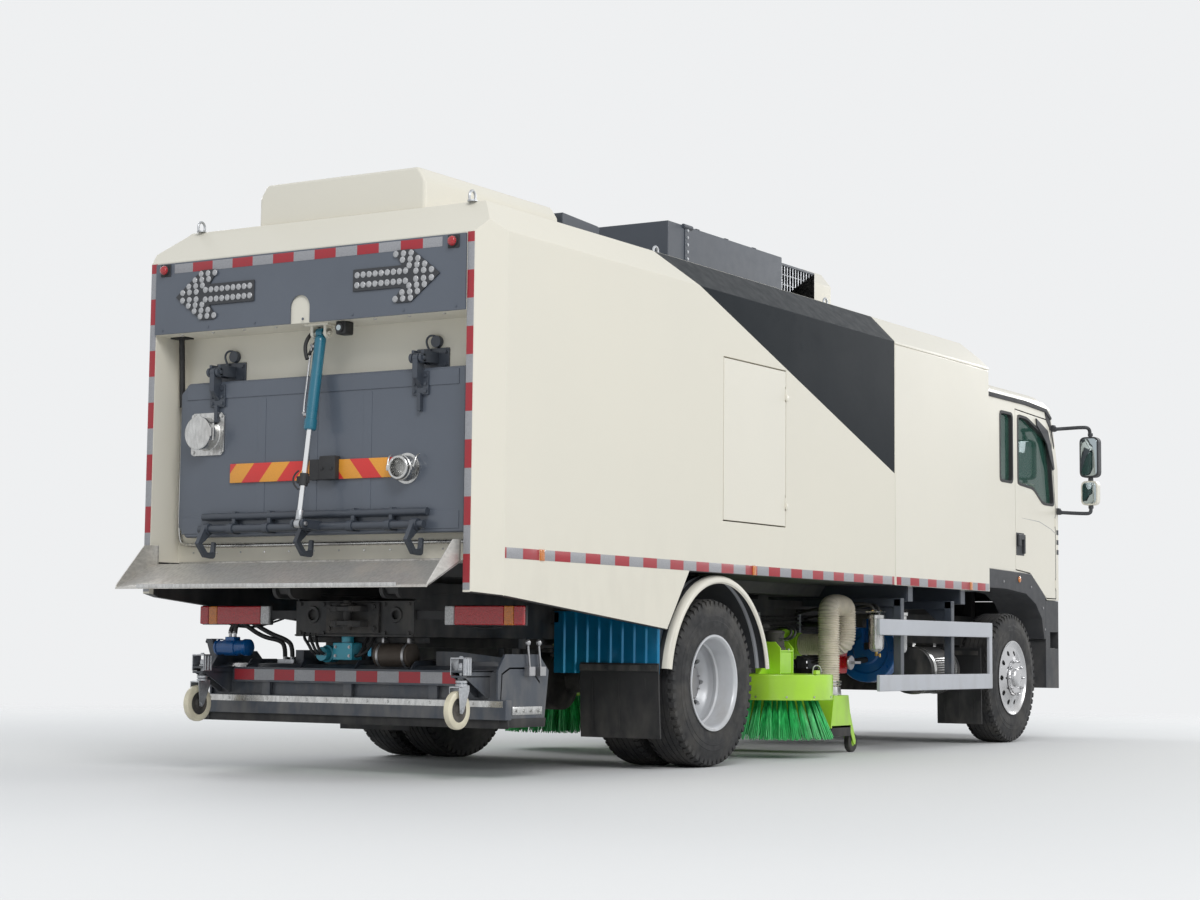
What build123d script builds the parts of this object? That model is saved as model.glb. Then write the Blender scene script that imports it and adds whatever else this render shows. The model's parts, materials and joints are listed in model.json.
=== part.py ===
# Street sweeper truck: two-axle chassis with a forward cab, a tipping sweeper body, a top-hinged
# tailgate, two side brushes and a lifting sweep unit at the rear.
# The X axis points forward, Y to the left and Z up. The origin is on the ground, under the middle.
from build123d import *
import math
import os

os.makedirs("parts", exist_ok=True)

# Driving dimensions in millimetres
wheelbase = 5100
front_overhang = 1480
rear_overhang = 2870
body_width = 2500
body_bottom_z = 1200
body_edge_z = 2974
roof_rise = 196
roof_chamfer = 190
body_wall = 45
cab_width = 2240
cab_wall = 60
panel_gap = 8

# Wheels and tyres
tyre_radius = 520
tyre_width = 275
tyre_shoulder = 26
tyre_bulge_radius = 430
bead_radius = 284
rim_wall = 9
front_wheel_inset = 206
rear_wheel_inset = 160
twin_pitch = 320
kingpin_inset = 194
running_fit = 0.05
seat_gap = 0.3

# Chassis frame
rail_outer_y = 425
rail_flange = 80
rail_sheet = 9
rail_bottom_z = 780
rail_top_z = 1030
subframe_top_z = 1090

# Places along the truck
length = front_overhang + wheelbase + rear_overhang
rear_axle_x = -length / 2 + rear_overhang
front_axle_x = rear_axle_x + wheelbase
nose_x = length / 2
cab_rear_x = front_axle_x - 500
body_rear_x = rear_axle_x - 2570
body_length = 5222
seam_x = body_rear_x + body_length
module_rear_x = seam_x + panel_gap
module_front_x = cab_rear_x - 153
axle_z = tyre_radius
body_half = body_width / 2
body_roof_z = body_edge_z + roof_rise
roof_half = body_half - roof_chamfer
cab_half = cab_width / 2
front_wheel_y = body_half - front_wheel_inset
kingpin_y = front_wheel_y - kingpin_inset
rear_outer_y = body_half - rear_wheel_inset
rear_inner_y = rear_outer_y - twin_pitch


# Helpers for shapes
def block(x0, x1, y0, y1, z0, z1):
    """A box between two corners."""
    middle = Pos((x0 + x1) / 2, (y0 + y1) / 2, (z0 + z1) / 2)
    return middle * Box(x1 - x0, abs(y1 - y0), z1 - z0)


def side_plate(points, y0, y1):
    """An outline of (x, z) points, as thick as y0 to y1."""
    outline = Polyline(*[(x, y0, z) for x, z in points], close=True)
    return extrude(make_face(outline), amount=y1 - y0, dir=(0, 1, 0))


def cross_plate(points, x0, x1):
    """An outline of (y, z) points, as long as x0 to x1."""
    outline = Polyline(*[(x0, y, z) for y, z in points], close=True)
    return extrude(make_face(outline), amount=x1 - x0, dir=(1, 0, 0))


def flat_plate(points, z0, z1):
    """An outline of (x, y) points, as high as z0 to z1."""
    outline = Polyline(*[(x, y, z0) for x, y in points], close=True)
    return extrude(make_face(outline), amount=z1 - z0, dir=(0, 0, 1))


def bar(start, end, radius):
    """A round bar between two points."""
    start = Vector(*start)
    run = Vector(*end) - start
    foot = (Align.CENTER, Align.CENTER, Align.MIN)
    return Plane(origin=start, z_dir=run) * Cylinder(radius, run.length, align=foot)


def turned(profile, centre, direction=(0, 1, 0)):
    """A turned piece: rows give the distance along the axis and the radius."""
    plane = Plane(origin=centre, x_dir=direction, z_dir=(0, 0, 1))
    return revolve(plane * make_face(Polyline(*profile, close=True)), Axis(centre, direction))


def mirrored(shape):
    """The same shape on the other side of the truck."""
    return mirror(shape, about=Plane.XZ)


def pair(shape):
    return [shape, mirrored(shape)]


def parted(shape, cells):
    """The shape's solids in each cell of a table: x0, x1, y0, y1, z0, z1."""
    solids = []
    for cell in cells:
        solids.extend((shape & block(*cell)).solids())
    return solids


def save(node, *shapes):
    solids = []
    for shape in shapes:
        solids.extend(shape.solids())
    export_step(Compound(children=solids), "parts/" + node + ".step")


# Door hinges: a pin between two fixed lugs, and a barrel on the door
hinge_pin_radius = 4
hinge_barrel_radius = 7
hinge_barrel = 70
hinge_lug = 14
hinge_room = 10


def door_hinge_fixed(x, y, heights):
    """Pins on the outer face at a door's front edge, carried by lugs on the panel in front."""
    shapes = None
    reach = hinge_barrel / 2 + 1
    for z in heights:
        piece = bar((x, y, z - reach - hinge_lug), (x, y, z + reach + hinge_lug), hinge_pin_radius)
        for z0 in (z - reach - hinge_lug, z + reach):
            piece += bar((x, y, z0), (x, y, z0 + hinge_lug), hinge_barrel_radius)
            piece += block(x, x + panel_gap + 6, y - hinge_barrel_radius, y, z0, z0 + hinge_lug)
        shapes = piece if shapes is None else shapes + piece
    return shapes


def door_hinge_moving(door, x, y, heights):
    """The door with room for its hinges and a barrel at each."""
    reach = hinge_barrel / 2 + 1 + hinge_lug + 1
    for z in heights:
        door -= block(x - hinge_room, x + 1, y - hinge_room, y + 1, z - reach, z + reach)
        half = hinge_barrel / 2
        door += block(x - hinge_room - 2, x, y - hinge_barrel_radius, y - 1, z - half, z + half)
        door += bar((x, y, z - half), (x, y, z + half), hinge_barrel_radius)
        door -= bar((x, y, z - reach), (x, y, z + reach), hinge_pin_radius + running_fit)
    return door


# Frame: two channel rails with crossmembers and the drilled end plate
frame_rear_x = rear_axle_x - 2050
frame_front_x = front_axle_x + 1100
crossmember_width = 90
crossmember_low = 100
crossmember_high = 60
crossmember_places = [
    # x of each crossmember's rear face: clear of the tipping cylinders, the gearbox and the engine
    frame_rear_x,
    rear_axle_x - 1340,
    rear_axle_x + 560,
    rear_axle_x + 1400,
    rear_axle_x + 2250,
    front_axle_x - 2000,
    front_axle_x - 1180,
    frame_front_x - crossmember_width,
]
end_plate = 14
tow_bore_radius = 25
hatch_radius = 45


def frame_ladder():
    rail_in = rail_outer_y - rail_flange
    web_in = rail_outer_y - rail_sheet
    rail = block(frame_rear_x, frame_front_x, rail_in, rail_outer_y, rail_bottom_z, rail_top_z)
    hollow = block(
        frame_rear_x, frame_front_x, rail_in, web_in, rail_bottom_z + rail_sheet, rail_top_z - rail_sheet
    )
    shapes = pair(rail - hollow)
    reach = web_in - seat_gap
    for x in crossmember_places:
        low, high = rail_bottom_z + crossmember_low, rail_top_z - crossmember_high
        shapes.append(block(x, x + crossmember_width, -reach, reach, low, high))
    return shapes


def tow_plate():
    """The drilled plate across the rails' rear ends, with the two lugs of the towing jaw."""
    front_x = frame_rear_x - seat_gap
    plate_x = frame_rear_x - end_plate
    plate = block(plate_x, front_x, -rail_outer_y, rail_outer_y, rail_bottom_z, rail_top_z - 45)
    for y in (-300, 300):
        plate -= bar((plate_x - 1, y, 905), (frame_rear_x, y, 905), hatch_radius)
    jaw_x = plate_x - 60
    for z in (845, 925):
        lug = block(jaw_x - 50, plate_x + 1, -70, 70, z, z + 25)
        lug -= bar((jaw_x, 0, z - 1), (jaw_x, 0, z + 26), tow_bore_radius)
        plate += lug
    return plate


# Subframe: carries the body, its rest pads and the tipping hinge
tip_hinge_x = rear_axle_x - 2200
tip_hinge_z = 1050
tip_pin_radius = 25
tip_lug_radius = 52
tip_lug_inner_y = 350
tip_lug_outer_y = 420
hinge_plate = 25
hinge_side_gap = 6
subframe_wall = 8
floor_z = 1120
rest_pad_x = [rear_axle_x - 900, rear_axle_x + 600, rear_axle_x + 2100]


def subframe():
    rail_in = rail_outer_y - rail_flange
    start_x = tip_hinge_x + 110
    rail = block(start_x, module_front_x, rail_in, rail_outer_y, rail_top_z, subframe_top_z)
    wall = subframe_wall
    low_z, high_z = rail_top_z - 1, subframe_top_z - wall
    rail -= block(start_x - 1, module_front_x + 1, rail_in + wall, rail_outer_y - wall, low_z, high_z)
    for x in rest_pad_x:
        rail += block(x, x + 160, rail_in, rail_outer_y, subframe_top_z - wall, floor_z - seat_gap)
    for y0 in (tip_lug_inner_y - hinge_side_gap - hinge_plate, tip_lug_outer_y + hinge_side_gap):
        cheek = block(tip_hinge_x, start_x + 120, y0, y0 + hinge_plate, rail_top_z - 35, tip_hinge_z + 30)
        cheek += bar((tip_hinge_x, y0, tip_hinge_z), (tip_hinge_x, y0 + hinge_plate, tip_hinge_z), 55)
        rail += cheek
    pin_start = tip_lug_inner_y - hinge_side_gap - hinge_plate
    pin_end = tip_lug_outer_y + hinge_side_gap + hinge_plate
    rail += bar((tip_hinge_x, pin_start, tip_hinge_z), (tip_hinge_x, pin_end, tip_hinge_z), tip_pin_radius)
    return rail


# Tipping cylinders between the frame rails
tip_base_x = rear_axle_x - 900
tip_base_z = 640
tip_eye_x = rear_axle_x + 350
tip_eye_z = 1072
tip_cylinder_y = 270
tip_barrel_radius = 62
tip_rod_radius = 38
tip_eye_radius = 40
tip_eye_half = 30
tip_barrel_share = 0.92
tip_base_pin = 25
tip_beam_gap = 80
tip_beam_depth = 90
tip_angle = math.atan2(tip_eye_z - tip_base_z, tip_eye_x - tip_base_x)
tip_run = math.hypot(tip_eye_z - tip_base_z, tip_eye_x - tip_base_x)


def along_tip(distance, y):
    x = tip_base_x + distance * math.cos(tip_angle)
    z = tip_base_z + distance * math.sin(tip_angle)
    return (x, y, z)


def tip_barrel():
    y = tip_cylinder_y
    mouth = tip_run * tip_barrel_share
    barrel = bar(along_tip(110, y), along_tip(mouth, y), tip_barrel_radius)
    barrel += bar(along_tip(30, y), along_tip(115, y), 28)
    barrel -= bar(along_tip(140, y), along_tip(mouth + 1, y), tip_rod_radius + running_fit)
    eye = bar((tip_base_x, y - tip_eye_half, tip_base_z), (tip_base_x, y + tip_eye_half, tip_base_z), 48)
    barrel += eye
    bore = tip_base_pin + running_fit
    barrel -= bar((tip_base_x, y - 60, tip_base_z), (tip_base_x, y + 60, tip_base_z), bore)
    return barrel


def tip_rod():
    y = tip_cylinder_y
    rod = bar(along_tip(150, y), along_tip(tip_run - 28, y), tip_rod_radius)
    y0, y1 = y - tip_eye_half, y + tip_eye_half
    rod += bar((tip_eye_x, y0, tip_eye_z), (tip_eye_x, y1, tip_eye_z), tip_eye_radius)
    rod -= bar((tip_eye_x, y - 60, tip_eye_z), (tip_eye_x, y + 60, tip_eye_z), 20)
    return rod


def tip_base_bracket():
    """A crossbeam behind the cylinders, with two cheeks and a pin for each."""
    y = tip_cylinder_y
    beam_x = tip_base_x - tip_beam_gap - tip_beam_depth
    top = rail_bottom_z - seat_gap
    bracket = block(beam_x, beam_x + tip_beam_depth, -rail_outer_y, rail_outer_y, tip_base_z - 20, top)
    for side in (-1, 1):
        for offset in (-tip_eye_half - 26, tip_eye_half + 6):
            y0 = side * y + offset
            cheek = block(beam_x + 1, tip_base_x, y0, y0 + 20, tip_base_z - 45, tip_base_z + 45)
            cheek += bar((tip_base_x, y0, tip_base_z), (tip_base_x, y0 + 20, tip_base_z), 45)
            bracket += cheek
        low = side * y - tip_eye_half - 26
        high = side * y + tip_eye_half + 26
        bracket += bar((tip_base_x, low, tip_base_z), (tip_base_x, high, tip_base_z), tip_base_pin)
    return bracket


# Axles, springs and steering knuckles
beam_half = 55
boss_radius = 50
boss_bottom_z = 450
boss_top_z = 590
kingpin_radius = 24
ear_thick = 35
spindle_radius = 45
rear_spindle_radius = 60


def front_axle():
    x0, x1 = front_axle_x - beam_half, front_axle_x + beam_half
    beam = block(x0, x1, -kingpin_y, kingpin_y, boss_bottom_z + 20, boss_top_z - 20)
    drop = block(front_axle_x - 90, front_axle_x + 90, -620, 620, 400, boss_top_z - 60)
    beam += drop
    for y in (-kingpin_y, kingpin_y):
        beam += bar((front_axle_x, y, boss_bottom_z), (front_axle_x, y, boss_top_z), boss_radius)
        beam -= bar((front_axle_x, y, 400), (front_axle_x, y, 650), kingpin_radius + running_fit)
    return beam


def knuckle():
    y = kingpin_y
    low = boss_bottom_z - 5 - ear_thick
    high = boss_top_z + 5 + ear_thick
    body = block(front_axle_x - 60, front_axle_x + 60, y + 62, y + 92, low, high)
    for z in (low, high - ear_thick):
        ear = block(front_axle_x - 45, front_axle_x + 45, y, y + 70, z, z + ear_thick)
        ear += bar((front_axle_x, y, z), (front_axle_x, y, z + ear_thick), 45)
        body += ear
    body += bar((front_axle_x, y, low), (front_axle_x, y, high), kingpin_radius)
    body += bar((front_axle_x, y + 90, axle_z), (front_axle_x, y + 300, axle_z), spindle_radius)
    return body


def rear_axle():
    drum_y = rear_inner_y - 130
    hub_y = rear_inner_y - 70
    end_y = rear_inner_y + 230
    axle = bar((rear_axle_x, -drum_y, axle_z), (rear_axle_x, drum_y, axle_z), 78)
    bowl = [(-170, 0), (-170, 90), (-110, 190), (110, 190), (170, 90), (170, 0)]
    axle += turned(bowl, (rear_axle_x, 0, axle_z))
    axle += bar((rear_axle_x + 150, 0, 556), (rear_axle_x + 280, 0, 556), 62)
    for side in (-1, 1):
        y0, y1 = side * drum_y, side * hub_y
        axle += bar((rear_axle_x, y0, axle_z), (rear_axle_x, y1, axle_z), 205)
        axle += bar((rear_axle_x, y1, axle_z), (rear_axle_x, side * end_y, axle_z), rear_spindle_radius)
    return axle


def leaf_springs():
    """A stack of flat leaves on each side of both axles, with the hangers that hold them."""
    shapes = []
    table = [
        # axle x, half length, seat z, leaves, leaf thickness, eye z
        (front_axle_x, 780, boss_top_z - 20, 4, 22, 650),
        (rear_axle_x, 760, axle_z + 78, 6, 20, 630),
    ]
    for axle_x, half_length, seat_z, leaves, thick, eye_z in table:
        stack = None
        for leaf in range(leaves):
            reach = half_length * (leaf + 1.5) / (leaves + 0.5)
            z = seat_z + seat_gap + leaf * thick
            lift = (eye_z - seat_z) * (reach / half_length) ** 2
            points = [
                (axle_x - reach, z + lift),
                (axle_x - 100, z),
                (axle_x + 100, z),
                (axle_x + reach, z + lift),
                (axle_x + reach, z + lift + thick),
                (axle_x + 100, z + thick),
                (axle_x - 100, z + thick),
                (axle_x - reach, z + lift + thick),
            ]
            blade = side_plate(points, 350, 425)
            stack = blade if stack is None else stack + blade
        top_z = eye_z + leaves * thick
        for end in (-1, 1):
            x = axle_x + end * (half_length - 20)
            stack += block(x - 45, x + 45, 360, 415, top_z - 30, rail_bottom_z - seat_gap)
        shapes.extend(pair(stack))
    return shapes


# Wheels
def tyre(x, y):
    half = tyre_width / 2
    profile = [
        (-half + 22, bead_radius),
        (-half, tyre_bulge_radius),
        (-half + tyre_shoulder, tyre_radius),
        (half - tyre_shoulder, tyre_radius),
        (half, tyre_bulge_radius),
        (half - 22, bead_radius),
    ]
    return turned(profile, (x, y, axle_z))


hub_radius = 128
flange_radius = bead_radius + 14
hand_hole_count = 10
hand_hole_ring = 218
hand_hole_radius = 20


def with_hand_holes(rim, x, y0, y1):
    """The wheel with its ring of round holes through the disc."""
    for index in range(hand_hole_count):
        turn = math.tau / hand_hole_count * index
        hole_x = x + hand_hole_ring * math.cos(turn)
        hole_z = axle_z + hand_hole_ring * math.sin(turn)
        rim -= bar((hole_x, y0, hole_z), (hole_x, y1, hole_z), hand_hole_radius)
    return rim


def front_rim():
    half = tyre_width / 2
    inner = bead_radius - rim_wall
    profile = [
        (-half + 22, inner),
        (-half + 22, bead_radius),
        (half - 22, bead_radius),
        (half, flange_radius),
        (half - 6, inner),
        (half - 20, 150),
        (half + 40, hub_radius),
        (half + 52, 60),
        (half + 52, 0),
        (half - 20, 0),
        (half - 20, spindle_radius + running_fit),
        (-60, spindle_radius + running_fit),
        (-60, 110),
        (half - 55, 130),
        (half - 34, inner),
    ]
    rim = turned(profile, (front_axle_x, front_wheel_y, axle_z))
    return with_hand_holes(rim, front_axle_x, front_wheel_y + half - 70, front_wheel_y + half + 10)


def rear_rims():
    half = tyre_width / 2
    inner = bead_radius - rim_wall
    out = rear_outer_y - rear_inner_y + half
    disc = 160
    profile = [
        (-half, inner),
        (-half, flange_radius),
        (-half + 22, bead_radius),
        (out - 22, bead_radius),
        (out, flange_radius),
        (out, inner),
        (disc + 6, inner),
        (disc + 6, 150),
        (disc + 120, 140),
        (disc + 132, 0),
        (disc + 80, 0),
        (disc + 80, rear_spindle_radius + running_fit),
        (disc - 60, rear_spindle_radius + running_fit),
        (disc - 60, 120),
        (disc - 10, 130),
        (disc - 10, inner),
    ]
    rim = turned(profile, (rear_axle_x, rear_inner_y, axle_z))
    return with_hand_holes(rim, rear_axle_x, rear_inner_y + disc - 30, rear_inner_y + disc + 30)


# Engine, gearbox and shaft under the cab, with the second engine behind it
def powertrain():
    engine = block(front_axle_x - 350, front_axle_x + 760, -330, 330, 620, 1330)
    gearbox = bar((front_axle_x - 1000, 0, 860), (front_axle_x - 350, 0, 880), 190)
    shaft = bar((front_axle_x - 990, 0, 790), (rear_axle_x + 284, 0, 557), 45)
    drive = engine + gearbox + shaft
    mount_reach = rail_outer_y - rail_sheet - seat_gap
    for x in (front_axle_x - 250, front_axle_x + 500):
        drive += block(x, x + 100, -mount_reach, mount_reach, 860, 930)
    second = block(module_rear_x + 430, module_front_x - 560, -420, 420, subframe_top_z + seat_gap, 2000)
    return [drive, second]


# Tanks, on brackets that bolt to the rails
tank_inner_y = 600
tank_outer_y = body_half - 100
tank_round = 70
air_tank_y = body_half - 375
air_tank_z = 580
air_tank_radius = 180
tank_arm = 60
strap_width = 45
strap_sheet = 4


def tanks():
    """The fuel tank on the left and the round air tank on the right, with their straps and arms."""
    rear_x = front_axle_x - 1750
    fuel = block(rear_x, front_axle_x - 780, tank_inner_y, tank_outer_y, 520, 1040)
    fuel = fillet(fuel.edges().filter_by(Axis.X), tank_round)
    for x in (front_axle_x - 1500, front_axle_x - 1060):
        y0, y1 = tank_inner_y - strap_sheet, tank_outer_y + strap_sheet
        strap = block(x, x + strap_width, y0, y1, 520 - strap_sheet, 1040 + strap_sheet)
        fuel += fillet(strap.edges().filter_by(Axis.X), tank_round + strap_sheet)
        fuel += block(x, x + tank_arm, rail_outer_y, tank_inner_y + 1, 700, 780)
    y, z = -air_tank_y, air_tank_z
    air = bar((front_axle_x - 1350, y, z), (front_axle_x - 800, y, z), air_tank_radius)
    for x in (front_axle_x - 1300, front_axle_x - 900):
        air += bar((x, y, z), (x + strap_width, y, z), air_tank_radius + strap_sheet)
        air += block(x, x + tank_arm, y, -rail_outer_y, z + air_tank_radius - 30, z + air_tank_radius + 30)
    return [fuel, air]


# Side guards: two rails a side on posts hung from the subframe outriggers
guard_rear_x = rear_axle_x + 2390
guard_front_x = front_axle_x - 600
guard_y = body_half
guard_sheet = 28


def side_guards():
    y0, y1 = guard_y - guard_sheet, guard_y
    upper = block(guard_rear_x, guard_front_x, y0, y1, 840, 955)
    lower = block(guard_rear_x, guard_front_x, y0, y1, 440, 557)
    front = block(guard_front_x - 60, guard_front_x, y0, y1, 440, 955)
    guard = upper + lower + front
    for x in (guard_rear_x + 420, guard_rear_x + 1350):
        guard += block(x, x + 60, y0 - 60, y0, 440, 1110)
        guard += block(x, x + 60, rail_outer_y, y0, 1050, 1110)
    return pair(guard)


# Rear mudguards: half rings over the twin wheels
fender_radius = 670
fender_sheet = 14
fender_shift = 70
fender_inner_y = rear_inner_y - 64
fender_outer_y = body_half - 10
fender_flange = 14
splash_outer_y = body_half - 50
splash_inner_y = 450
splash_x = rear_axle_x + fender_shift - fender_radius - 40
flap_thick = 15


def rear_fenders():
    centre = (rear_axle_x + fender_shift, 0, axle_z)
    ring = turned(
        [
            (fender_inner_y, fender_radius - fender_sheet),
            (fender_inner_y, fender_radius),
            (fender_outer_y, fender_radius),
            (fender_outer_y, fender_radius - 46),
            (fender_outer_y - fender_flange, fender_radius - 46),
            (fender_outer_y - fender_flange, fender_radius - fender_sheet),
        ],
        centre,
    )
    low_y, high_y = fender_inner_y - 100, fender_outer_y + 60
    ring -= block(rear_axle_x - 900, rear_axle_x + 900, low_y, high_y, -400, axle_z + 90)
    stay_x = rear_axle_x + fender_shift
    root_y = rail_outer_y + seat_gap
    tab_y = fender_inner_y + 10
    stay = block(stay_x - 25, stay_x + 25, root_y, tab_y, axle_z + 545, axle_z + 585)
    stay += block(stay_x - 25, stay_x + 25, tab_y - 14, tab_y, axle_z + 545, axle_z + fender_radius - 12)
    return pair(ring + stay)


def splash_sheets():
    """Sheets behind the rear wheels, hung from the rails."""
    sheet = block(splash_x, splash_x + 6, splash_inner_y, splash_outer_y, 575, 950)
    sheet += block(splash_x, splash_x + 50, rail_outer_y + seat_gap, splash_inner_y + 30, 880, 950)
    return pair(sheet)


def mudflaps():
    rear_x = splash_x - seat_gap - flap_thick
    front_x = front_axle_x - 655
    inner_y, outer_y = front_wheel_y - 244, front_wheel_y + 126
    rear = block(rear_x, rear_x + flap_thick, splash_outer_y - 550, splash_outer_y, 190, 640)
    front = block(front_x, front_x + 12, inner_y, outer_y, 160, 760)
    front += block(front_x - 30, front_x + 12, rail_outer_y, inner_y + 60, 740, 790)
    return pair(rear) + pair(front)


# Pump set, filter bowl and guard behind the right side guard
pump_y = 760
bowl_y = body_half - 190


def pump_unit():
    x = rear_axle_x + 3200
    y, z = -pump_y, 735
    guard = bar((x, y, z), (x + 120, y, z), 245)
    case = bar((x + 120, y, z), (x + 420, y, z), 120)
    bowl = bar((x - 40, -bowl_y, 700), (x - 40, -bowl_y, 1030), 60)
    foot = block(x + 180, x + 300, y, -rail_outer_y, 820, 880)
    arm = block(x - 60, x + 20, -bowl_y, y + 60, 960, 1010)
    return guard + case + foot + bowl + arm


# Suction nozzle across the truck and its hose
nozzle_x = rear_axle_x + 2280
nozzle_half_x = 170
nozzle_half_y = body_half - 350
nozzle_bottom_z = 120
hose_radius = 78
hose_y = nozzle_half_y
hose_top_z = 1050
hose_end_z = 770
hose_pitch = 272
hose_bend = 132
hose_collar = 12


def suction_nozzle():
    top = [(-nozzle_half_x, 0), (-120, 230), (120, 230), (nozzle_half_x, 0)]
    points = [(nozzle_x + x, nozzle_bottom_z + 60 + z) for x, z in top]
    hood = side_plate(points, -nozzle_half_y - 100, nozzle_half_y + 100)
    low = [(-nozzle_half_x + 12, -1), (-110, 215), (110, 215), (nozzle_half_x - 12, -1)]
    reach = nozzle_half_y + 90
    hood -= side_plate([(nozzle_x + x, nozzle_bottom_z + 60 + z) for x, z in low], -reach, reach)
    for x in (nozzle_x - nozzle_half_x, nozzle_x + nozzle_half_x - 12):
        hood += block(x, x + 12, -reach, reach, nozzle_bottom_z, nozzle_bottom_z + 65)
    for y in (-385, 385):
        hood += block(nozzle_x - 40, nozzle_x + 40, y - 40, y + 40, 400, rail_bottom_z - seat_gap)
    return hood


def suction_hose():
    """The hose rises from the nozzle, bends over and turns in to its flange on the frame."""
    base_z = nozzle_bottom_z + 290 + seat_gap
    end_x = nozzle_x + hose_pitch
    route = FilletPolyline(
        (nozzle_x, -hose_y, base_z),
        (nozzle_x, -hose_y, hose_top_z),
        (end_x, -hose_y, hose_top_z),
        (end_x, -hose_y, hose_end_z),
        (end_x, -480, hose_end_z),
        radius=hose_bend,
    )
    ring = Plane(origin=(nozzle_x, -hose_y, base_z), z_dir=(0, 0, 1)) * Circle(hose_radius)
    hose = sweep(ring, path=route)
    hose += bar((nozzle_x, -hose_y, base_z), (nozzle_x, -hose_y, base_z + 60), hose_radius + hose_collar)
    flange = hose_radius + 35
    inner_y = -rail_outer_y - seat_gap
    hose += block(end_x - flange, end_x + flange, -540, inner_y, hose_end_z - flange, hose_end_z + flange)
    return hose


# Body section and plan, shared by the tipping body and the fixed module
belly_half = fender_inner_y - 66
belly_slope = 60


def body_section():
    return [
        (-body_half, body_bottom_z),
        (-belly_half - belly_slope, body_bottom_z),
        (-belly_half, floor_z),
        (belly_half, floor_z),
        (belly_half + belly_slope, body_bottom_z),
        (body_half, body_bottom_z),
        (body_half, body_edge_z),
        (roof_half, body_roof_z),
        (-roof_half, body_roof_z),
        (-body_half, body_edge_z),
    ]


corner_in_x = 186
corner_in_y = 91
skirt_wall = 40
recess_half = body_half - 140
recess_depth = 240
recess_bottom_z = 1180
header_height = 427
header_top_z = body_edge_z - 17
header_bottom_z = header_top_z - header_height
header_notch_half = 70
header_notch_y = 25
header_notch_height = 160
gate_hinge_z = header_bottom_z - 230
gate_top_z = gate_hinge_z - 50
aperture_half = recess_half - 180
aperture_bottom_z = 1400
aperture_top_z = gate_top_z - 60
back_wall = 40
bulkhead_x = rear_axle_x - 100
door_rear_x = rear_axle_x + 55
door_front_x = rear_axle_x + 920
door_bottom_z = 1530
door_top_z = 2570
side_door_thick = 40
service_hinge_z = [door_bottom_z + 160, door_top_z - 160]


def body_plan(offset, z0, z1):
    """The plan outline, cut at its rear corners, inset by an offset."""
    half = body_half - offset
    points = [
        (body_rear_x + offset, -half + corner_in_y),
        (body_rear_x + corner_in_x, -half),
        (seam_x + 10, -half),
        (seam_x + 10, half),
        (body_rear_x + corner_in_x, half),
        (body_rear_x + offset, half - corner_in_y),
    ]
    return flat_plate(points, z0, z1)


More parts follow.
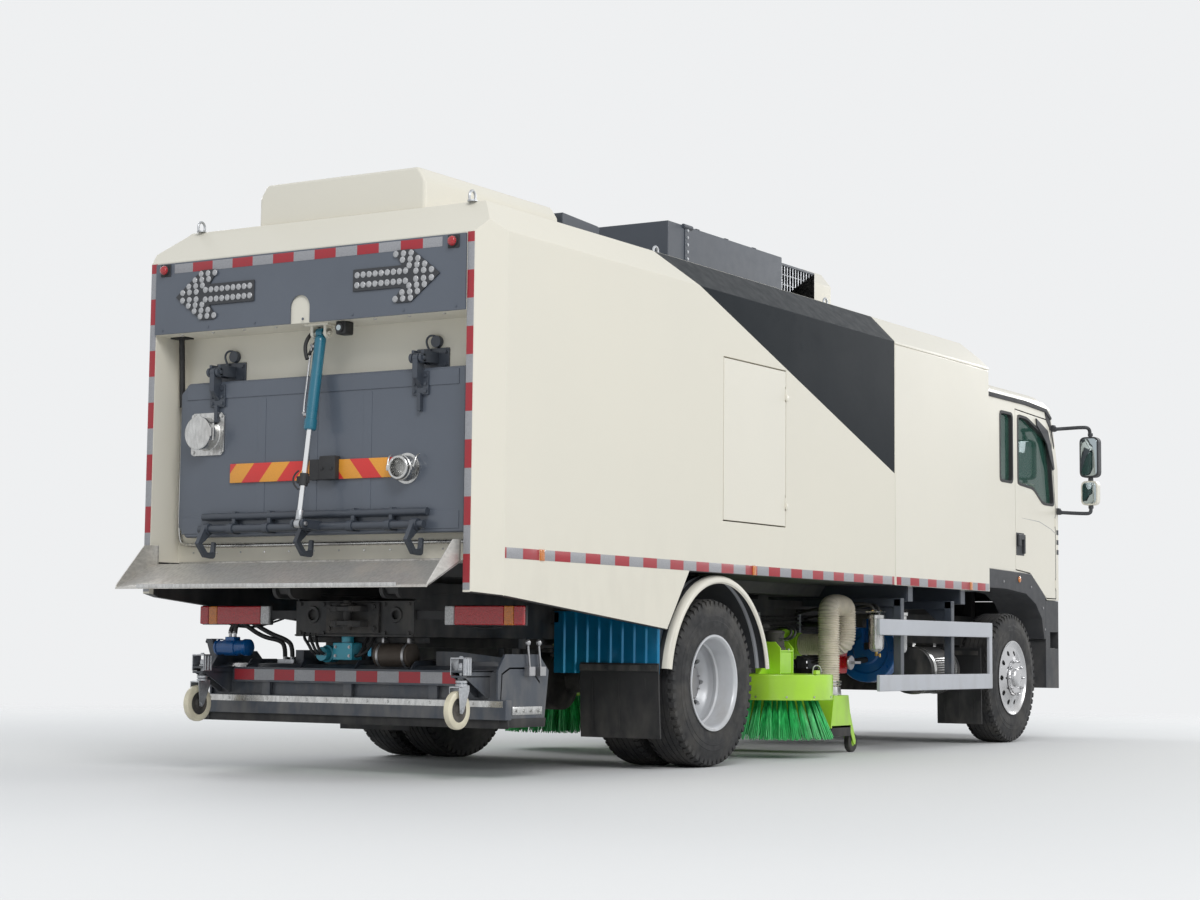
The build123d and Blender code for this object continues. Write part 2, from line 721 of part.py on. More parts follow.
def hopper_shell():
    """The tipping body's welded panels: roof, sides, rear frame, floor and cross walls."""
    outer = cross_plate(body_section(), body_rear_x, seam_x)
    skirt_points = [
        (body_rear_x, 1018),
        (rear_axle_x - 635, 842),
        (rear_axle_x - 368, body_bottom_z),
        (rear_axle_x - 368, body_bottom_z + 40),
        (body_rear_x, body_bottom_z + 40),
    ]
    skirt = side_plate(skirt_points, -body_half, body_half)
    skirt -= body_plan(skirt_wall, 700, body_bottom_z)
    skirt -= block(body_rear_x - 1, body_rear_x + 61, -recess_half, recess_half, 1000, body_bottom_z + 30)
    posts = block(body_rear_x, body_rear_x + 60, -body_half, body_half, 1018, body_bottom_z + 20)
    posts -= block(body_rear_x - 1, body_rear_x + 61, -recess_half, recess_half, 1000, body_bottom_z + 30)
    shell = (outer + skirt + posts) & body_plan(0, 700, body_roof_z + 10)
    rear_cut = [
        (body_rear_x - 10, header_top_z + 10),
        (body_rear_x, header_top_z),
        (body_rear_x + 220, body_roof_z - 20),
        (body_rear_x + 245, body_roof_z + 10),
        (body_rear_x - 10, body_roof_z + 10),
    ]
    shell -= side_plate(rear_cut, -body_half - 10, body_half + 10)
    x0, x1 = body_rear_x - 1, body_rear_x + recess_depth
    shell -= block(x0, x1, -recess_half, recess_half, recess_bottom_z, header_bottom_z)
    wall = body_wall
    inner_points = [
        (-body_half + wall, body_bottom_z + wall),
        (body_half - wall, body_bottom_z + wall),
        (body_half - wall, body_edge_z - 18),
        (roof_half - 10, body_roof_z - wall),
        (-roof_half + 10, body_roof_z - wall),
        (-body_half + wall, body_edge_z - 18),
    ]
    inner_rear_x = body_rear_x + recess_depth + back_wall
    shell -= cross_plate(inner_points, inner_rear_x, bulkhead_x)
    shell -= cross_plate(inner_points, bulkhead_x + wall, seam_x - wall)
    mouth_x0, mouth_x1 = body_rear_x + recess_depth - 1, inner_rear_x + 1
    shell -= block(mouth_x0, mouth_x1, -aperture_half, aperture_half, aperture_bottom_z, aperture_top_z)
    for side in (-1, 1):
        y0 = side * (body_half - wall - 10)
        y1 = side * (body_half + 10)
        shell -= block(door_rear_x, door_front_x, min(y0, y1), max(y0, y1), door_bottom_z, door_top_z)
    x, z = tip_hinge_x, tip_hinge_z
    lug = block(x - 40, x + 40, tip_lug_inner_y, tip_lug_outer_y, z, floor_z + 5)
    lug += bar((x, tip_lug_inner_y, z), (x, tip_lug_outer_y, z), tip_lug_radius)
    lug -= bar((x, 300, z), (x, 500, z), tip_pin_radius + running_fit)
    shell += lug + mirrored(lug)
    for side in (-1, 1):
        for offset in (-tip_eye_half - 25, tip_eye_half + 10):
            y0 = side * tip_cylinder_y + offset
            ear = block(tip_eye_x - 45, tip_eye_x + 45, y0, y0 + 15, tip_eye_z, floor_z + 5)
            ear += bar((tip_eye_x, y0, tip_eye_z), (tip_eye_x, y0 + 15, tip_eye_z), 42)
            shell += ear
    hinges = door_hinge_fixed(door_front_x - panel_gap, body_half, service_hinge_z)
    shell += hinges + mirrored(hinges)
    gap = seat_gap
    side_y = body_half - wall
    core_y = side_y - gap
    out_y = body_half + 50
    roof_z = body_edge_z - 18
    under_z = roof_z - gap
    floor_top = body_bottom_z + wall
    above = floor_top + gap
    low, high = 500, body_roof_z + 50
    rear, front = body_rear_x - 50, seam_x + 50
    panels = parted(shell, [
        (rear, front, -out_y, out_y, roof_z, high),
        (rear, front, side_y, out_y, low, under_z),
        (rear, front, -out_y, -side_y, low, under_z),
        (inner_rear_x + gap, front, -core_y, core_y, low, floor_top),
        (bulkhead_x - 1, bulkhead_x + wall + 1, -core_y, core_y, above, under_z),
        (seam_x - wall - 1, front, -core_y, core_y, above, under_z),
    ])
    header = shell & block(rear, inner_rear_x, -core_y, core_y, header_bottom_z + gap, under_z)
    frame = shell & block(rear, inner_rear_x, -core_y, core_y, low, header_bottom_z)
    panels.append(header + gate_cylinder_lugs())
    panels.append(frame + gate_hinge_brackets())
    return panels


header_sheet = 14
arrow_sheet = 12
marker_reach = 36


def header_panel():
    """The dark board above the recess, with a rounded notch over the cylinder."""
    x0, x1 = body_rear_x - header_sheet, body_rear_x
    panel = block(x0, x1, -recess_half, recess_half, header_bottom_z, header_top_z - 10)
    y0, y1 = header_notch_y - header_notch_half, header_notch_y + header_notch_half
    arc_z = header_bottom_z + header_notch_height - header_notch_half
    panel -= block(x0 - 1, x1 + 1, y0, y1, header_bottom_z - 1, arc_z)
    panel -= bar((x0 - 1, header_notch_y, arc_z), (x1 + 1, header_notch_y, arc_z), header_notch_half)
    return panel


def arrow_board(side):
    """An arrow that points outward on one side of the header."""
    tail, neck, tip = 355, 700, 946
    z = header_bottom_z + 210
    points = [
        (tail, z - 55),
        (neck, z - 55),
        (neck - 60, z - 145),
        (neck + 60, z - 145),
        (tip, z),
        (neck + 60, z + 145),
        (neck - 60, z + 145),
        (neck, z + 55),
        (tail, z + 55),
    ]
    face_x = body_rear_x - header_sheet
    return cross_plate([(side * y, h) for y, h in points], face_x - arrow_sheet, face_x)


def header_lamps():
    shapes = []
    for side in (-1, 1):
        y, z = side * (recess_half - 79), header_top_z - 52
        face_x = body_rear_x - header_sheet
        shapes.append(bar((face_x - marker_reach, y, z), (face_x, y, z), 28))
    return shapes


# Roof: rear duct hump and the dark fan boxes
def roof_hump():
    half = roof_half - 460
    rear_x = rear_axle_x - 2270
    front_x = rear_axle_x - 880
    points = [
        (-half, body_roof_z),
        (half, body_roof_z),
        (half, body_roof_z + 180),
        (half - 50, body_roof_z + 255),
        (-half + 50, body_roof_z + 255),
        (-half, body_roof_z + 180),
    ]
    hump = cross_plate(points, rear_x, front_x)
    return hump


def roof_box():
    x0 = rear_axle_x + 120
    x1 = rear_axle_x + 1730
    box_half, inlet_half, cap_half = roof_half - 260, roof_half - 280, roof_half - 300
    roof = body_roof_z
    box = block(x0, x1, -box_half, box_half, roof, roof + 320)
    inlet = block(x1 + 15, rear_axle_x + 2290, -inlet_half, inlet_half, roof, roof + 290)
    inlet -= block(x1 + 27, rear_axle_x + 2278, -inlet_half - 10, -inlet_half + 480, roof + 30, roof + 270)
    cap_points = [
        (-cap_half, roof),
        (cap_half, roof),
        (cap_half, roof + 230),
        (cap_half - 80, roof + 330),
        (-cap_half + 80, roof + 330),
        (-cap_half, roof + 230),
    ]
    cap = cross_plate(cap_points, rear_axle_x + 2305, rear_axle_x + 2600)
    wing = side_plate(
        [
            (rear_axle_x - 830, roof),
            (rear_axle_x - 400, roof),
            (rear_axle_x - 400, roof + 200),
            (rear_axle_x - 430, roof + 210),
            (rear_axle_x - 830, roof + 230),
        ],
        -roof_half + 460,
        roof_half - 460,
    )
    return [box, inlet, cap, wing]


# Stainless chute under the tailgate
chute_half = recess_half - 15
chute_sheet = 8


def chute():
    lip_x = -length / 2
    root_x = body_rear_x + recess_depth - 1
    root_z = recess_bottom_z + 30
    lip_z = 1035
    slope = [
        (root_x, root_z),
        (root_x, recess_bottom_z + 0.2),
        (body_rear_x, recess_bottom_z + 0.2),
        (body_rear_x - 2, recess_bottom_z - 6),
        (lip_x, lip_z),
        (lip_x, lip_z + chute_sheet),
        (body_rear_x, recess_bottom_z + chute_sheet),
    ]
    plate = side_plate(slope, -chute_half, chute_half)
    wing = side_plate(
        [
            (body_rear_x - 1, 1300),
            (body_rear_x - 70, 1296),
            (lip_x + 5, lip_z + 10),
            (lip_x + 5, lip_z),
            (body_rear_x - 1, recess_bottom_z - 20),
        ],
        chute_half - 6,
        chute_half,
    )
    return plate + wing + mirrored(wing)


# Tailgate, its lock bar with hooks and its cylinder
gate_hinge_x = body_rear_x + 85
gate_half = recess_half - 90
gate_bottom_z = aperture_bottom_z - 55
gate_outer_x = body_rear_x + 130
gate_sheet = 60
seal_depth = recess_depth - 130 - gate_sheet - 1
hinge_y = 727
gate_pin_radius = 12
lock_x = body_rear_x + 72
lock_z = 1388
lock_radius = 17
hook_places = [-741, 20, 741]
crank_reach = 145
gate_cylinder_y = -50
gate_top_pin_x = body_rear_x + 90
gate_top_pin_z = header_bottom_z - 50
gate_eye_x = lock_x - crank_reach
gate_eye_z = lock_z + 10
camlock_y = -640
camlock_z = 1700
camlock_bore = 50
flange_y = gate_half - 220
flange_z = gate_top_z - 305
fold_height = 88
fold_rise = 6


def tailgate():
    x0, x1 = gate_outer_x, gate_outer_x + gate_sheet
    gate = block(x0, x1, -gate_half, gate_half, gate_bottom_z, gate_top_z)
    fold_top = gate_top_z - 12
    gate += block(x0 - fold_rise, x0, -gate_half + 40, gate_half - 50, fold_top - fold_height, fold_top)
    seal = block(x1, x1 + seal_depth, -gate_half + 20, gate_half - 20, gate_bottom_z + 20, gate_top_z - 20)
    mouth_half, mouth_low, mouth_high = aperture_half - 20, aperture_bottom_z + 20, aperture_top_z - 20
    seal -= block(x1 - 1, x1 + seal_depth + 1, -mouth_half, mouth_half, mouth_low, mouth_high)
    gate += seal
    for y in (-hinge_y, hinge_y):
        strap = side_plate(
            [
                (x0, gate_top_z - 130),
                (x0, gate_top_z),
                (gate_hinge_x + 25, gate_hinge_z),
                (gate_hinge_x - 25, gate_hinge_z),
                (gate_hinge_x - 25, gate_top_z - 60),
            ],
            y - 18,
            y + 18,
        )
        strap += bar((gate_hinge_x, y - 18, gate_hinge_z), (gate_hinge_x, y + 18, gate_hinge_z), 27)
        bore = gate_pin_radius + running_fit
        strap -= bar((gate_hinge_x, y - 30, gate_hinge_z), (gate_hinge_x, y + 30, gate_hinge_z), bore)
        gate += strap
    for y in (-560, -300, 300, 560):
        bearing = block(lock_x - 30, x0, y - 20, y + 20, lock_z - 30, lock_z + 30)
        bearing -= bar((lock_x, y - 30, lock_z), (lock_x, y + 30, lock_z), lock_radius + running_fit)
        gate += bearing
    gate += bar((x0 - 95, camlock_y, camlock_z), (x0 + 1, camlock_y, camlock_z), 66)
    gate -= bar((x0 - 96, camlock_y, camlock_z), (x0 - 10, camlock_y, camlock_z), camlock_bore)
    gate += block(x0 - 12, x0 + 1, flange_y - 125, flange_y + 125, flange_z - 125, flange_z + 125)
    gate += bar((x0 - 50, flange_y, flange_z), (x0 + 1, flange_y, flange_z), 95)
    for dy in (-105, 105):
        for dz in (-105, 105):
            gate -= bar((x0 - 13, flange_y + dy, flange_z + dz), (x0 - 2, flange_y + dy, flange_z + dz), 7)
    gate += block(x0 - 14, x0 + 1, -560, 620, 1655, 1765)
    return gate


def gate_hinge_brackets():
    """Two ears a hinge, on the back wall of the recess, with their pin."""
    wall_x = body_rear_x + recess_depth
    brackets = None
    x, z = gate_hinge_x, gate_hinge_z
    for y in (-hinge_y, hinge_y):
        for offset in (-42, 24):
            y0 = y + offset
            ear = block(x, wall_x + 1, y0, y0 + 18, z - 20, z + 45) + bar((x, y0, z), (x, y0 + 18, z), 27)
            brackets = ear if brackets is None else brackets + ear
        brackets += bar((x, y - 42, z), (x, y + 42, z), gate_pin_radius)
    return brackets


def gate_cylinder_lugs():
    """Two lugs under the header, with the pin that the gate cylinder hangs from."""
    x, z = gate_top_pin_x, gate_top_pin_z
    lugs = bar((x, gate_cylinder_y - 56, z), (x, gate_cylinder_y + 56, z), gate_pin_radius)
    for offset in (-56, 38):
        y0 = gate_cylinder_y + offset
        lugs += block(x - 30, x + 30, y0, y0 + 18, z, header_bottom_z + 1)
        lugs += bar((x, y0, z), (x, y0 + 18, z), 30)
    return lugs


def lock_bar():
    shaft = bar((lock_x, -780, lock_z), (lock_x, 780, lock_z), lock_radius)
    for y in hook_places:
        hook = side_plate(
            [
                (lock_x + 20, lock_z + 20),
                (lock_x - 20, lock_z + 20),
                (lock_x - 92, lock_z - 85),
                (lock_x - 20, lock_z - 165),
                (lock_x + 60, lock_z - 170),
                (lock_x + 60, lock_z - 142),
                (lock_x - 5, lock_z - 136),
                (lock_x - 55, lock_z - 85),
                (lock_x + 20, lock_z - 20),
            ],
            y - 14,
            y + 14,
        )
        shaft += hook
    for offset in (-44, 26):
        y0 = gate_cylinder_y + offset
        crank = block(gate_eye_x, lock_x, y0, y0 + 16, lock_z - 15, lock_z + 20)
        crank += bar((gate_eye_x, y0, gate_eye_z), (gate_eye_x, y0 + 16, gate_eye_z), 26)
        shaft += crank
    return shaft


gate_run = math.hypot(gate_top_pin_x - gate_eye_x, gate_top_pin_z - gate_eye_z)


def along_gate(distance):
    share = distance / gate_run
    x = gate_top_pin_x + (gate_eye_x - gate_top_pin_x) * share
    z = gate_top_pin_z + (gate_eye_z - gate_top_pin_z) * share
    return (x, gate_cylinder_y, z)


gate_barrel_reach = 560
gate_barrel_radius = 32
gate_rod_radius = 17


def gate_barrel():
    y0, y1 = gate_cylinder_y - 20, gate_cylinder_y + 20
    x, z = gate_top_pin_x, gate_top_pin_z
    barrel = bar(along_gate(24), along_gate(gate_barrel_reach), gate_barrel_radius)
    barrel += bar((x, y0, z), (x, y1, z), 28)
    barrel -= bar((x, y0 - 9, z), (x, y1 + 9, z), gate_pin_radius + running_fit)
    barrel -= bar(along_gate(70), along_gate(gate_barrel_reach + 1), gate_rod_radius + running_fit)
    return barrel


def gate_rod():
    y0, y1 = gate_cylinder_y - 20, gate_cylinder_y + 20
    rod = bar(along_gate(330), along_gate(gate_run - 10), gate_rod_radius)
    rod += bar((gate_eye_x, y0, gate_eye_z), (gate_eye_x, y1, gate_eye_z), 24)
    rod -= bar((gate_eye_x, y0 - 9, gate_eye_z), (gate_eye_x, y1 + 9, gate_eye_z), gate_pin_radius)
    return rod


# Service doors in the body's sides, hinged at their front edges
def service_door():
    y1 = body_half
    y0 = y1 - side_door_thick
    gap = panel_gap
    door = block(door_rear_x + gap, door_front_x - gap, y0, y1, door_bottom_z + gap, door_top_z - gap)
    return door_hinge_moving(door, door_front_x - gap, y1, service_hinge_z)


# Fixed module between the body and the cab
def front_module():
    """The module's panels: roof, sides, rear wall, front wall and sills."""
    section = [
        (-body_half, body_bottom_z),
        (body_half, body_bottom_z),
        (body_half, body_edge_z),
        (roof_half, body_roof_z),
        (-roof_half, body_roof_z),
        (-body_half, body_edge_z),
    ]
    outer = cross_plate(section, module_rear_x, module_front_x)
    cut = [
        (module_front_x + 10, body_roof_z - 130),
        (module_front_x + 10, body_roof_z + 10),
        (module_front_x - 130, body_roof_z + 10),
    ]
    outer -= side_plate(cut, -body_half - 10, body_half + 10)
    wall = body_wall
    inner = [
        (-body_half + wall, body_bottom_z - 10),
        (body_half - wall, body_bottom_z - 10),
        (body_half - wall, body_edge_z - 20),
        (roof_half - 40, body_roof_z - wall),
        (-roof_half + 40, body_roof_z - wall),
        (-body_half + wall, body_edge_z - 20),
    ]
    module = outer - cross_plate(inner, module_rear_x + wall, module_front_x - 150)
    for x in (module_rear_x + 300, module_front_x - 500):
        reach = body_half - wall + 5
        module += block(x, x + 90, -reach, reach, subframe_top_z + seat_gap, body_bottom_z + 30)
    gap = seat_gap
    side_y = body_half - wall
    core_y = side_y - gap
    out_y = body_half + 50
    roof_z = body_edge_z - 20
    under_z = roof_z - gap
    low, high = 500, body_roof_z + 50
    rear, front = module_rear_x - 50, module_front_x + 50
    rear_wall_x, front_wall_x = module_rear_x + wall, module_front_x - 150
    return parted(module, [
        (rear, front, -out_y, out_y, roof_z, high),
        (rear, front, side_y, out_y, low, under_z),
        (rear, front, -out_y, -side_y, low, under_z),
        (rear, rear_wall_x, -core_y, core_y, low, under_z),
        (rear_wall_x + gap, front_wall_x - gap, -core_y, core_y, low, body_bottom_z + 60),
        (front_wall_x, front, -core_y, core_y, low, under_z),
    ])


# Cab shell, doors, glass and inside
cab_floor_z = 1400
sill_z = 1170
cab_roof_z = 2950
seam_rear_x = front_axle_x + 230
seam_front_x = front_axle_x + 1165
front_face_x = front_axle_x + 1470
corner_round = 250
shoulder_z = 2800
belt_z = 1970
glass_thick = 6
cab_hinge_z = [sill_z + 140, belt_z - 130]


def cab_profile(inset):
    """The side outline of the cab, inset by a wall."""
    ax = front_axle_x
    return [
        (cab_rear_x + inset, cab_floor_z + (50 if inset else 0)),
        (ax + 560 - inset, cab_floor_z + (50 if inset else -20)),
        (ax + 800 - inset, cab_floor_z + (50 if inset else -150)),
        (ax + 945 - inset, cab_floor_z + 50 if inset else sill_z),
        (front_face_x - 30 - inset, cab_floor_z + 50 if inset else sill_z),
        (front_face_x - inset, 1560),
        (front_face_x - 20 - inset, 1720),
        (ax + 1330 - inset, belt_z),
        (ax + 1130 - inset, 2600),
        (ax + 1040 - inset, 2810 - inset / 2),
        (ax + 840 - inset, 2890 - inset),
        (ax + 490, 2925 - inset),
        (cab_rear_x + inset, cab_roof_z - inset),
    ]


def cab_plan(inset):
    half = cab_half - inset
    front = nose_x + 5 - inset
    points = [
        (cab_rear_x + inset, -half),
        (front_axle_x + 1225, -half),
        (front - 60, -half + 110),
        (front, -half + 330),
        (front, half - 330),
        (front - 60, half - 110),
        (front_axle_x + 1225, half),
        (cab_rear_x + inset, half),
    ]
    plan = make_face(Polyline(*[(x, y, 900) for x, y in points], close=True))
    corners = [corner for corner in plan.vertices() if corner.X > front_axle_x + 1300]
    return extrude(fillet(corners, corner_round), amount=2200, dir=(0, 0, 1))


def cab_section(inset):
    """The cross outline, with the roof's rounded shoulders as (inward, height) rows."""
    half = cab_half - inset
    shoulder = [(0, 0), (22, 55), (75, 100), (160, 128), (330, 152)]
    right = [(-half + inward, shoulder_z + rise - inset) for inward, rise in shoulder]
    left = [(-y, z) for y, z in reversed(right)]
    return [(-half, 900)] + right + left + [(half, 900)]


def door_outline(gap):
    ax = front_axle_x
    return [
        (seam_rear_x + gap, cab_floor_z + gap),
        (ax + 560, cab_floor_z - 20 + gap),
        (ax + 800, cab_floor_z - 150 + gap),
        (ax + 935, sill_z + 10 + gap),
        (seam_front_x - gap, sill_z + 10 + gap),
        (seam_front_x - gap, belt_z),
        (ax + 1075 - gap, 2560 - gap),
        (ax + 1010 - gap, 2715 - gap),
        (seam_rear_x + gap, 2740 - gap),
    ]


def door_window():
    ax = front_axle_x
    return [
        (ax + 290, 2120),
        (ax + 640, 2100),
        (ax + 860, 1985),
        (ax + 1125, 1985),
        (ax + 1025, 2540),
        (ax + 500, 2685),
        (ax + 290, 2690),
    ]


def cab_body():
    inner_half = cab_half - cab_wall
    outer = side_plate(cab_profile(0), -cab_half, cab_half) & cab_plan(0)
    outer &= cross_plate(cab_section(0), cab_rear_x, nose_x)
    inner = side_plate(cab_profile(cab_wall), -inner_half, inner_half) & cab_plan(cab_wall)
    inner &= cross_plate(cab_section(cab_wall), cab_rear_x, nose_x)
    under = block(cab_rear_x - 1, front_face_x - 110, -inner_half, inner_half, sill_z - 1, cab_floor_z)
    return outer - inner - under


def windscreen_opening():
    return block(front_axle_x + 1030, nose_x, -cab_half + 130, cab_half - 130, belt_z + 40, 2640)


grille_half = 620
grille_low_z = 1270
grille_high_z = 1690
grille_floor_x = front_face_x - 40
grille_bars = 5
grille_bar = 30
visor_half = 900


def with_grille(shell):
    """The front face with its recess and the bars across it."""
    shell -= block(grille_floor_x, nose_x, -grille_half, grille_half, grille_low_z, grille_high_z)
    pitch = (grille_high_z - grille_low_z) / grille_bars
    for index in range(grille_bars):
        z = grille_low_z + pitch * (index + 0.5) - grille_bar / 2
        face_x = front_face_x - abs(z - 1560) * 0.09 - 6
        shell += block(grille_floor_x - 1, face_x, -grille_half, grille_half, z, z + grille_bar)
    return shell


def visor():
    """The sun visor over the windscreen."""
    ax = front_axle_x
    points = [(ax + 1075, 2681), (ax + 1330, 2515), (ax + 1334, 2523), (ax + 1075, 2695)]
    return side_plate(points, -visor_half, visor_half)


def cab_shell():
    shell = with_grille(cab_body())
    door_cut = side_plate(door_outline(0), -cab_half - 10, -cab_half + cab_wall + 5)
    shell -= door_cut + mirrored(door_cut)
    shell -= windscreen_opening()
    shell += visor()
    quarter = side_plate(
        [
            (front_axle_x - 100, 2120),
            (front_axle_x + 175, 2120),
            (front_axle_x + 175, 2690),
            (front_axle_x - 100, 2690),
        ],
        -cab_half - 10,
        -cab_half + cab_wall + 5,
    )
    shell -= quarter + mirrored(quarter)
    x0, x1 = front_axle_x - 380, front_axle_x + 800
    shell -= block(x0, x1, -370, 370, cab_floor_z - 10, cab_floor_z + 10)
    hinges = door_hinge_fixed(seam_front_x - panel_gap, cab_half, cab_hinge_z)
    return shell + hinges + mirrored(hinges)


def cab_door():
    body = side_plate(door_outline(panel_gap), cab_half - cab_wall, cab_half)
    body -= side_plate(door_window(), cab_half - cab_wall - 5, cab_half + 5)
    return door_hinge_moving(body, seam_front_x - panel_gap, cab_half, cab_hinge_z)


def door_glass():
    y = cab_half - 34
    return side_plate(door_window(), y, y + glass_thick)


def cab_glass():
    ax = front_axle_x
    screen = [
        (ax + 1312, belt_z + 40 + seat_gap),
        (ax + 1318, belt_z + 40 + seat_gap),
        (ax + 1124, 2640 - seat_gap),
        (ax + 1118, 2640 - seat_gap),
    ]
    front = side_plate(screen, -cab_half + 130 + seat_gap, cab_half - 130 - seat_gap)
    y = cab_half - 34
    quarter = block(ax - 100, ax + 175, y, y + glass_thick, 2120, 2690)
    return [front] + pair(quarter)


def cab_interior():
    ax = front_axle_x
    floor = cab_floor_z + 50
    shapes = []
    for y in (-560, 560):
        base = block(ax + 180, ax + 620, y - 230, y + 230, floor, floor + 330)
        cushion = block(ax + 150, ax + 650, y - 250, y + 250, floor + 330, floor + 450)
        back = side_plate(
            [
                (ax + 100, floor + 400),
                (ax + 230, floor + 440),
                (ax + 170, floor + 1020),
                (ax + 60, floor + 1020),
            ],
            y - 240,
            y + 240,
        )
        head = block(ax + 50, ax + 140, y - 130, y + 130, floor + 1020, floor + 1200)
        shapes.append(base + cushion + back + head)
    dash = side_plate(
        [
            (ax + 950, floor + 380),
            (ax + 1190, floor + 60),
            (ax + 1190, floor + seat_gap),
            (ax + 1235, floor + seat_gap),
            (ax + 1262, floor + 440),
            (ax + 1240, floor + 500),
            (ax + 980, floor + 500),
        ],
        -cab_half + cab_wall + 60,
        cab_half - cab_wall - 60,
    )
    wheel_plane = Plane(origin=(ax + 860, 560, floor + 560), z_dir=(-0.6, 0, 0.8))
    wheel = wheel_plane * (Cylinder(225, 30) - Cylinder(192, 40))
    for angle in (0, 120, 240):
        wheel += wheel_plane * (Rot(0, 0, angle) * (Pos(100, 0, 0) * Box(200, 36, 18)))
    column = bar((ax + 860, 560, floor + 560), (ax + 990, 560, floor + 387), 26)
    wheel += column
    shapes.append(dash + wheel)
    return shapes


# Bumper, steps and wheel arches of the cab
bumper_set = 5
tow_socket_radius = 18
tow_socket_depth = 90
tow_socket_y = 420
tow_socket_z = 560


def front_bumper():
    ax = front_axle_x
    side = [
        (ax + 900, 430),
        (nose_x - 80, 420),
        (nose_x - 5, 480),
        (nose_x - 5, 900),
        (nose_x - 40, sill_z - 6),
        (ax + 900, sill_z - 6),
    ]
    outer = side_plate(side, -cab_half - 5, cab_half + 5) & flat_plate(
        [
            (ax + 880, -cab_half - 5),
            (ax + 1200, -cab_half - 5),
            (nose_x, -cab_half + 220),
            (nose_x, cab_half - 220),
            (ax + 1200, cab_half + 5),
            (ax + 880, cab_half + 5),
        ],
        400,
        sill_z,
    )
    outer -= block(ax + 800, nose_x - 160, -cab_half + 260, cab_half - 260, 400, sill_z + 1)
    for y0, y1 in ((-cab_half - 10, -cab_half + 130), (cab_half - 130, cab_half + 10)):
        outer -= block(ax + 1000, ax + 1190, y0, y1, 760, 900)
    rail = rail_outer_y
    outer += block(frame_front_x, nose_x - 150, -rail, rail, 800, 960)
    socket_end_x = nose_x - bumper_set - tow_socket_depth
    y, z = -tow_socket_y, tow_socket_z
    outer -= bar((socket_end_x, y, z), (nose_x, y, z), tow_socket_radius)
    return outer


def cab_arches():
    ax = front_axle_x
    points = [
        (cab_rear_x + 5, cab_floor_z - seat_gap - 0.2),
        (ax + 560, cab_floor_z - 20 - seat_gap),
        (ax + 800, cab_floor_z - 150 - seat_gap),
        (ax + 890, 1199),
        (ax + 890, 840),
        (ax + 850, 840),
        (ax + 800, 1010),
        (ax + 660, 1130),
        (ax + 440, 1210),
        (ax - 10, 1240),
        (cab_rear_x + 5, 1240),
    ]
    arch = side_plate(points, 760, cab_half + 10)
    return pair(arch)


# Lamps of the chassis
tail_lamp_y = body_half - 82


def lamps():
    tail_x = rear_axle_x - 2020
    shapes = []
    for side in (-1, 1):
        y0, y1 = sorted((side * (tail_lamp_y - 538), side * tail_lamp_y))
        lamp = block(tail_x - 45, tail_x, y0, y1, 845, 960)
        y0, y1 = sorted((side * (rail_outer_y + seat_gap), side * (tail_lamp_y - 528)))
        lamp += block(tail_x - 20, tail_x, y0, y1, 880, 930)
        shapes.append(lamp)
    for side in (-1, 1):
        y0, y1 = sorted((side * (cab_half - 560), side * (cab_half - 280)))
        shapes.append(block(nose_x - 5, nose_x, y0, y1, 620, 800))
    return shapes


# Mirrors on arms from the front pillars
mirror_reach = 270
mirror_round = 35


def mirrors():
    ax = front_axle_x
    y = cab_half + mirror_reach
    head = block(ax + 1270, ax + 1350, y - 90, y + 80, 2230, 2580)
    head = fillet(head.edges().filter_by(Axis.X), mirror_round)
    low = block(ax + 1270, ax + 1345, y - 80, y + 70, 1990, 2200)
    low = fillet(low.edges().filter_by(Axis.X), mirror_round)
    tube = bar((ax + 1300, y, 1914), (ax + 1300, y, 2656), 16)
    shape = head + low + tube
    for foot_x, z in ((ax + 1076, 2640), (ax + 1200, 1930)):
        shape += block(foot_x - 20, foot_x + 20, cab_half + seat_gap, cab_half + 26, z - 20, z + 20)
        shape += bar((foot_x, cab_half + 20, z), (ax + 1300, y, z), 16)
    return pair(shape)


# Posts on the rails that carry the cab
def cab_mounts():
    rail_in = rail_outer_y - rail_flange
    posts = []
    for x in (cab_rear_x + 40, front_axle_x + 960):
        post = block(x, x + 90, rail_in, rail_outer_y, rail_top_z + seat_gap, cab_floor_z - seat_gap)
        posts.extend(pair(post))
    return posts


# Side brushes: swinging arm and spinning disc of tines
brush_x = rear_axle_x + 1500
brush_y = body_half - 380
arm_pivot_x = rear_axle_x + 2010
arm_pivot_y = 500
arm_z = 800
brush_tip_z = 125
brush_radius = 400
plate_radius = 290
tine_count = 40
skirt_top_z = 565
skirt_low_z = 392
skirt_sheet = 8
motor_box = 95


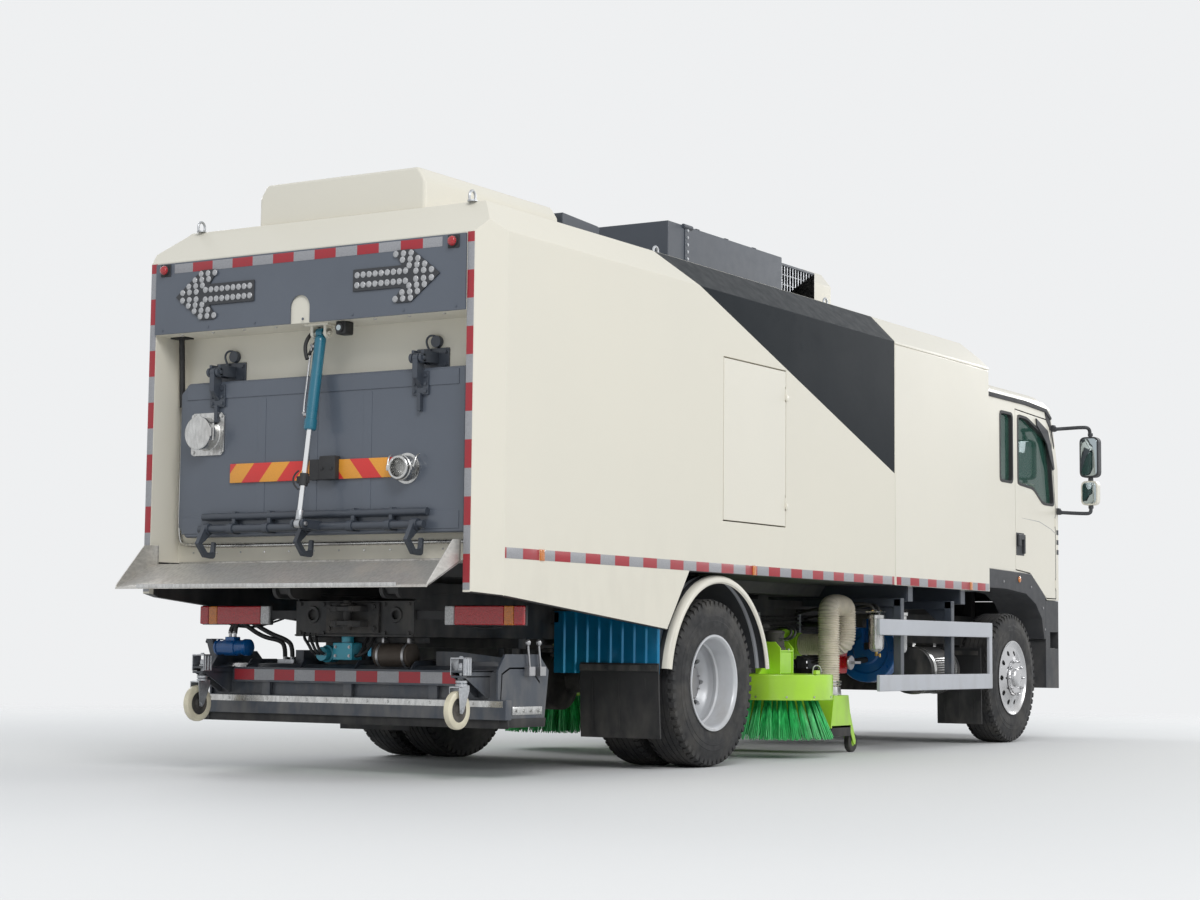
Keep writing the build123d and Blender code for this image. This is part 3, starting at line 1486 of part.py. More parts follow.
def brush_arm():
    x, y = arm_pivot_x, arm_pivot_y
    boss = bar((x, y, arm_z - 70), (x, y, arm_z + 70), 50)
    boss -= bar((x, y, arm_z - 90), (x, y, arm_z + 90), 25 + running_fit)
    dx, dy = brush_x - arm_pivot_x, brush_y - arm_pivot_y
    reach = math.hypot(dx, dy)
    angle = math.degrees(math.atan2(dy, dx))
    beam = Box(reach - 40, 70, 80, align=(Align.MIN, Align.CENTER, Align.CENTER))
    beam = Pos(arm_pivot_x, arm_pivot_y, arm_z) * Rot(0, 0, angle) * (Pos(40, 0, 0) * beam)
    motor = bar((brush_x, brush_y, skirt_top_z - 2), (brush_x, brush_y, arm_z + 60), 75)
    skirt = bar((brush_x, brush_y, skirt_low_z), (brush_x, brush_y, skirt_top_z), brush_radius)
    low_z, room_z = skirt_low_z - 1, skirt_top_z - skirt_sheet
    skirt -= bar((brush_x, brush_y, low_z), (brush_x, brush_y, room_z), brush_radius - skirt_sheet)
    x0, x1 = brush_x - motor_box, brush_x + motor_box
    box = block(x0, x1, brush_y - motor_box, brush_y + motor_box, skirt_top_z, arm_z - 20)
    arm = boss + beam + motor + skirt + box
    arm -= bar((brush_x, brush_y, 500), (brush_x, brush_y, 660), 20 + running_fit)
    return arm


def brush_disc():
    plate = bar((brush_x, brush_y, 420), (brush_x, brush_y, 440), plate_radius)
    plate += bar((brush_x, brush_y, 430), (brush_x, brush_y, 540), 70)
    plate += bar((brush_x, brush_y, 540), (brush_x, brush_y, 650), 20)
    tine = side_plate(
        [
            (plate_radius - 70, 425),
            (plate_radius - 20, 425),
            (brush_radius, brush_tip_z),
            (brush_radius - 60, brush_tip_z),
        ],
        -11,
        11,
    )
    for index in range(tine_count):
        turn = 360 / tine_count * index
        plate += Pos(brush_x, brush_y, 0) * Rot(0, 0, turn) * tine
    return plate


def brush_brackets():
    """The pivot pin and its bracket, which hang from the rail."""
    pin = bar((arm_pivot_x, arm_pivot_y, arm_z - 110), (arm_pivot_x, arm_pivot_y, arm_z + 110), 25)
    x0, x1, y0 = arm_pivot_x - 60, arm_pivot_x + 60, rail_outer_y + seat_gap
    for z in (arm_z - 110, arm_z + 80):
        pin += block(x0 + 10, x1 - 10, y0, arm_pivot_y + 40, z, z + 30)
    pin += block(x0, x1, y0, rail_outer_y + 16, arm_z - 110, arm_z + 110)
    return pin


# Rear sweep unit: hinged frame with hood, roller and two casters
unit_hinge_x = rear_axle_x - 1250
unit_hinge_z = 620
unit_rear_x = rear_axle_x - 2120
unit_half = body_half - 155
roller_x = rear_axle_x - 1900
roller_z = 430
roller_radius = 130
roller_half = unit_half - 165
caster_stem_x = rear_axle_x - 2300
caster_y = unit_half - 171
caster_radius = 105
caster_trail = 39
caster_axle_z = 386
unit_pin_radius = 20
shaft_radius = 25
drive_top_z = 762
drive_motor_radius = 50
drive_motor_reach = 250


def rear_bar():
    x0 = unit_rear_x
    beam = block(x0, x0 + 60, -unit_half, unit_half, 330, 440)
    flap = block(x0 + 20, x0 + 34, -unit_half, unit_half, 282, 331)
    hood = side_plate(
        [
            (x0 + 30, 430),
            (x0 + 40, 585),
            (x0 + 120, 620),
            (x0 + 330, 620),
            (x0 + 430, 540),
            (x0 + 430, 520),
            (x0 + 325, 605),
            (x0 + 125, 605),
            (x0 + 55, 575),
            (x0 + 45, 430),
        ],
        -unit_half + 60,
        unit_half - 60,
    )
    tape_half = unit_half - 265
    tape_beam = block(x0 - 10, x0 + 45, -tape_half, tape_half, 510, 600)
    shape = beam + flap + hood + tape_beam
    for side in (-1, 1):
        y0, y1 = sorted((side * (unit_half - 75), side * (unit_half - 60)))
        plate = side_plate(
            [
                (x0 + 10, 330),
                (x0 + 10, 600),
                (x0 + 80, 690),
                (x0 + 420, 690),
                (x0 + 520, 600),
                (x0 + 480, 330),
            ],
            y0,
            y1,
        )
        plate -= bar((roller_x, y0 - 1, roller_z), (roller_x, y1 + 1, roller_z), shaft_radius + running_fit)
        shape += plate
        y0, y1 = sorted((side * 480, side * 540))
        arm = side_plate(
            [
                (unit_hinge_x, unit_hinge_z - 40),
                (unit_hinge_x, unit_hinge_z + 40),
                (x0 + 330, 700),
                (x0 + 200, 700),
                (x0 + 200, 610),
                (x0 + 330, 610),
            ],
            y0,
            y1,
        )
        x, z = unit_hinge_x, unit_hinge_z
        arm += bar((x, y0, z), (x, y1, z), 45)
        arm -= bar((x, y0 - 1, z), (x, y1 + 1, z), unit_pin_radius + running_fit)
        shape += arm
        y = side * caster_y
        bracket = block(caster_stem_x - 45, x0 + 80, y - 40, y + 40, 560, 600)
        bracket -= bar((caster_stem_x, y, 550), (caster_stem_x, y, 610), 14 + running_fit)
        shape += bracket
    return shape + roller_drive()


def roller_drive():
    """The chain case at the unit's left end, with the motor at its top."""
    x0 = unit_rear_x
    y0, y1 = unit_half - 60, unit_half - 5
    case = side_plate(
        [
            (x0 + 20, drive_top_z),
            (x0 + 130, drive_top_z),
            (roller_x + 60, roller_z + 30),
            (roller_x + 30, roller_z - 50),
            (roller_x - 45, roller_z - 30),
        ],
        y0,
        y1,
    )
    case -= bar((roller_x, y0 - 1, roller_z), (roller_x, y0 + 2, roller_z), shaft_radius + 3)
    motor_x, motor_z = x0 + 78, drive_top_z - drive_motor_radius
    case += bar((motor_x, y0 - drive_motor_reach, motor_z), (motor_x, y0 + 1, motor_z), drive_motor_radius)
    return case


def unit_hangers():
    """Hinge ears for the sweep unit, on a crossbar under the rails."""
    x, z = unit_hinge_x, unit_hinge_z
    shape = block(x - 40, x + 40, -620, 620, rail_bottom_z - 60, rail_bottom_z - seat_gap)
    for side in (-1, 1):
        for offset in (-36, 66):
            y0 = 480 + offset if side > 0 else -(480 + offset + 24)
            ear = block(x - 35, x + 35, y0, y0 + 24, z, rail_bottom_z - 30)
            shape += ear + bar((x, y0, z), (x, y0 + 24, z), 35)
        y0, y1 = sorted((side * 444, side * 570))
        shape += bar((x, y0, z), (x, y1, z), unit_pin_radius)
    return shape


def sweep_roller():
    shaft_half = unit_half - 60
    core = bar((roller_x, -shaft_half, roller_z), (roller_x, shaft_half, roller_z), shaft_radius)
    core += bar((roller_x, -roller_half, roller_z), (roller_x, roller_half, roller_z), 60)
    fin = side_plate(
        [
            (roller_x - 14, roller_z + 40),
            (roller_x + 14, roller_z + 40),
            (roller_x + 20, roller_z + roller_radius),
            (roller_x - 20, roller_z + roller_radius),
        ],
        -roller_half,
        roller_half,
    )
    spin = Axis((roller_x, 0, roller_z), (0, 1, 0))
    for index in range(8):
        core += fin.rotate(spin, 45 * index)
    return core


def caster_fork(side):
    y = side * caster_y
    wheel_x = caster_stem_x - caster_trail
    fork = bar((caster_stem_x, y, 530), (caster_stem_x, y, 640), 14)
    fork += block(wheel_x - 30, caster_stem_x + 30, y - 34, y + 34, 505, 532)
    for offset in (-34, 28):
        fork += side_plate(
            [
                (wheel_x - 18, caster_axle_z - 18),
                (wheel_x + 18, caster_axle_z - 18),
                (caster_stem_x + 30, 510),
                (wheel_x - 28, 510),
            ],
            y + offset,
            y + offset + 6,
        )
    fork += bar((wheel_x, y - 40, caster_axle_z), (wheel_x, y + 40, caster_axle_z), 8)
    return fork


def caster_wheel(side):
    y = side * caster_y
    wheel_x = caster_stem_x - caster_trail
    profile = [
        (-20, 8 + running_fit),
        (-20, caster_radius - 6),
        (-14, caster_radius),
        (14, caster_radius),
        (20, caster_radius - 6),
        (20, 8 + running_fit),
    ]
    return turned(profile, (wheel_x, y, caster_axle_z))


# Write every node
brackets = [tow_plate(), tip_base_bracket(), unit_hangers(), *pair(brush_brackets())]
save("frame_ladder", *frame_ladder(), *brackets, *cab_mounts())
save("subframe", *pair(subframe()))
save("front_axle", front_axle())
save("rear_axle", rear_axle())
save("leaf_springs", *leaf_springs())
save("powertrain", *powertrain())
save("tanks", *tanks())
save("side_guards", *side_guards())
save("rear_fenders", *rear_fenders())
save("mudflaps", *mudflaps(), *splash_sheets())
save("pump_unit", pump_unit())
save("suction_nozzle", suction_nozzle())
save("suction_hose", suction_hose())
save("front_module", *front_module())
save("cab_shell", cab_shell())
save("cab_glass", *cab_glass())
save("cab_interior", *cab_interior())
save("front_bumper", front_bumper())
save("cab_arches", *cab_arches())
save("lamps", *lamps())
save("mirrors", *mirrors())
save("hopper_shell", *hopper_shell())
save("header_panel", header_panel(), arrow_board(-1), arrow_board(1), *header_lamps())
save("roof_hump", roof_hump())
save("roof_boxes", *roof_box())
save("chute", chute())
save("tailgate", tailgate())
save("lock_bar", lock_bar())
save("gate_barrel", gate_barrel())
save("gate_rod", gate_rod())
save("tip_barrels", *pair(tip_barrel()))
save("tip_rods", *pair(tip_rod()))
save("rear_bar", rear_bar())
save("sweep_roller", sweep_roller())

for name, side in (("left", 1), ("right", -1)):
    def sided(shape):
        return shape if side > 0 else mirrored(shape)

    save("knuckle_" + name, sided(knuckle()))
    save("front_tyre_" + name, sided(tyre(front_axle_x, front_wheel_y)))
    save("front_rim_" + name, sided(front_rim()))
    twin = [sided(tyre(rear_axle_x, y)) for y in (rear_inner_y, rear_outer_y)]
    save("rear_tyres_" + name, *twin)
    save("rear_rims_" + name, sided(rear_rims()))
    save("cab_door_" + name, sided(cab_door()))
    save("door_glass_" + name, sided(door_glass()))
    save("service_door_" + name, sided(service_door()))
    save("brush_arm_" + name, sided(brush_arm()))
    save("brush_disc_" + name, sided(brush_disc()))
    save("caster_fork_" + name, caster_fork(side))
    save("caster_wheel_" + name, caster_wheel(side))
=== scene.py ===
import json
import math
import bpy
import bmesh
from mathutils import Matrix, Vector

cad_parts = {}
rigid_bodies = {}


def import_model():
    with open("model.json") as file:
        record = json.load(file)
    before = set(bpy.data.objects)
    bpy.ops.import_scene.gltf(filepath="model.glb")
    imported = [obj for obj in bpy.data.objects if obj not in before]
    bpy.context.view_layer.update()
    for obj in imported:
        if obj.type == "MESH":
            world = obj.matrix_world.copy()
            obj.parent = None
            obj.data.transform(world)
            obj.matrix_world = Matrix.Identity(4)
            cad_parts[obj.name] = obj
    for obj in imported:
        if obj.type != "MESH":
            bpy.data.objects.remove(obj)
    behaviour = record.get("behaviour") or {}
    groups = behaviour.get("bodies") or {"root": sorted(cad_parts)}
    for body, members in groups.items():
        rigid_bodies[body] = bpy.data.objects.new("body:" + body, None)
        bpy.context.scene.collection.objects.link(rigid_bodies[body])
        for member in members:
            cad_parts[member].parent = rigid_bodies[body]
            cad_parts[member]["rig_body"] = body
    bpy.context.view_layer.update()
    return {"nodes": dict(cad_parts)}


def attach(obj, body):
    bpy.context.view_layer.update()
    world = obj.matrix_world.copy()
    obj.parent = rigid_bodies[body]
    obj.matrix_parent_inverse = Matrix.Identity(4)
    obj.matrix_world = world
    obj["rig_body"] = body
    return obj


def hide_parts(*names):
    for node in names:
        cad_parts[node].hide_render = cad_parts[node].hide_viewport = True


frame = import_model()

scene = bpy.context.scene
up = Vector((0, 0, 1))
across = Vector((0, 1, 0))
along = Vector((1, 0, 0))

# places shared by many pieces, in metres
truck = {
    "rearAxleX": -1.855,
    "frontAxleX": 3.245,
    "axleZ": 0.52,
    "railY": 0.4253,  # just outside the frame rail
    "bodyRearX": -4.425,
    "seamX": 0.797,
    "bodyHalf": 1.25,
    "bodyBottomZ": 1.2,
    "edgeZ": 2.974,
    "roofZ": 3.17,
}
rearX, frontX, backX = truck["rearAxleX"], truck["frontAxleX"], truck["bodyRearX"]
axleZ, railY = truck["axleZ"], truck["railY"]
railOut = railY + 0.0002
sides = (("Right", -1), ("Left", 1))

# camera, light and floor
cameraSettings = {
    "place": (-14.379, -8.107, 0.733),
    "yaw": 31.7,
    "pitch": 5.18,
    "roll": 0.568,
    "lens": 68.577,
    "shiftY": -0.00828,
}


def makeCamera(settings):
    yaw, pitch, roll = (math.radians(settings[key]) for key in ("yaw", "pitch", "roll"))
    forward = Vector((math.cos(yaw) * math.cos(pitch), math.sin(yaw) * math.cos(pitch), math.sin(pitch)))
    right = Vector((math.sin(yaw), -math.cos(yaw), 0))
    top = right.cross(forward)
    tiltedRight = math.cos(roll) * right + math.sin(roll) * top
    tiltedTop = -math.sin(roll) * right + math.cos(roll) * top
    data = bpy.data.cameras.new("camera")
    data.lens = settings["lens"]
    data.shift_y = settings["shiftY"]
    data.clip_end = 500
    camera = bpy.data.objects.new("camera", data)
    scene.collection.objects.link(camera)
    turn = Matrix((tiltedRight, tiltedTop, -forward)).transposed().to_4x4()
    camera.matrix_world = Matrix.Translation(settings["place"]) @ turn
    scene.camera = camera


def makeLamp(name, place, target, size, power):
    data = bpy.data.lights.new(name, "AREA")
    data.shape = "DISK"
    data.size = size
    data.energy = power
    lamp = bpy.data.objects.new(name, data)
    scene.collection.objects.link(lamp)
    lamp.location = place
    lamp.rotation_mode = "QUATERNION"
    lamp.rotation_quaternion = (Vector(target) - Vector(place)).to_track_quat("-Z", "Y")


studio = {
    "skyLight": (0.9, 0.95, 1.0),
    "skyStrength": 0.56,
    "backdrop": (0.86, 0.87, 0.88),
    "floorColour": (0.74, 0.74, 0.735),
    "floorRadius": 60,
    "fadeFrom": 6.0,
    "fadeTo": 14,
}


def makeStudio(settings):
    world = bpy.data.worlds.new("studio")
    scene.world = world
    world.use_nodes = True
    tree = world.node_tree
    tree.nodes.clear()
    out = tree.nodes.new("ShaderNodeOutputWorld")
    light = tree.nodes.new("ShaderNodeBackground")
    light.inputs["Color"].default_value = (*settings["skyLight"], 1)
    light.inputs["Strength"].default_value = settings["skyStrength"]
    seen = tree.nodes.new("ShaderNodeBackground")
    seen.inputs["Color"].default_value = (*settings["backdrop"], 1)
    rays = tree.nodes.new("ShaderNodeLightPath")
    pair = tree.nodes.new("ShaderNodeMath")
    pair.operation = "MAXIMUM"
    tree.links.new(rays.outputs["Is Camera Ray"], pair.inputs[0])
    tree.links.new(rays.outputs["Is Transmission Ray"], pair.inputs[1])
    either = tree.nodes.new("ShaderNodeMath")
    either.operation = "MAXIMUM"
    tree.links.new(pair.outputs[0], either.inputs[0])
    tree.links.new(rays.outputs["Is Glossy Ray"], either.inputs[1])
    mix = tree.nodes.new("ShaderNodeMixShader")
    tree.links.new(either.outputs[0], mix.inputs[0])
    tree.links.new(light.outputs[0], mix.inputs[1])
    tree.links.new(seen.outputs[0], mix.inputs[2])
    tree.links.new(mix.outputs[0], out.inputs[0])

    bm = bmesh.new()
    bmesh.ops.create_circle(bm, cap_ends=True, segments=64, radius=settings["floorRadius"])
    mesh = bpy.data.meshes.new("floor")
    bm.to_mesh(mesh)
    bm.free()
    floor = bpy.data.objects.new("floor", mesh)
    scene.collection.objects.link(floor)
    material = bpy.data.materials.new("floorPale")
    material.use_nodes = True
    tree = material.node_tree
    shader = tree.nodes["Principled BSDF"]
    shader.inputs["Base Color"].default_value = (*settings["floorColour"], 1)
    shader.inputs["Roughness"].default_value = 0.75
    place = tree.nodes.new("ShaderNodeTexCoord")
    span = tree.nodes.new("ShaderNodeVectorMath")
    span.operation = "LENGTH"
    fade = tree.nodes.new("ShaderNodeMapRange")
    fade.interpolation_type = "SMOOTHSTEP"
    fade.inputs["From Min"].default_value = settings["fadeFrom"]
    fade.inputs["From Max"].default_value = settings["fadeTo"]
    clear = tree.nodes.new("ShaderNodeBsdfTransparent")
    mix = tree.nodes.new("ShaderNodeMixShader")
    tree.links.new(place.outputs["Object"], span.inputs[0])
    tree.links.new(span.outputs["Value"], fade.inputs["Value"])
    tree.links.new(fade.outputs["Result"], mix.inputs[0])
    tree.links.new(shader.outputs[0], mix.inputs[1])
    tree.links.new(clear.outputs[0], mix.inputs[2])
    tree.links.new(mix.outputs[0], tree.nodes["Material Output"].inputs[0])
    mesh.materials.append(material)
    scene.view_settings.view_transform = "Standard"
    makeLamp("keyLamp", (-13, -9, 11), (-0.5, 0, 1.4), 7, 1050)
    makeLamp("sideLamp", (5, -14, 7), (0, 0, 1.2), 6, 520)
    makeLamp("farLamp", (4, 13, 9), (0, 0, 1.5), 7, 560)
    makeLamp("noseLamp", (15, -2, 6), (2, 0, 1.5), 5, 420)


makeCamera(cameraSettings)
makeStudio(studio)
print("camera and studio ready")

# finishes
finishes = {}


def newFinish(name, colour, roughness=0.5, metallic=0.0, coat=0.0):
    material = bpy.data.materials.new(name)
    material.use_nodes = True
    shader = material.node_tree.nodes["Principled BSDF"]
    shader.inputs["Base Color"].default_value = (*colour, 1)
    shader.inputs["Roughness"].default_value = roughness
    shader.inputs["Metallic"].default_value = metallic
    shader.inputs["Coat Weight"].default_value = coat
    shader.inputs["Coat Roughness"].default_value = 0.12
    material.diffuse_color = (*colour, 1)
    finishes[name] = material
    return material.node_tree, shader


def feed(node, socket, output):
    node.id_data.links.new(output, node.inputs[socket])


def addNode(tree, kind, links=(), **values):
    # links pairs an input's name or number with the output that feeds it; values are the node's settings
    node = tree.nodes.new(kind)
    for key, output in links:
        tree.links.new(output, node.inputs[key])
    for key, value in values.items():
        setattr(node, key, value)
    return node


def objectPlace(tree):
    for node in tree.nodes:
        if node.type == "TEX_COORD":
            return node.outputs["Object"]
    return tree.nodes.new("ShaderNodeTexCoord").outputs["Object"]


def noise(tree, scale, detail=3.0, stretch=(1, 1, 1)):
    mapping = addNode(tree, "ShaderNodeMapping", [("Vector", objectPlace(tree))])
    mapping.inputs["Scale"].default_value = stretch
    texture = addNode(tree, "ShaderNodeTexNoise", [("Vector", mapping.outputs[0])])
    texture.inputs["Scale"].default_value = scale
    texture.inputs["Detail"].default_value = detail
    return texture.outputs["Fac"]


def ranged(tree, value, low, high, toLow=0.0, toHigh=1.0):
    node = addNode(tree, "ShaderNodeMapRange", [("Value", value)])
    for key, number in (("From Min", low), ("From Max", high), ("To Min", toLow), ("To Max", toHigh)):
        node.inputs[key].default_value = number
    return node.outputs["Result"]


def maths(tree, operation, first, second=None, clamp=False):
    node = tree.nodes.new("ShaderNodeMath")
    node.operation = operation
    node.use_clamp = clamp
    for place, value in enumerate((first, second)):
        if value is None:
            continue
        if isinstance(value, (int, float)):
            node.inputs[place].default_value = value
        else:
            tree.links.new(value, node.inputs[place])
    return node.outputs[0]


def mixColour(tree, factor, first, second):
    node = tree.nodes.new("ShaderNodeMix")
    node.data_type = "RGBA"
    tree.links.new(factor, node.inputs["Factor"])
    for socket, value in ((node.inputs[6], first), (node.inputs[7], second)):
        if isinstance(value, (tuple, list)):
            socket.default_value = (*value, 1)
        else:
            tree.links.new(value, socket)
    return node.outputs[2]


def bump(tree, height, strength, distance, normal=None):
    node = addNode(tree, "ShaderNodeBump", [("Height", height)])
    node.inputs["Strength"].default_value = strength
    node.inputs["Distance"].default_value = distance
    if normal is not None:
        tree.links.new(normal, node.inputs["Normal"])
    return node.outputs[0]


def axes(tree):
    node = addNode(tree, "ShaderNodeSeparateXYZ", [("Vector", objectPlace(tree))])
    return node.outputs["X"], node.outputs["Y"], node.outputs["Z"]


def weather(name, colour, roughness=0.45, metallic=0.0, coat=0.0, second=None, mottle=2.0, mottleShare=0.6,
        dust=(0.32, 0.29, 0.25), dustTop=0.9, dustShare=0.35, grain=180.0, grainBump=0.06, waves=0.0,
        roughSpread=0.12, pattern=None):
    # the shared recipe: two tones, road dust that thickens downwards, uneven gloss and a fine surface; on
    # the splash sheets the lighter tone is a painted highlight
    tree, shader = newFinish(name, colour, roughness, metallic, coat)
    second = second or tuple(channel * 0.86 for channel in colour)
    patches = ranged(tree, noise(tree, mottle, 4), 0.38, 0.68, 0, mottleShare)
    base = mixColour(tree, patches, colour, second)
    if pattern:
        base = pattern(tree, base)
    height = axes(tree)[2]
    low = ranged(tree, height, dustTop, 0.1, 0, 1)
    speckle = ranged(tree, noise(tree, 9, 6, (1, 1, 0.45)), 0.42, 0.72, 0, 1)
    dirt = maths(tree, "MULTIPLY", maths(tree, "MULTIPLY", low, speckle), dustShare, clamp=True)
    feed(shader, "Base Color", mixColour(tree, dirt, base, dust))
    uneven = ranged(tree, noise(tree, 14, 5), 0.3, 0.7, roughness - roughSpread / 2,
        roughness + roughSpread / 2)
    feed(shader, "Roughness", maths(tree, "ADD", uneven, maths(tree, "MULTIPLY", dirt, 0.5), clamp=True))
    normal = bump(tree, noise(tree, grain, 2), grainBump, 0.002)
    if waves:
        normal = bump(tree, noise(tree, 1.7, 1), waves, 0.03, normal)
    feed(shader, "Normal", normal)


graphic = {
    "colour": (0.004, 0.008, 0.012),
    "startX": -2.11,
    "startZ": 2.974,
    "tipX": 0.76,
    "tipZ": 2.017,
    "frontX": 0.788,
    "roofX": -2.355,
    "roofZ": 3.16,
}


def sideGraphic(tree, base):
    # the dark wedge on both sides: above the slanted line, behind the seam, and off the roof and the rear
    x, y, z = axes(tree)
    slope = (graphic["tipZ"] - graphic["startZ"]) / (graphic["tipX"] - graphic["startX"])
    line = maths(tree, "ADD", maths(tree, "MULTIPLY", maths(tree, "SUBTRACT", x, graphic["startX"]), slope),
        graphic["startZ"])
    aboveLine = maths(tree, "GREATER_THAN", z, line)
    behindSeam = maths(tree, "LESS_THAN", x, graphic["frontX"])
    chamferSlope = (graphic["roofX"] - graphic["startX"]) / (graphic["roofZ"] - graphic["startZ"])
    edge = maths(tree, "ADD", maths(tree, "MULTIPLY", maths(tree, "SUBTRACT", z, graphic["startZ"]),
        chamferSlope), graphic["startX"])
    aheadOfEdge = maths(tree, "GREATER_THAN", x, edge)
    offRoof = maths(tree, "GREATER_THAN", maths(tree, "ABSOLUTE", y), 1.062)
    mask = maths(tree, "MULTIPLY", maths(tree, "MULTIPLY", aboveLine, behindSeam),
        maths(tree, "MULTIPLY", aheadOfEdge, offRoof))
    return mixColour(tree, mask, base, graphic["colour"])


def tapeFinish(name, axis, pitch, phase, first, second, share=0.5):
    # reflective tape: blocks of two colours with a fine cell pattern
    tree, shader = newFinish(name, first, 0.35)
    place = axes(tree)[axis]
    cycle = maths(tree, "FRACT", maths(tree, "DIVIDE", maths(tree, "ADD", place, phase), pitch))
    block = maths(tree, "GREATER_THAN", cycle, share)
    cells = addNode(tree, "ShaderNodeTexVoronoi", [("Vector", objectPlace(tree))])
    cells.inputs["Scale"].default_value = 230
    shade = ranged(tree, cells.outputs["Distance"], 0, 0.6, 0, 0.35)
    base = mixColour(tree, block, first, second)
    feed(shader, "Base Color", mixColour(tree, shade, base, (0.06, 0.06, 0.065)))
    feed(shader, "Normal", bump(tree, cells.outputs["Distance"], 0.25, 0.001))


def chevronFinish():
    tree, shader = newFinish("chevronBoard", (0.83, 0.045, 0.045), 0.3)
    y, z = axes(tree)[1:]
    leaning = maths(tree, "ADD", maths(tree, "ABSOLUTE", maths(tree, "SUBTRACT", y, 0.03)),
        maths(tree, "MULTIPLY", z, 0.85))
    cycle = maths(tree, "FRACT", maths(tree, "DIVIDE", maths(tree, "ADD", leaning, 0.055), 0.262))
    stripe = maths(tree, "GREATER_THAN", cycle, 0.5)
    cells = addNode(tree, "ShaderNodeTexVoronoi", [("Vector", objectPlace(tree))])
    cells.inputs["Scale"].default_value = 260
    shade = ranged(tree, cells.outputs["Distance"], 0, 0.6, 0, 0.22)
    base = mixColour(tree, stripe, (0.8, 0.04, 0.04), (0.96, 0.42, 0.05))
    feed(shader, "Base Color", mixColour(tree, shade, base, (0.2, 0.05, 0.03)))
    feed(shader, "Normal", bump(tree, cells.outputs["Distance"], 0.2, 0.001))


def brushedFinish(name, colour, roughness, stretch, scratches=0.3, stain=(0.3, 0.26, 0.22), stainShare=0.5):
    # bare stainless sheet: fine lines along one way, stains and dents
    tree, shader = newFinish(name, colour, roughness, 1.0)
    lines = noise(tree, 60, 4, stretch)
    spots = ranged(tree, noise(tree, 5, 6), 0.5, 0.72, 0, stainShare)
    deep = tuple(channel * 0.72 for channel in colour)
    tone = mixColour(tree, ranged(tree, lines, 0.3, 0.7), colour, deep)
    feed(shader, "Base Color", mixColour(tree, spots, tone, stain))
    rough = maths(tree, "ADD", ranged(tree, lines, 0.25, 0.75, roughness - 0.08, roughness + 0.1),
        maths(tree, "MULTIPLY", spots, 0.4), clamp=True)
    feed(shader, "Roughness", rough)
    normal = bump(tree, lines, scratches, 0.0006)
    feed(shader, "Normal", bump(tree, noise(tree, 3, 2), 0.25, 0.02, normal))


def zincFinish():
    tree, shader = newFinish("zinc", (0.52, 0.54, 0.56), 0.42, 0.9)
    flakes = addNode(tree, "ShaderNodeTexVoronoi", [("Vector", objectPlace(tree))])
    flakes.inputs["Scale"].default_value = 90
    tone = ranged(tree, flakes.outputs["Color"], 0, 1, 0, 0.8)
    feed(shader, "Base Color", mixColour(tree, tone, (0.56, 0.57, 0.59), (0.38, 0.4, 0.42)))
    feed(shader, "Roughness", ranged(tree, noise(tree, 30, 4), 0.3, 0.7, 0.32, 0.55))


def tyreFinish():
    tree, shader = newFinish("tyreRubber", (0.022, 0.022, 0.023), 0.78)
    dusty = ranged(tree, noise(tree, 7, 6), 0.42, 0.7, 0, 0.5)
    feed(shader, "Base Color", mixColour(tree, dusty, (0.021, 0.021, 0.022), (0.085, 0.078, 0.068)))
    feed(shader, "Roughness", ranged(tree, noise(tree, 25, 4), 0.3, 0.7, 0.66, 0.9))
    feed(shader, "Normal", bump(tree, noise(tree, 220, 3), 0.2, 0.0015))


def glassFinish(name, colour, clearness):
    tree, shader = newFinish(name, colour, 0.03)
    shader.inputs["IOR"].default_value = 1.5
    shader.inputs["Alpha"].default_value = clearness
    feed(shader, "Normal", bump(tree, noise(tree, 2.2, 1), 0.03, 0.01))
    film = ranged(tree, noise(tree, 6, 5), 0.45, 0.75, 0, 0.25)
    hazy = tuple(min(1, channel + 0.08) for channel in colour)
    feed(shader, "Base Color", mixColour(tree, film, colour, hazy))


def lensFinish(name, colour):
    tree, shader = newFinish(name, colour, 0.12, 0, 0.6)
    ribs = addNode(tree, "ShaderNodeTexVoronoi", [("Vector", objectPlace(tree))])
    ribs.inputs["Scale"].default_value = 110
    shade = ranged(tree, ribs.outputs["Distance"], 0, 0.7, 0, 0.5)
    feed(shader, "Base Color", mixColour(tree, shade, colour, tuple(channel * 0.35 for channel in colour)))
    feed(shader, "Normal", bump(tree, ribs.outputs["Distance"], 0.5, 0.003))


def hoseFinish(name, colour):
    tree, shader = newFinish(name, colour, 0.6)
    patches = ranged(tree, noise(tree, 12, 5), 0.4, 0.7, 0, 0.7)
    feed(shader, "Base Color", mixColour(tree, patches, colour, tuple(channel * 0.7 for channel in colour)))
    feed(shader, "Roughness", ranged(tree, noise(tree, 40, 4), 0.3, 0.7, 0.42, 0.75))
    feed(shader, "Normal", bump(tree, noise(tree, 160, 3), 0.25, 0.001))


def bristleFinish():
    tree, shader = newFinish("greenBristle", (0.02, 0.33, 0.07), 0.42)
    strands = noise(tree, 55, 3, (1, 1, 0.12))
    height = axes(tree)[2]
    worn = ranged(tree, height, 0.24, 0.12, 0, 0.6)
    tone = mixColour(tree, ranged(tree, strands, 0.3, 0.7), (0.012, 0.3, 0.06), (0.05, 0.66, 0.17))
    feed(shader, "Base Color", mixColour(tree, worn, tone, (0.1, 0.46, 0.17)))


def meshFabric(name, colour):
    tree, shader = newFinish(name, colour, 0.85)
    shader.inputs["Sheen Weight"].default_value = 0.4
    weave = addNode(tree, "ShaderNodeTexVoronoi", [("Vector", objectPlace(tree))])
    weave.inputs["Scale"].default_value = 420
    tone = ranged(tree, weave.outputs["Distance"], 0.1, 0.6)
    feed(shader, "Base Color", mixColour(tree, tone, colour, tuple(channel * 1.8 for channel in colour)))
    feed(shader, "Normal", bump(tree, weave.outputs["Distance"], 0.4, 0.001))


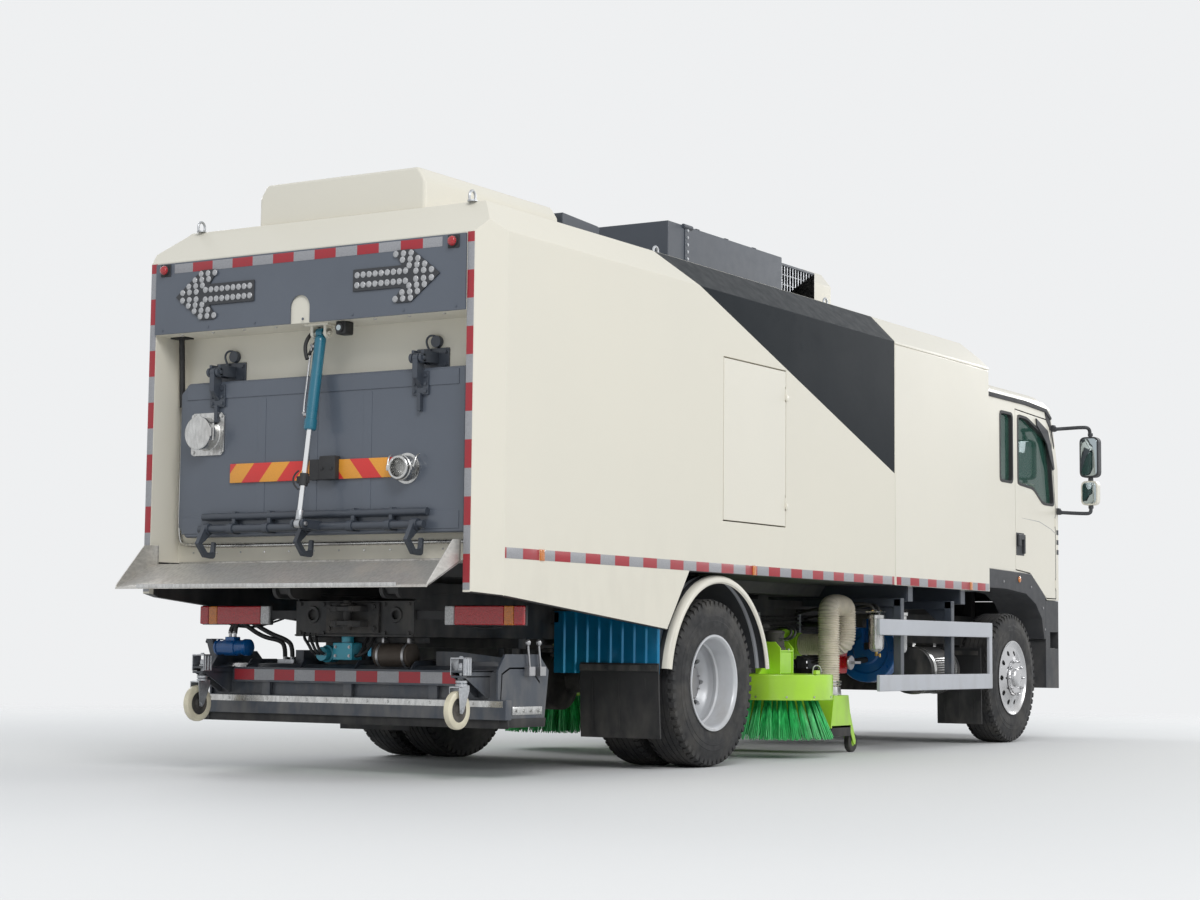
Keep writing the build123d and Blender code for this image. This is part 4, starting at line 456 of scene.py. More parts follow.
creamCoat = {"colour": (0.795, 0.755, 0.65), "roughness": 0.34, "second": (0.765, 0.73, 0.635),
    "mottle": 0.8, "mottleShare": 0.5, "dustTop": 1.5, "dustShare": 0.22, "grain": 900, "grainBump": 0.015,
    "waves": 0.1, "roughSpread": 0.1}
weather("creamBody", coat=0.0, pattern=sideGraphic, **creamCoat)
weather("creamPlain", coat=0.04, **creamCoat)
weather("slatePaint", (0.105, 0.122, 0.152), 0.36, coat=0.3, second=(0.088, 0.102, 0.128), mottle=1.6,
    dustTop=1.2, dustShare=0.5, grain=500, grainBump=0.03, waves=0.08)
weather("slateDark", (0.052, 0.062, 0.08), 0.42, coat=0.2, mottle=3, dustTop=1.0, dustShare=0.5, grain=300,
    grainBump=0.05)
weather("chassisBlack", (0.02, 0.021, 0.023), 0.55, mottle=3.5, mottleShare=0.9,
    second=(0.036, 0.035, 0.034), dustTop=1.3, dustShare=0.5, grain=120, grainBump=0.12)
weather("castBlack", (0.028, 0.028, 0.029), 0.7, mottle=6, mottleShare=0.9, second=(0.05, 0.045, 0.04),
    dustTop=1.1, dustShare=0.6, grain=70, grainBump=0.4)
weather("flapRubber", (0.018, 0.018, 0.019), 0.66, mottle=5, mottleShare=0.4, dustTop=0.6, dustShare=0.22,
    grain=150, grainBump=0.12)
weather("trimPlastic", (0.045, 0.047, 0.052), 0.62, mottle=4, dustTop=1.2, dustShare=0.3, grain=420,
    grainBump=0.25)
weather("guardSilver", (0.5, 0.515, 0.55), 0.4, coat=0.1, mottle=2, dustTop=0.9, dustShare=0.35, grain=300,
    grainBump=0.05)
weather("rimSilver", (0.62, 0.63, 0.65), 0.36, metallic=0.25, mottle=8, dustTop=0.9, dustShare=0.5,
    grain=260, grainBump=0.06)
weather("rimPolished", (0.6, 0.6, 0.61), 0.2, metallic=1.0, mottle=10, mottleShare=0.4, dustTop=0.8,
    dustShare=0.35, grain=500, grainBump=0.03)
weather("hubGrey", (0.34, 0.34, 0.35), 0.45, metallic=0.7, mottle=14, dustTop=0.9, dustShare=0.6, grain=200,
    grainBump=0.15)
weather("silencerBrown", (0.085, 0.066, 0.052), 0.6, metallic=0.3, mottle=7, dustTop=0.8, grain=260,
    grainBump=0.15)
weather("limePaint", (0.44, 0.78, 0.035), 0.34, coat=0.3, second=(0.37, 0.68, 0.03), mottle=5, dustTop=0.7,
    dustShare=0.35, grain=320, grainBump=0.05)
weather("pumpBlue", (0.0, 0.1, 0.33), 0.32, coat=0.35, second=(0.0, 0.075, 0.26), mottle=5, dustTop=0.8,
    dustShare=0.3, grain=320, grainBump=0.06)
# splash sheets: the lighter second tone (0.0, 0.32, 0.5), spread in broad patches, is a painted highlight
# standing for cyan reflections
weather("panelBlue", (0.0, 0.19, 0.38), 0.2, metallic=0.4, coat=0.4, second=(0.0, 0.32, 0.5), mottle=1.4,
    mottleShare=0.9, dustTop=0.7, dustShare=0.15, grain=320, grainBump=0.04)
weather("cylinderTeal", (0.012, 0.155, 0.235), 0.3, coat=0.3, mottle=6, dustTop=0.4, grain=300,
    grainBump=0.04)
weather("pumpTeal", (0.03, 0.36, 0.48), 0.34, coat=0.3, mottle=6, dustTop=0.9, grain=300, grainBump=0.05)
weather("tankGrey", (0.13, 0.135, 0.14), 0.42, metallic=0.4, mottle=5, dustTop=0.9, dustShare=0.45,
    grain=200, grainBump=0.06)
weather("valveRed", (0.55, 0.012, 0.02), 0.35, coat=0.2, mottle=6, dustTop=0.8, grain=260, grainBump=0.06)
weather("casterCream", (0.8, 0.74, 0.56), 0.4, mottle=14, second=(0.62, 0.56, 0.42), dustTop=0.6,
    dustShare=0.6, grain=200, grainBump=0.08)
weather("chromeRod", (0.82, 0.83, 0.84), 0.09, metallic=1.0, mottle=20, mottleShare=0.2, dustTop=0.3,
    grain=900, grainBump=0.01, roughSpread=0.06)
weather("boltSteel", (0.45, 0.45, 0.46), 0.38, metallic=0.9, mottle=40, dustTop=0.9, grain=300,
    grainBump=0.08)
weather("sealRubber", (0.035, 0.035, 0.037), 0.7, mottle=9, dustTop=0.5, grain=200, grainBump=0.15)
brushedFinish("stainlessSheet", (0.66, 0.64, 0.6), 0.36, (0.4, 1, 1), stain=(0.42, 0.37, 0.31),
    stainShare=0.4)
brushedFinish("stainlessPart", (0.64, 0.64, 0.63), 0.26, (1, 1, 0.3), stainShare=0.25)
brushedFinish("brassPart", (0.6, 0.42, 0.16), 0.3, (1, 1, 1), stainShare=0.2)
zincFinish()
tyreFinish()
glassFinish("cabGlass", (0.03, 0.1, 0.075), 0.62)
glassFinish("mirrorGlass", (0.42, 0.48, 0.5), 1.0)
glassFinish("mirrorDark", (0.03, 0.032, 0.036), 1.0)
lensFinish("lensRed", (0.55, 0.012, 0.02))
lensFinish("lensAmber", (0.78, 0.22, 0.01))
lensFinish("lensClear", (0.66, 0.66, 0.66))
lensFinish("lensLed", (0.55, 0.55, 0.56))
hoseFinish("hoseBeige", (0.72, 0.65, 0.53))
hoseFinish("hoseBlack", (0.02, 0.02, 0.021))
bristleFinish()
meshFabric("seatFabric", (0.035, 0.037, 0.042))
red, silver = (0.5, 0.012, 0.026), (0.44, 0.44, 0.46)
tapeFinish("tapeSide", 0, 0.32, 0.06, silver, red)
tapeFinish("tapePost", 2, 0.305, 0.0, silver, red)
tapeFinish("tapeHeader", 1, 0.3, 0.075, silver, red)
chevronFinish()
# single settings that differ from the recipes
for name, socket, value in (("creamBody", "Specular IOR Level", 0.06), ("stainlessSheet", "Metallic", 0.55),
        ("mirrorGlass", "Metallic", 1.0)):
    finishes[name].node_tree.nodes["Principled BSDF"].inputs[socket].default_value = value
print("finishes ready:", len(finishes))


# helpers that shape pieces
def settle(name, bm, finish, body="chassis", smooth=35, weighted=True, nodes=()):
    bmesh.ops.recalc_face_normals(bm, faces=bm.faces)
    mesh = bpy.data.meshes.new(name)
    bm.to_mesh(mesh)
    bm.free()
    names = [finish] if isinstance(finish, str) else finish
    for one in names:
        mesh.materials.append(finishes[one])
    mesh.shade_smooth()
    mesh.set_sharp_from_angle(angle=math.radians(smooth))
    piece = bpy.data.objects.new(name, mesh)
    scene.collection.objects.link(piece)
    if weighted:
        modifier = piece.modifiers.new("evenShading", "WEIGHTED_NORMAL")
        modifier.keep_sharp = True
    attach(piece, body)
    if nodes:
        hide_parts(*nodes)
    return piece


def bevelNew(bm, edges, width, segments=2):
    if width and edges:
        bmesh.ops.bevel(bm, geom=edges, offset=width, segments=segments, profile=0.5, affect="EDGES",
            clamp_overlap=True, material=-1)


def addBlock(bm, low, high, bevel=0.004, turn=None, segments=2, slot=0):
    low, high = Vector(low), Vector(high)
    made = bmesh.ops.create_cube(bm, size=1)["verts"]
    size = high - low
    bmesh.ops.scale(bm, vec=size, verts=made)
    edges = list({edge for vert in made for edge in vert.link_edges})
    faces = {face for vert in made for face in vert.link_faces}
    before = set(bm.verts) - set(made)
    for face in faces:
        face.material_index = slot
    bevelNew(bm, edges, bevel, segments)
    made = [vert for vert in bm.verts if vert not in before]
    matrix = Matrix.Translation((low + high) / 2)
    if turn is not None:
        matrix = matrix @ turn
    bmesh.ops.transform(bm, matrix=matrix, verts=made)
    return made


def sideBlock(bm, side, low, high, bevel=0.004, **more):
    # a block given for the left side, drawn on either side
    y0, y1 = sorted((side * low[1], side * high[1]))
    return addBlock(bm, (low[0], y0, low[2]), (high[0], y1, high[2]), bevel, **more)


def addRod(bm, start, end, radius, segments=20, endRadius=None, bevel=0.0, slot=0):
    start, end = Vector(start), Vector(end)
    span = end - start
    before = set(bm.verts)
    matrix = Matrix.Translation((start + end) / 2) @ span.to_track_quat("Z", "Y").to_matrix().to_4x4()
    made = bmesh.ops.create_cone(bm, cap_ends=True, segments=segments, radius1=radius,
        radius2=radius if endRadius is None else endRadius, depth=span.length, matrix=matrix)["verts"]
    faces = {face for vert in made for face in vert.link_faces}
    for face in faces:
        face.material_index = slot
    if bevel:
        rims = [edge for edge in {e for vert in made for e in vert.link_edges}
            if any(len(face.verts) > 4 for face in edge.link_faces)]
        bevelNew(bm, rims, bevel, 2)
    return [vert for vert in bm.verts if vert not in before]


def addBall(bm, centre, radius, squash=(1, 1, 1), segments=16, slot=0):
    matrix = Matrix.Translation(centre) @ Matrix.Diagonal((*squash, 1))
    made = bmesh.ops.create_uvsphere(bm, u_segments=segments, v_segments=max(6, segments // 2),
        radius=radius, matrix=matrix)["verts"]
    for face in {face for vert in made for face in vert.link_faces}:
        face.material_index = slot
    return made


def addLathe(bm, profile, centre, axis, steps=48, slot=0):
    # profile rows are (distance along the axis, radius)
    centre, axis = Vector(centre), Vector(axis).normalized()
    side = axis.orthogonal().normalized()
    before = set(bm.faces)
    verts = [bm.verts.new(centre + axis * reach + side * radius) for reach, radius in profile]
    edges = [bm.edges.new((verts[i], verts[i + 1])) for i in range(len(verts) - 1)]
    bmesh.ops.spin(bm, geom=verts + edges, cent=centre, axis=axis, dvec=(0, 0, 0), angle=math.tau,
        steps=steps, use_merge=True, use_duplicate=False)
    bmesh.ops.remove_doubles(bm, verts=bm.verts, dist=0.00002)
    for face in bm.faces:
        if face not in before:
            face.material_index = slot


def addPlate(bm, outline, thickness, bevel=0.003, slot=0, segments=2):
    # outline is a list of points in space; the plate grows along thickness, a vector
    before = set(bm.verts)
    verts = [bm.verts.new(point) for point in outline]
    face = bm.faces.new(verts)
    made = bmesh.ops.extrude_face_region(bm, geom=[face])["geom"]
    bmesh.ops.translate(bm, vec=thickness, verts=[item for item in made if isinstance(item,
        bmesh.types.BMVert)])
    fresh = [vert for vert in bm.verts if vert not in before]
    for one in {f for vert in fresh for f in vert.link_faces}:
        one.material_index = slot
    if bevel:
        bevelNew(bm, list({edge for vert in fresh for edge in vert.link_edges}), bevel, segments)
    return [vert for vert in bm.verts if vert not in before]


def sideways(points, y):
    return [Vector((x, y, z)) for x, z in points]


def crossways(points, x):
    return [Vector((x, y, z)) for y, z in points]


def flatways(points, z):
    return [Vector((x, y, z)) for x, y in points]


def addBolt(bm, place, axis, size=0.011, height=0.008, slot=0, washer=True):
    place, axis = Vector(place), Vector(axis).normalized()
    if washer:
        addRod(bm, place, place + axis * 0.002, size * 1.35, 16, slot=slot)
    addRod(bm, place, place + axis * height, size, 6, size * 0.97, slot=slot)


def routePoints(points, bevel=0.0, resolution=8):
    # the smooth line through a route's control points
    data = bpy.data.curves.new("route", "CURVE")
    data.dimensions = "3D"
    spline = data.splines.new("NURBS")
    spline.points.add(len(points) - 1)
    for place, point in zip(spline.points, points):
        place.co = (*point, 1)
    spline.order_u = 3
    spline.use_endpoint_u = True
    spline.resolution_u = resolution
    data.bevel_depth = bevel
    data.bevel_resolution = 4
    data.use_fill_caps = bool(bevel)
    line = bpy.data.objects.new("route", data)
    scene.collection.objects.link(line)
    bpy.context.view_layer.update()
    mesh = bpy.data.meshes.new_from_object(line)
    bpy.data.objects.remove(line)
    bpy.data.curves.remove(data)
    return mesh


def addPipe(bm, points, radius, slot=0):
    mesh = routePoints(points, radius)
    before = set(bm.faces)
    bm.from_mesh(mesh)
    bpy.data.meshes.remove(mesh)
    for face in bm.faces:
        if face not in before:
            face.material_index = slot


def dressNode(node, finish, width=0.004, least=0.06, name=None):
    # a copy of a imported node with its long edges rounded; it stands for the node
    body = frame["nodes"][node]["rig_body"]
    bm = bmesh.new()
    bm.from_mesh(frame["nodes"][node].data)
    bmesh.ops.remove_doubles(bm, verts=bm.verts, dist=0.00004)
    bmesh.ops.dissolve_limit(bm, angle_limit=math.radians(0.6), verts=bm.verts, edges=bm.edges)
    if width:
        edges = [edge for edge in bm.edges if len(edge.link_faces) == 2 and edge.calc_length() > least
            and edge.calc_face_angle(0) > math.radians(24)]
        bmesh.ops.bevel(bm, geom=edges, offset=width, segments=2, profile=0.5, affect="EDGES",
            clamp_overlap=False, material=-1)
    return settle(name or node + "Dressed", bm, finish, body, 32, nodes=(node,))


def dressSplit(node, names, rule, width=0.004, least=0.06):
    # as dressNode, with a finish for each face by the rule
    piece = dressNode(node, names[0], width, least)
    repaint(piece, names[1:], rule)
    return piece


def repaint(piece, names, rule):
    for name in names:
        piece.data.materials.append(finishes[name])
    for face in piece.data.polygons:
        face.material_index = rule(face.center, face.normal)


def meshOf(bm):
    mesh = bpy.data.meshes.new("part")
    bm.to_mesh(mesh)
    bm.free()
    return mesh


def takeIn(bm, part):
    # adds a finished bmesh to another and lets it go
    mesh = meshOf(part)
    bm.from_mesh(mesh)
    bpy.data.meshes.remove(mesh)


def holder(bm):
    bmesh.ops.recalc_face_normals(bm, faces=bm.faces)
    piece = bpy.data.objects.new("part", meshOf(bm))
    scene.collection.objects.link(piece)
    return piece


def carve(bm, cutters, operation="DIFFERENCE"):
    # bm with each cutter taken away, joined or kept in common
    base = holder(bm)
    tools = [holder(cutter) for cutter in cutters]
    for tool in tools:
        modifier = base.modifiers.new("carve", "BOOLEAN")
        modifier.operation = operation
        modifier.solver = "EXACT"
        modifier.object = tool
    bpy.context.view_layer.update()
    evaluated = base.evaluated_get(bpy.context.evaluated_depsgraph_get())
    result = bmesh.new()
    result.from_mesh(evaluated.to_mesh())
    for piece in [base] + tools:
        mesh = piece.data
        bpy.data.objects.remove(piece)
        bpy.data.meshes.remove(mesh)
    bmesh.ops.remove_doubles(result, verts=result.verts, dist=0.00005)
    bmesh.ops.dissolve_limit(result, angle_limit=math.radians(0.5), verts=result.verts, edges=result.edges)
    return result


def blockOf(low, high, bevel=0.0, turn=None):
    bm = bmesh.new()
    addBlock(bm, low, high, bevel, turn)
    return bm


def plateOf(outline, thickness):
    bm = bmesh.new()
    addPlate(bm, outline, thickness, 0)
    return bm


def rodOf(start, end, radius, segments=32):
    bm = bmesh.new()
    addRod(bm, start, end, radius, segments)
    return bm


def softenEdges(bm, width, angle=24, least=0.03, segments=2):
    edges = [edge for edge in bm.edges if len(edge.link_faces) == 2 and edge.calc_length() > least
        and edge.calc_face_angle(0) > math.radians(angle)]
    bmesh.ops.bevel(bm, geom=edges, offset=width, segments=segments, profile=0.5, affect="EDGES",
        clamp_overlap=True, material=-1)


print("helpers ready")

# tipping body: folded sheet shell with its recess, tank and machine room
shell = {
    "cornerX": 0.186,
    "cornerY": 0.091,
    "wall": 0.045,
    "recessHalf": 1.11,
    "recessDepth": 0.24,
    "recessBottomZ": 1.18,
    "headerBottomZ": 2.53,
    "headerTopZ": 2.957,
    "backWall": 0.04,
    "apertureHalf": 0.93,
    "aperture": (1.4, 2.19),
    "bulkheadX": -1.955,
    "door": (-1.8, -0.935, 1.53, 2.57),
    "fold": 0.007,
}


def sectionOutline(x, inset=0.0):
    half, roofHalf = truck["bodyHalf"] - inset, 1.06 - inset * 0.4
    bottom = truck["bodyBottomZ"] + inset
    points = [(-half, bottom), (half, bottom), (half, truck["edgeZ"] - inset * 0.4),
        (roofHalf, truck["roofZ"] - inset), (-roofHalf, truck["roofZ"] - inset),
        (-half, truck["edgeZ"] - inset * 0.4)]
    return crossways(points, x)


def bellyFinish(centre, normal):
    under = normal.z < -0.3 and centre.z < 1.3
    inner = centre.z < 1.195 and (abs(centre.y) < 0.7 or normal.y * centre.y < -0.05)
    return 1 if under or inner else 0


def makeBody(s):
    seam, half, bottom = truck["seamX"], truck["bodyHalf"], truck["bodyBottomZ"]
    bm = plateOf(sectionOutline(backX), Vector((seam - backX, 0, 0)))
    spine = plateOf(crossways([(-0.7, bottom + 0.01), (-0.64, 1.12), (0.64, 1.12), (0.7, bottom + 0.01)],
        backX + 0.3), Vector((seam - backX - 0.3, 0, 0)))
    skirt = plateOf(sideways([(backX, 1.018), (rearX - 0.635, 0.842), (rearX - 0.368, bottom),
        (rearX - 0.368, bottom + 0.04), (backX, bottom + 0.04)], -half), Vector((0, half * 2, 0)))

    def plan(inset, low, high):
        inner = half - inset
        points = [(backX + inset, -inner + s["cornerY"]), (backX + s["cornerX"], -inner),
            (seam + 0.01, -inner), (seam + 0.01, inner), (backX + s["cornerX"], inner),
            (backX + inset, inner - s["cornerY"])]
        return plateOf(flatways(points, low), Vector((0, 0, high - low)))

    skirt = carve(skirt, [plan(0.04, 0.7, bottom), blockOf((backX - 0.01, -s["recessHalf"], 1.0),
        (backX + 0.1, s["recessHalf"], bottom + 0.03))])
    bm = carve(bm, [skirt, spine], "UNION")
    bm = carve(bm, [plan(0.0, 0.7, 3.2)], "INTERSECT")
    slope = plateOf(sideways([(backX - 0.01, s["headerTopZ"] + 0.01), (backX, s["headerTopZ"]),
        (backX + 0.22, 3.15), (backX + 0.245, 3.18), (backX - 0.01, 3.18)], -1.3), Vector((0, 2.6, 0)))
    rearInner = backX + s["recessDepth"] + s["backWall"]
    cutters = [
        slope,
        blockOf((backX - 0.01, -s["recessHalf"], s["recessBottomZ"]), (backX + s["recessDepth"],
            s["recessHalf"], s["headerBottomZ"])),
        plateOf(sectionOutline(rearInner, s["wall"]), Vector((s["bulkheadX"] - rearInner, 0, 0))),
        plateOf(sectionOutline(s["bulkheadX"] + s["wall"], s["wall"]), Vector((seam - s["bulkheadX"] - 2
            * s["wall"], 0, 0))),
        blockOf((backX + 0.2, -s["apertureHalf"], s["aperture"][0]), (rearInner + 0.01, s["apertureHalf"],
            s["aperture"][1])),
    ]
    x0, x1, z0, z1 = s["door"]
    for side in (-1, 1):
        cutters.append(blockOf((x0, side * 1.225 - 0.04, z0), (x1, side * 1.225 + 0.04, z1)))
    bm = carve(bm, cutters)
    softenEdges(bm, s["fold"], 20, 0.05)
    repaint(settle("bodyShell", bm, "creamBody", "hopper", 30, nodes=("hopper_shell",)), ("chassisBlack",),
        bellyFinish)


makeBody(shell)
print("body shell made")


# fittings of the recess: hinge brackets, cylinder lugs, trim tube, cables
recess = {
    "hingeY": 0.727,
    "hingeX": backX + 0.085,
    "hingeZ": 2.3,
    "wallX": backX + 0.24,
    "topPin": (backX + 0.09, -0.05, 2.48),
    "trim": 0.011,
}


def makeRecessFittings(s):
    bm = bmesh.new()
    x, z, wallX = s["hingeX"], s["hingeZ"], s["wallX"]
    for y in (-s["hingeY"], s["hingeY"]):
        for low, high in ((-0.042, -0.024), (0.024, 0.042)):
            addBlock(bm, (x, y + low, z - 0.02), (wallX + 0.002, y + high, z + 0.045), 0.003)
            addRod(bm, (x, y + low, z), (x, y + high, z), 0.027, 28, bevel=0.002)
        addRod(bm, (x, y - 0.052, z), (x, y + 0.052, z), 0.012, 20, bevel=0.002)
        addBlock(bm, (wallX - 0.012, y - 0.11, z - 0.045), (wallX + 0.002, y + 0.11, z + 0.07), 0.004)
        for dy in (-0.088, 0.088):
            for dz in (-0.025, 0.048):
                addBolt(bm, (wallX - 0.012, y + dy, z + dz), (-1, 0, 0), 0.011, 0.009)
        addRod(bm, (wallX - 0.03, y - 0.03, z + 0.105), (wallX + 0.002, y - 0.03, z + 0.105), 0.034, 28,
            bevel=0.004)
        addPipe(bm, [(wallX - 0.02, y + 0.01, z + 0.05), (wallX - 0.035, y + 0.04, z + 0.1),
            (wallX - 0.035, y, z + 0.15), (wallX - 0.012, y - 0.03, z + 0.13)], 0.006)
    settle("hingeBrackets", bm, "slateDark", "hopper")

    bm = bmesh.new()
    px, py, pz = s["topPin"]
    for low, high in ((-0.056, -0.038), (0.038, 0.056)):
        addBlock(bm, (px - 0.03, py + low, pz), (px + 0.03, py + high, 2.531), 0.003)
        addRod(bm, (px, py + low, pz), (px, py + high, pz), 0.03, 28, bevel=0.003)
    addRod(bm, (px, py - 0.066, pz), (px, py + 0.066, pz), 0.012, 20, bevel=0.002)
    addBlock(bm, (px - 0.05, py - 0.085, 2.519), (px + 0.05, py + 0.085, 2.531), 0.003)
    settle("cylinderLugs", bm, "creamPlain", "hopper")

    # bright trim tube round the gate's frame and the screws under the header
    bm = bmesh.new()
    tx = wallX - 0.01
    addPipe(bm, [(tx, 1.094, 2.15), (tx, 1.1, 1.8), (tx, 1.104, 1.34), (tx, 1.05, 1.3), (tx, 0.4, 1.3),
        (tx, -0.6, 1.3), (tx, -1.06, 1.3)], s["trim"])
    for index in range(12):
        addBolt(bm, (wallX, 0.99 - index * 0.18, 1.262), (-1, 0, 0), 0.006, 0.004, washer=False)
    for index in range(9):
        addBolt(bm, (backX + 0.05, 0.95 - index * 0.235, 2.53), (0, 0, -1), 0.008, 0.006)
    settle("gateTrim", bm, "stainlessPart", "hopper", weighted=False)

    bm = bmesh.new()
    addRod(bm, (backX + 0.15, 1.045, 2.529), (backX + 0.19, 1.062, 2.12), 0.017, 20)
    addBlock(bm, (backX + 0.11, 0.985, 2.521), (backX + 0.19, 1.1, 2.531), 0.003)
    addPipe(bm, [(px + 0.03, py + 0.035, 2.528), (px + 0.02, py + 0.07, 2.5), (px - 0.03, py + 0.085, 2.44),
        (px - 0.055, py + 0.07, 2.37), (px - 0.058, py + 0.05, 2.33)], 0.011)
    addPipe(bm, [(px + 0.05, py + 0.03, 2.528), (px + 0.06, py + 0.06, 2.48), (px + 0.02, py + 0.065, 2.42),
        (px - 0.03, py + 0.06, 2.36)], 0.009)
    addBlock(bm, (backX + 0.02, -0.275, 2.455), (backX + 0.1, -0.205, 2.531), 0.01)
    addRod(bm, (backX + 0.005, -0.24, 2.49), (backX + 0.03, -0.24, 2.49), 0.026, 28, bevel=0.003)
    settle("recessCables", bm, "hoseBlack", "hopper", weighted=False)
    bm = bmesh.new()
    addRod(bm, (backX + 0.003, -0.24, 2.49), (backX + 0.008, -0.24, 2.49), 0.016, 24, bevel=0.001)
    settle("rearCameraLens", bm, "mirrorGlass", "hopper", 30, False)


makeRecessFittings(recess)


# header board with tape, arrow boards and marker lamps
header = {
    "low": 2.53,
    "high": 2.947,
    "half": 1.11,
    "thick": 0.014,
    "notch": (-0.045, 0.095, 2.69),
    "tape": (2.884, 2.938, -0.955, 0.965),
    "arrow": (0.355, 0.7, 0.946, 2.74),
    "lampY": 1.031,
    "lampZ": 2.905,
}


def makeHeader(s):
    face = backX - s["thick"]
    y0, y1, top = s["notch"]
    bm = blockOf((face, -s["half"], s["low"]), (backX - 0.0002, s["half"], s["high"]))
    radius = (y1 - y0) / 2
    notch = [blockOf((face - 0.01, y0, s["low"] - 0.01), (backX + 0.01, y1, top - radius)),
        rodOf((face - 0.01, (y0 + y1) / 2, top - radius), (backX + 0.01, (y0 + y1) / 2, top - radius),
        radius, 40)]
    bm = carve(bm, notch)
    softenEdges(bm, 0.003, 30, 0.008)
    for index in range(7):
        addBolt(bm, (face, -1.05 + index * 0.35, 2.552), (-1, 0, 0), 0.006, 0.004)
    settle("headerBoard", bm, "slatePaint", "hopper", nodes=("header_panel",))

    bm = bmesh.new()
    z0, z1, t0, t1 = s["tape"]
    addBlock(bm, (face - 0.0014, t0, z0), (face, t1, z1), 0.0003)
    settle("headerTape", bm, "tapeHeader", "hopper", 30, False)
    bm = bmesh.new()
    for side in (-1, 1):
        sideBlock(bm, side, (backX - 0.0016, 1.113, 1.03), (backX + 0.0002, 1.157, 2.953), 0.0003)
    settle("postTape", bm, "tapePost", "hopper", 30, False)

    # the arrow: a dark pan, its rim, and rows of round lenses
    tail, neck, tip, z = s["arrow"]
    outline = [(tail, z - 0.062), (neck - 0.012, z - 0.062), (neck - 0.062, z - 0.128),
        (neck - 0.045, z - 0.146), (neck + 0.052, z - 0.146), (tip, z), (neck + 0.052, z + 0.146),
        (neck - 0.045, z + 0.146), (neck - 0.062, z + 0.128), (neck - 0.012, z + 0.062), (tail, z + 0.062)]
    for name, side in sides:
        bm = bmesh.new()
        addPlate(bm, crossways([(side * y, h) for y, h in outline], face - 0.01), Vector((0.0099, 0, 0)),
            0.004)
        settle("arrowPan" + name, bm, "trimPlastic", "hopper")
        bm = bmesh.new()
        spots = [(tail + 0.03 + step * 0.0415, z + row) for step in range(9) for row in (-0.028, 0.028)]
        for row in range(3):
            for step in range(4):
                for way in (-1, 1):
                    y = tip - 0.055 - row * 0.052 - step * 0.046
                    h = z + way * (0.022 + step * 0.034)
                    if y > neck - 0.09:
                        spots.append((y, h))
        for y, h in spots:
            addBall(bm, (face - 0.0105, side * y, h), 0.0185, (0.32, 1, 1), 14)
        settle("arrowLenses" + name, bm, "lensLed", "hopper", 60, False)

    for name, side in sides:
        y, h = side * s["lampY"], s["lampZ"]
        bm = bmesh.new()
        addBlock(bm, (face - 0.006, y - 0.038, h - 0.036), (face, y + 0.038, h + 0.036), 0.004)
        addRod(bm, (face - 0.018, y, h), (face - 0.004, y, h), 0.03, 32, bevel=0.003)
        settle("markerBase" + name, bm, "sealRubber", "hopper")
        bm = bmesh.new()
        addLathe(bm, [(0, 0.027), (0.012, 0.0265), (0.02, 0.022), (0.0235, 0.014), (0.0245, 0.0)],
            (face - 0.012, y, h), (-1, 0, 0), 32)
        settle("markerLens" + name, bm, "lensRed", "hopper", 50, False)


makeHeader(header)


# reflective tape and markers along the sides
sideTape = {"low": 1.204, "high": 1.262, "proud": 0.0012}


def makeSideTape(s):
    for name, side in sides:
        inner, outer = sorted((side * 1.25, side * (1.25 + s["proud"])))
        for label, body, ends in (("Body", "hopper", [(backX + 0.192, -3.9), (-3.845, -1.405),
                (-1.36, 0.78)]), ("Module", "chassis", [(0.82, 2.185), (2.235, 2.575)])):
            bm = bmesh.new()
            for start, end in ends:
                addBlock(bm, (start, inner, s["low"]), (end, outer, s["high"]), 0.0003)
            settle("tape" + label + name, bm, "tapeSide", body, 30, False)
        for index, (x, body) in enumerate(((-3.872, "hopper"), (-1.382, "hopper"), (2.21, "chassis"))):
            bm = bmesh.new()
            sideBlock(bm, side, (x - 0.024, 1.249, s["low"] - 0.002), (x + 0.024, 1.256, s["high"] + 0.002),
                0.003)
            settle("sideMarker" + name + str(index), bm, "lensAmber", body, 40, False)


makeSideTape(sideTape)
print("header and tape made")


# tailgate: pressed plate, seal, straps, bearings, flange, coupling and warning board
gate = {
    "face": backX + 0.13,
    "sheet": 0.06,
    "half": 1.02,
    "bottom": 1.345,
    "top": 2.25,
    "hingeY": 0.727,
    "hinge": (backX + 0.085, 2.3),
    "lock": (backX + 0.072, 1.388),
    "board": (-0.56, 0.62, 1.655, 1.765),
    "flange": (0.8, 1.945),
    "camlock": (-0.64, 1.7),
}


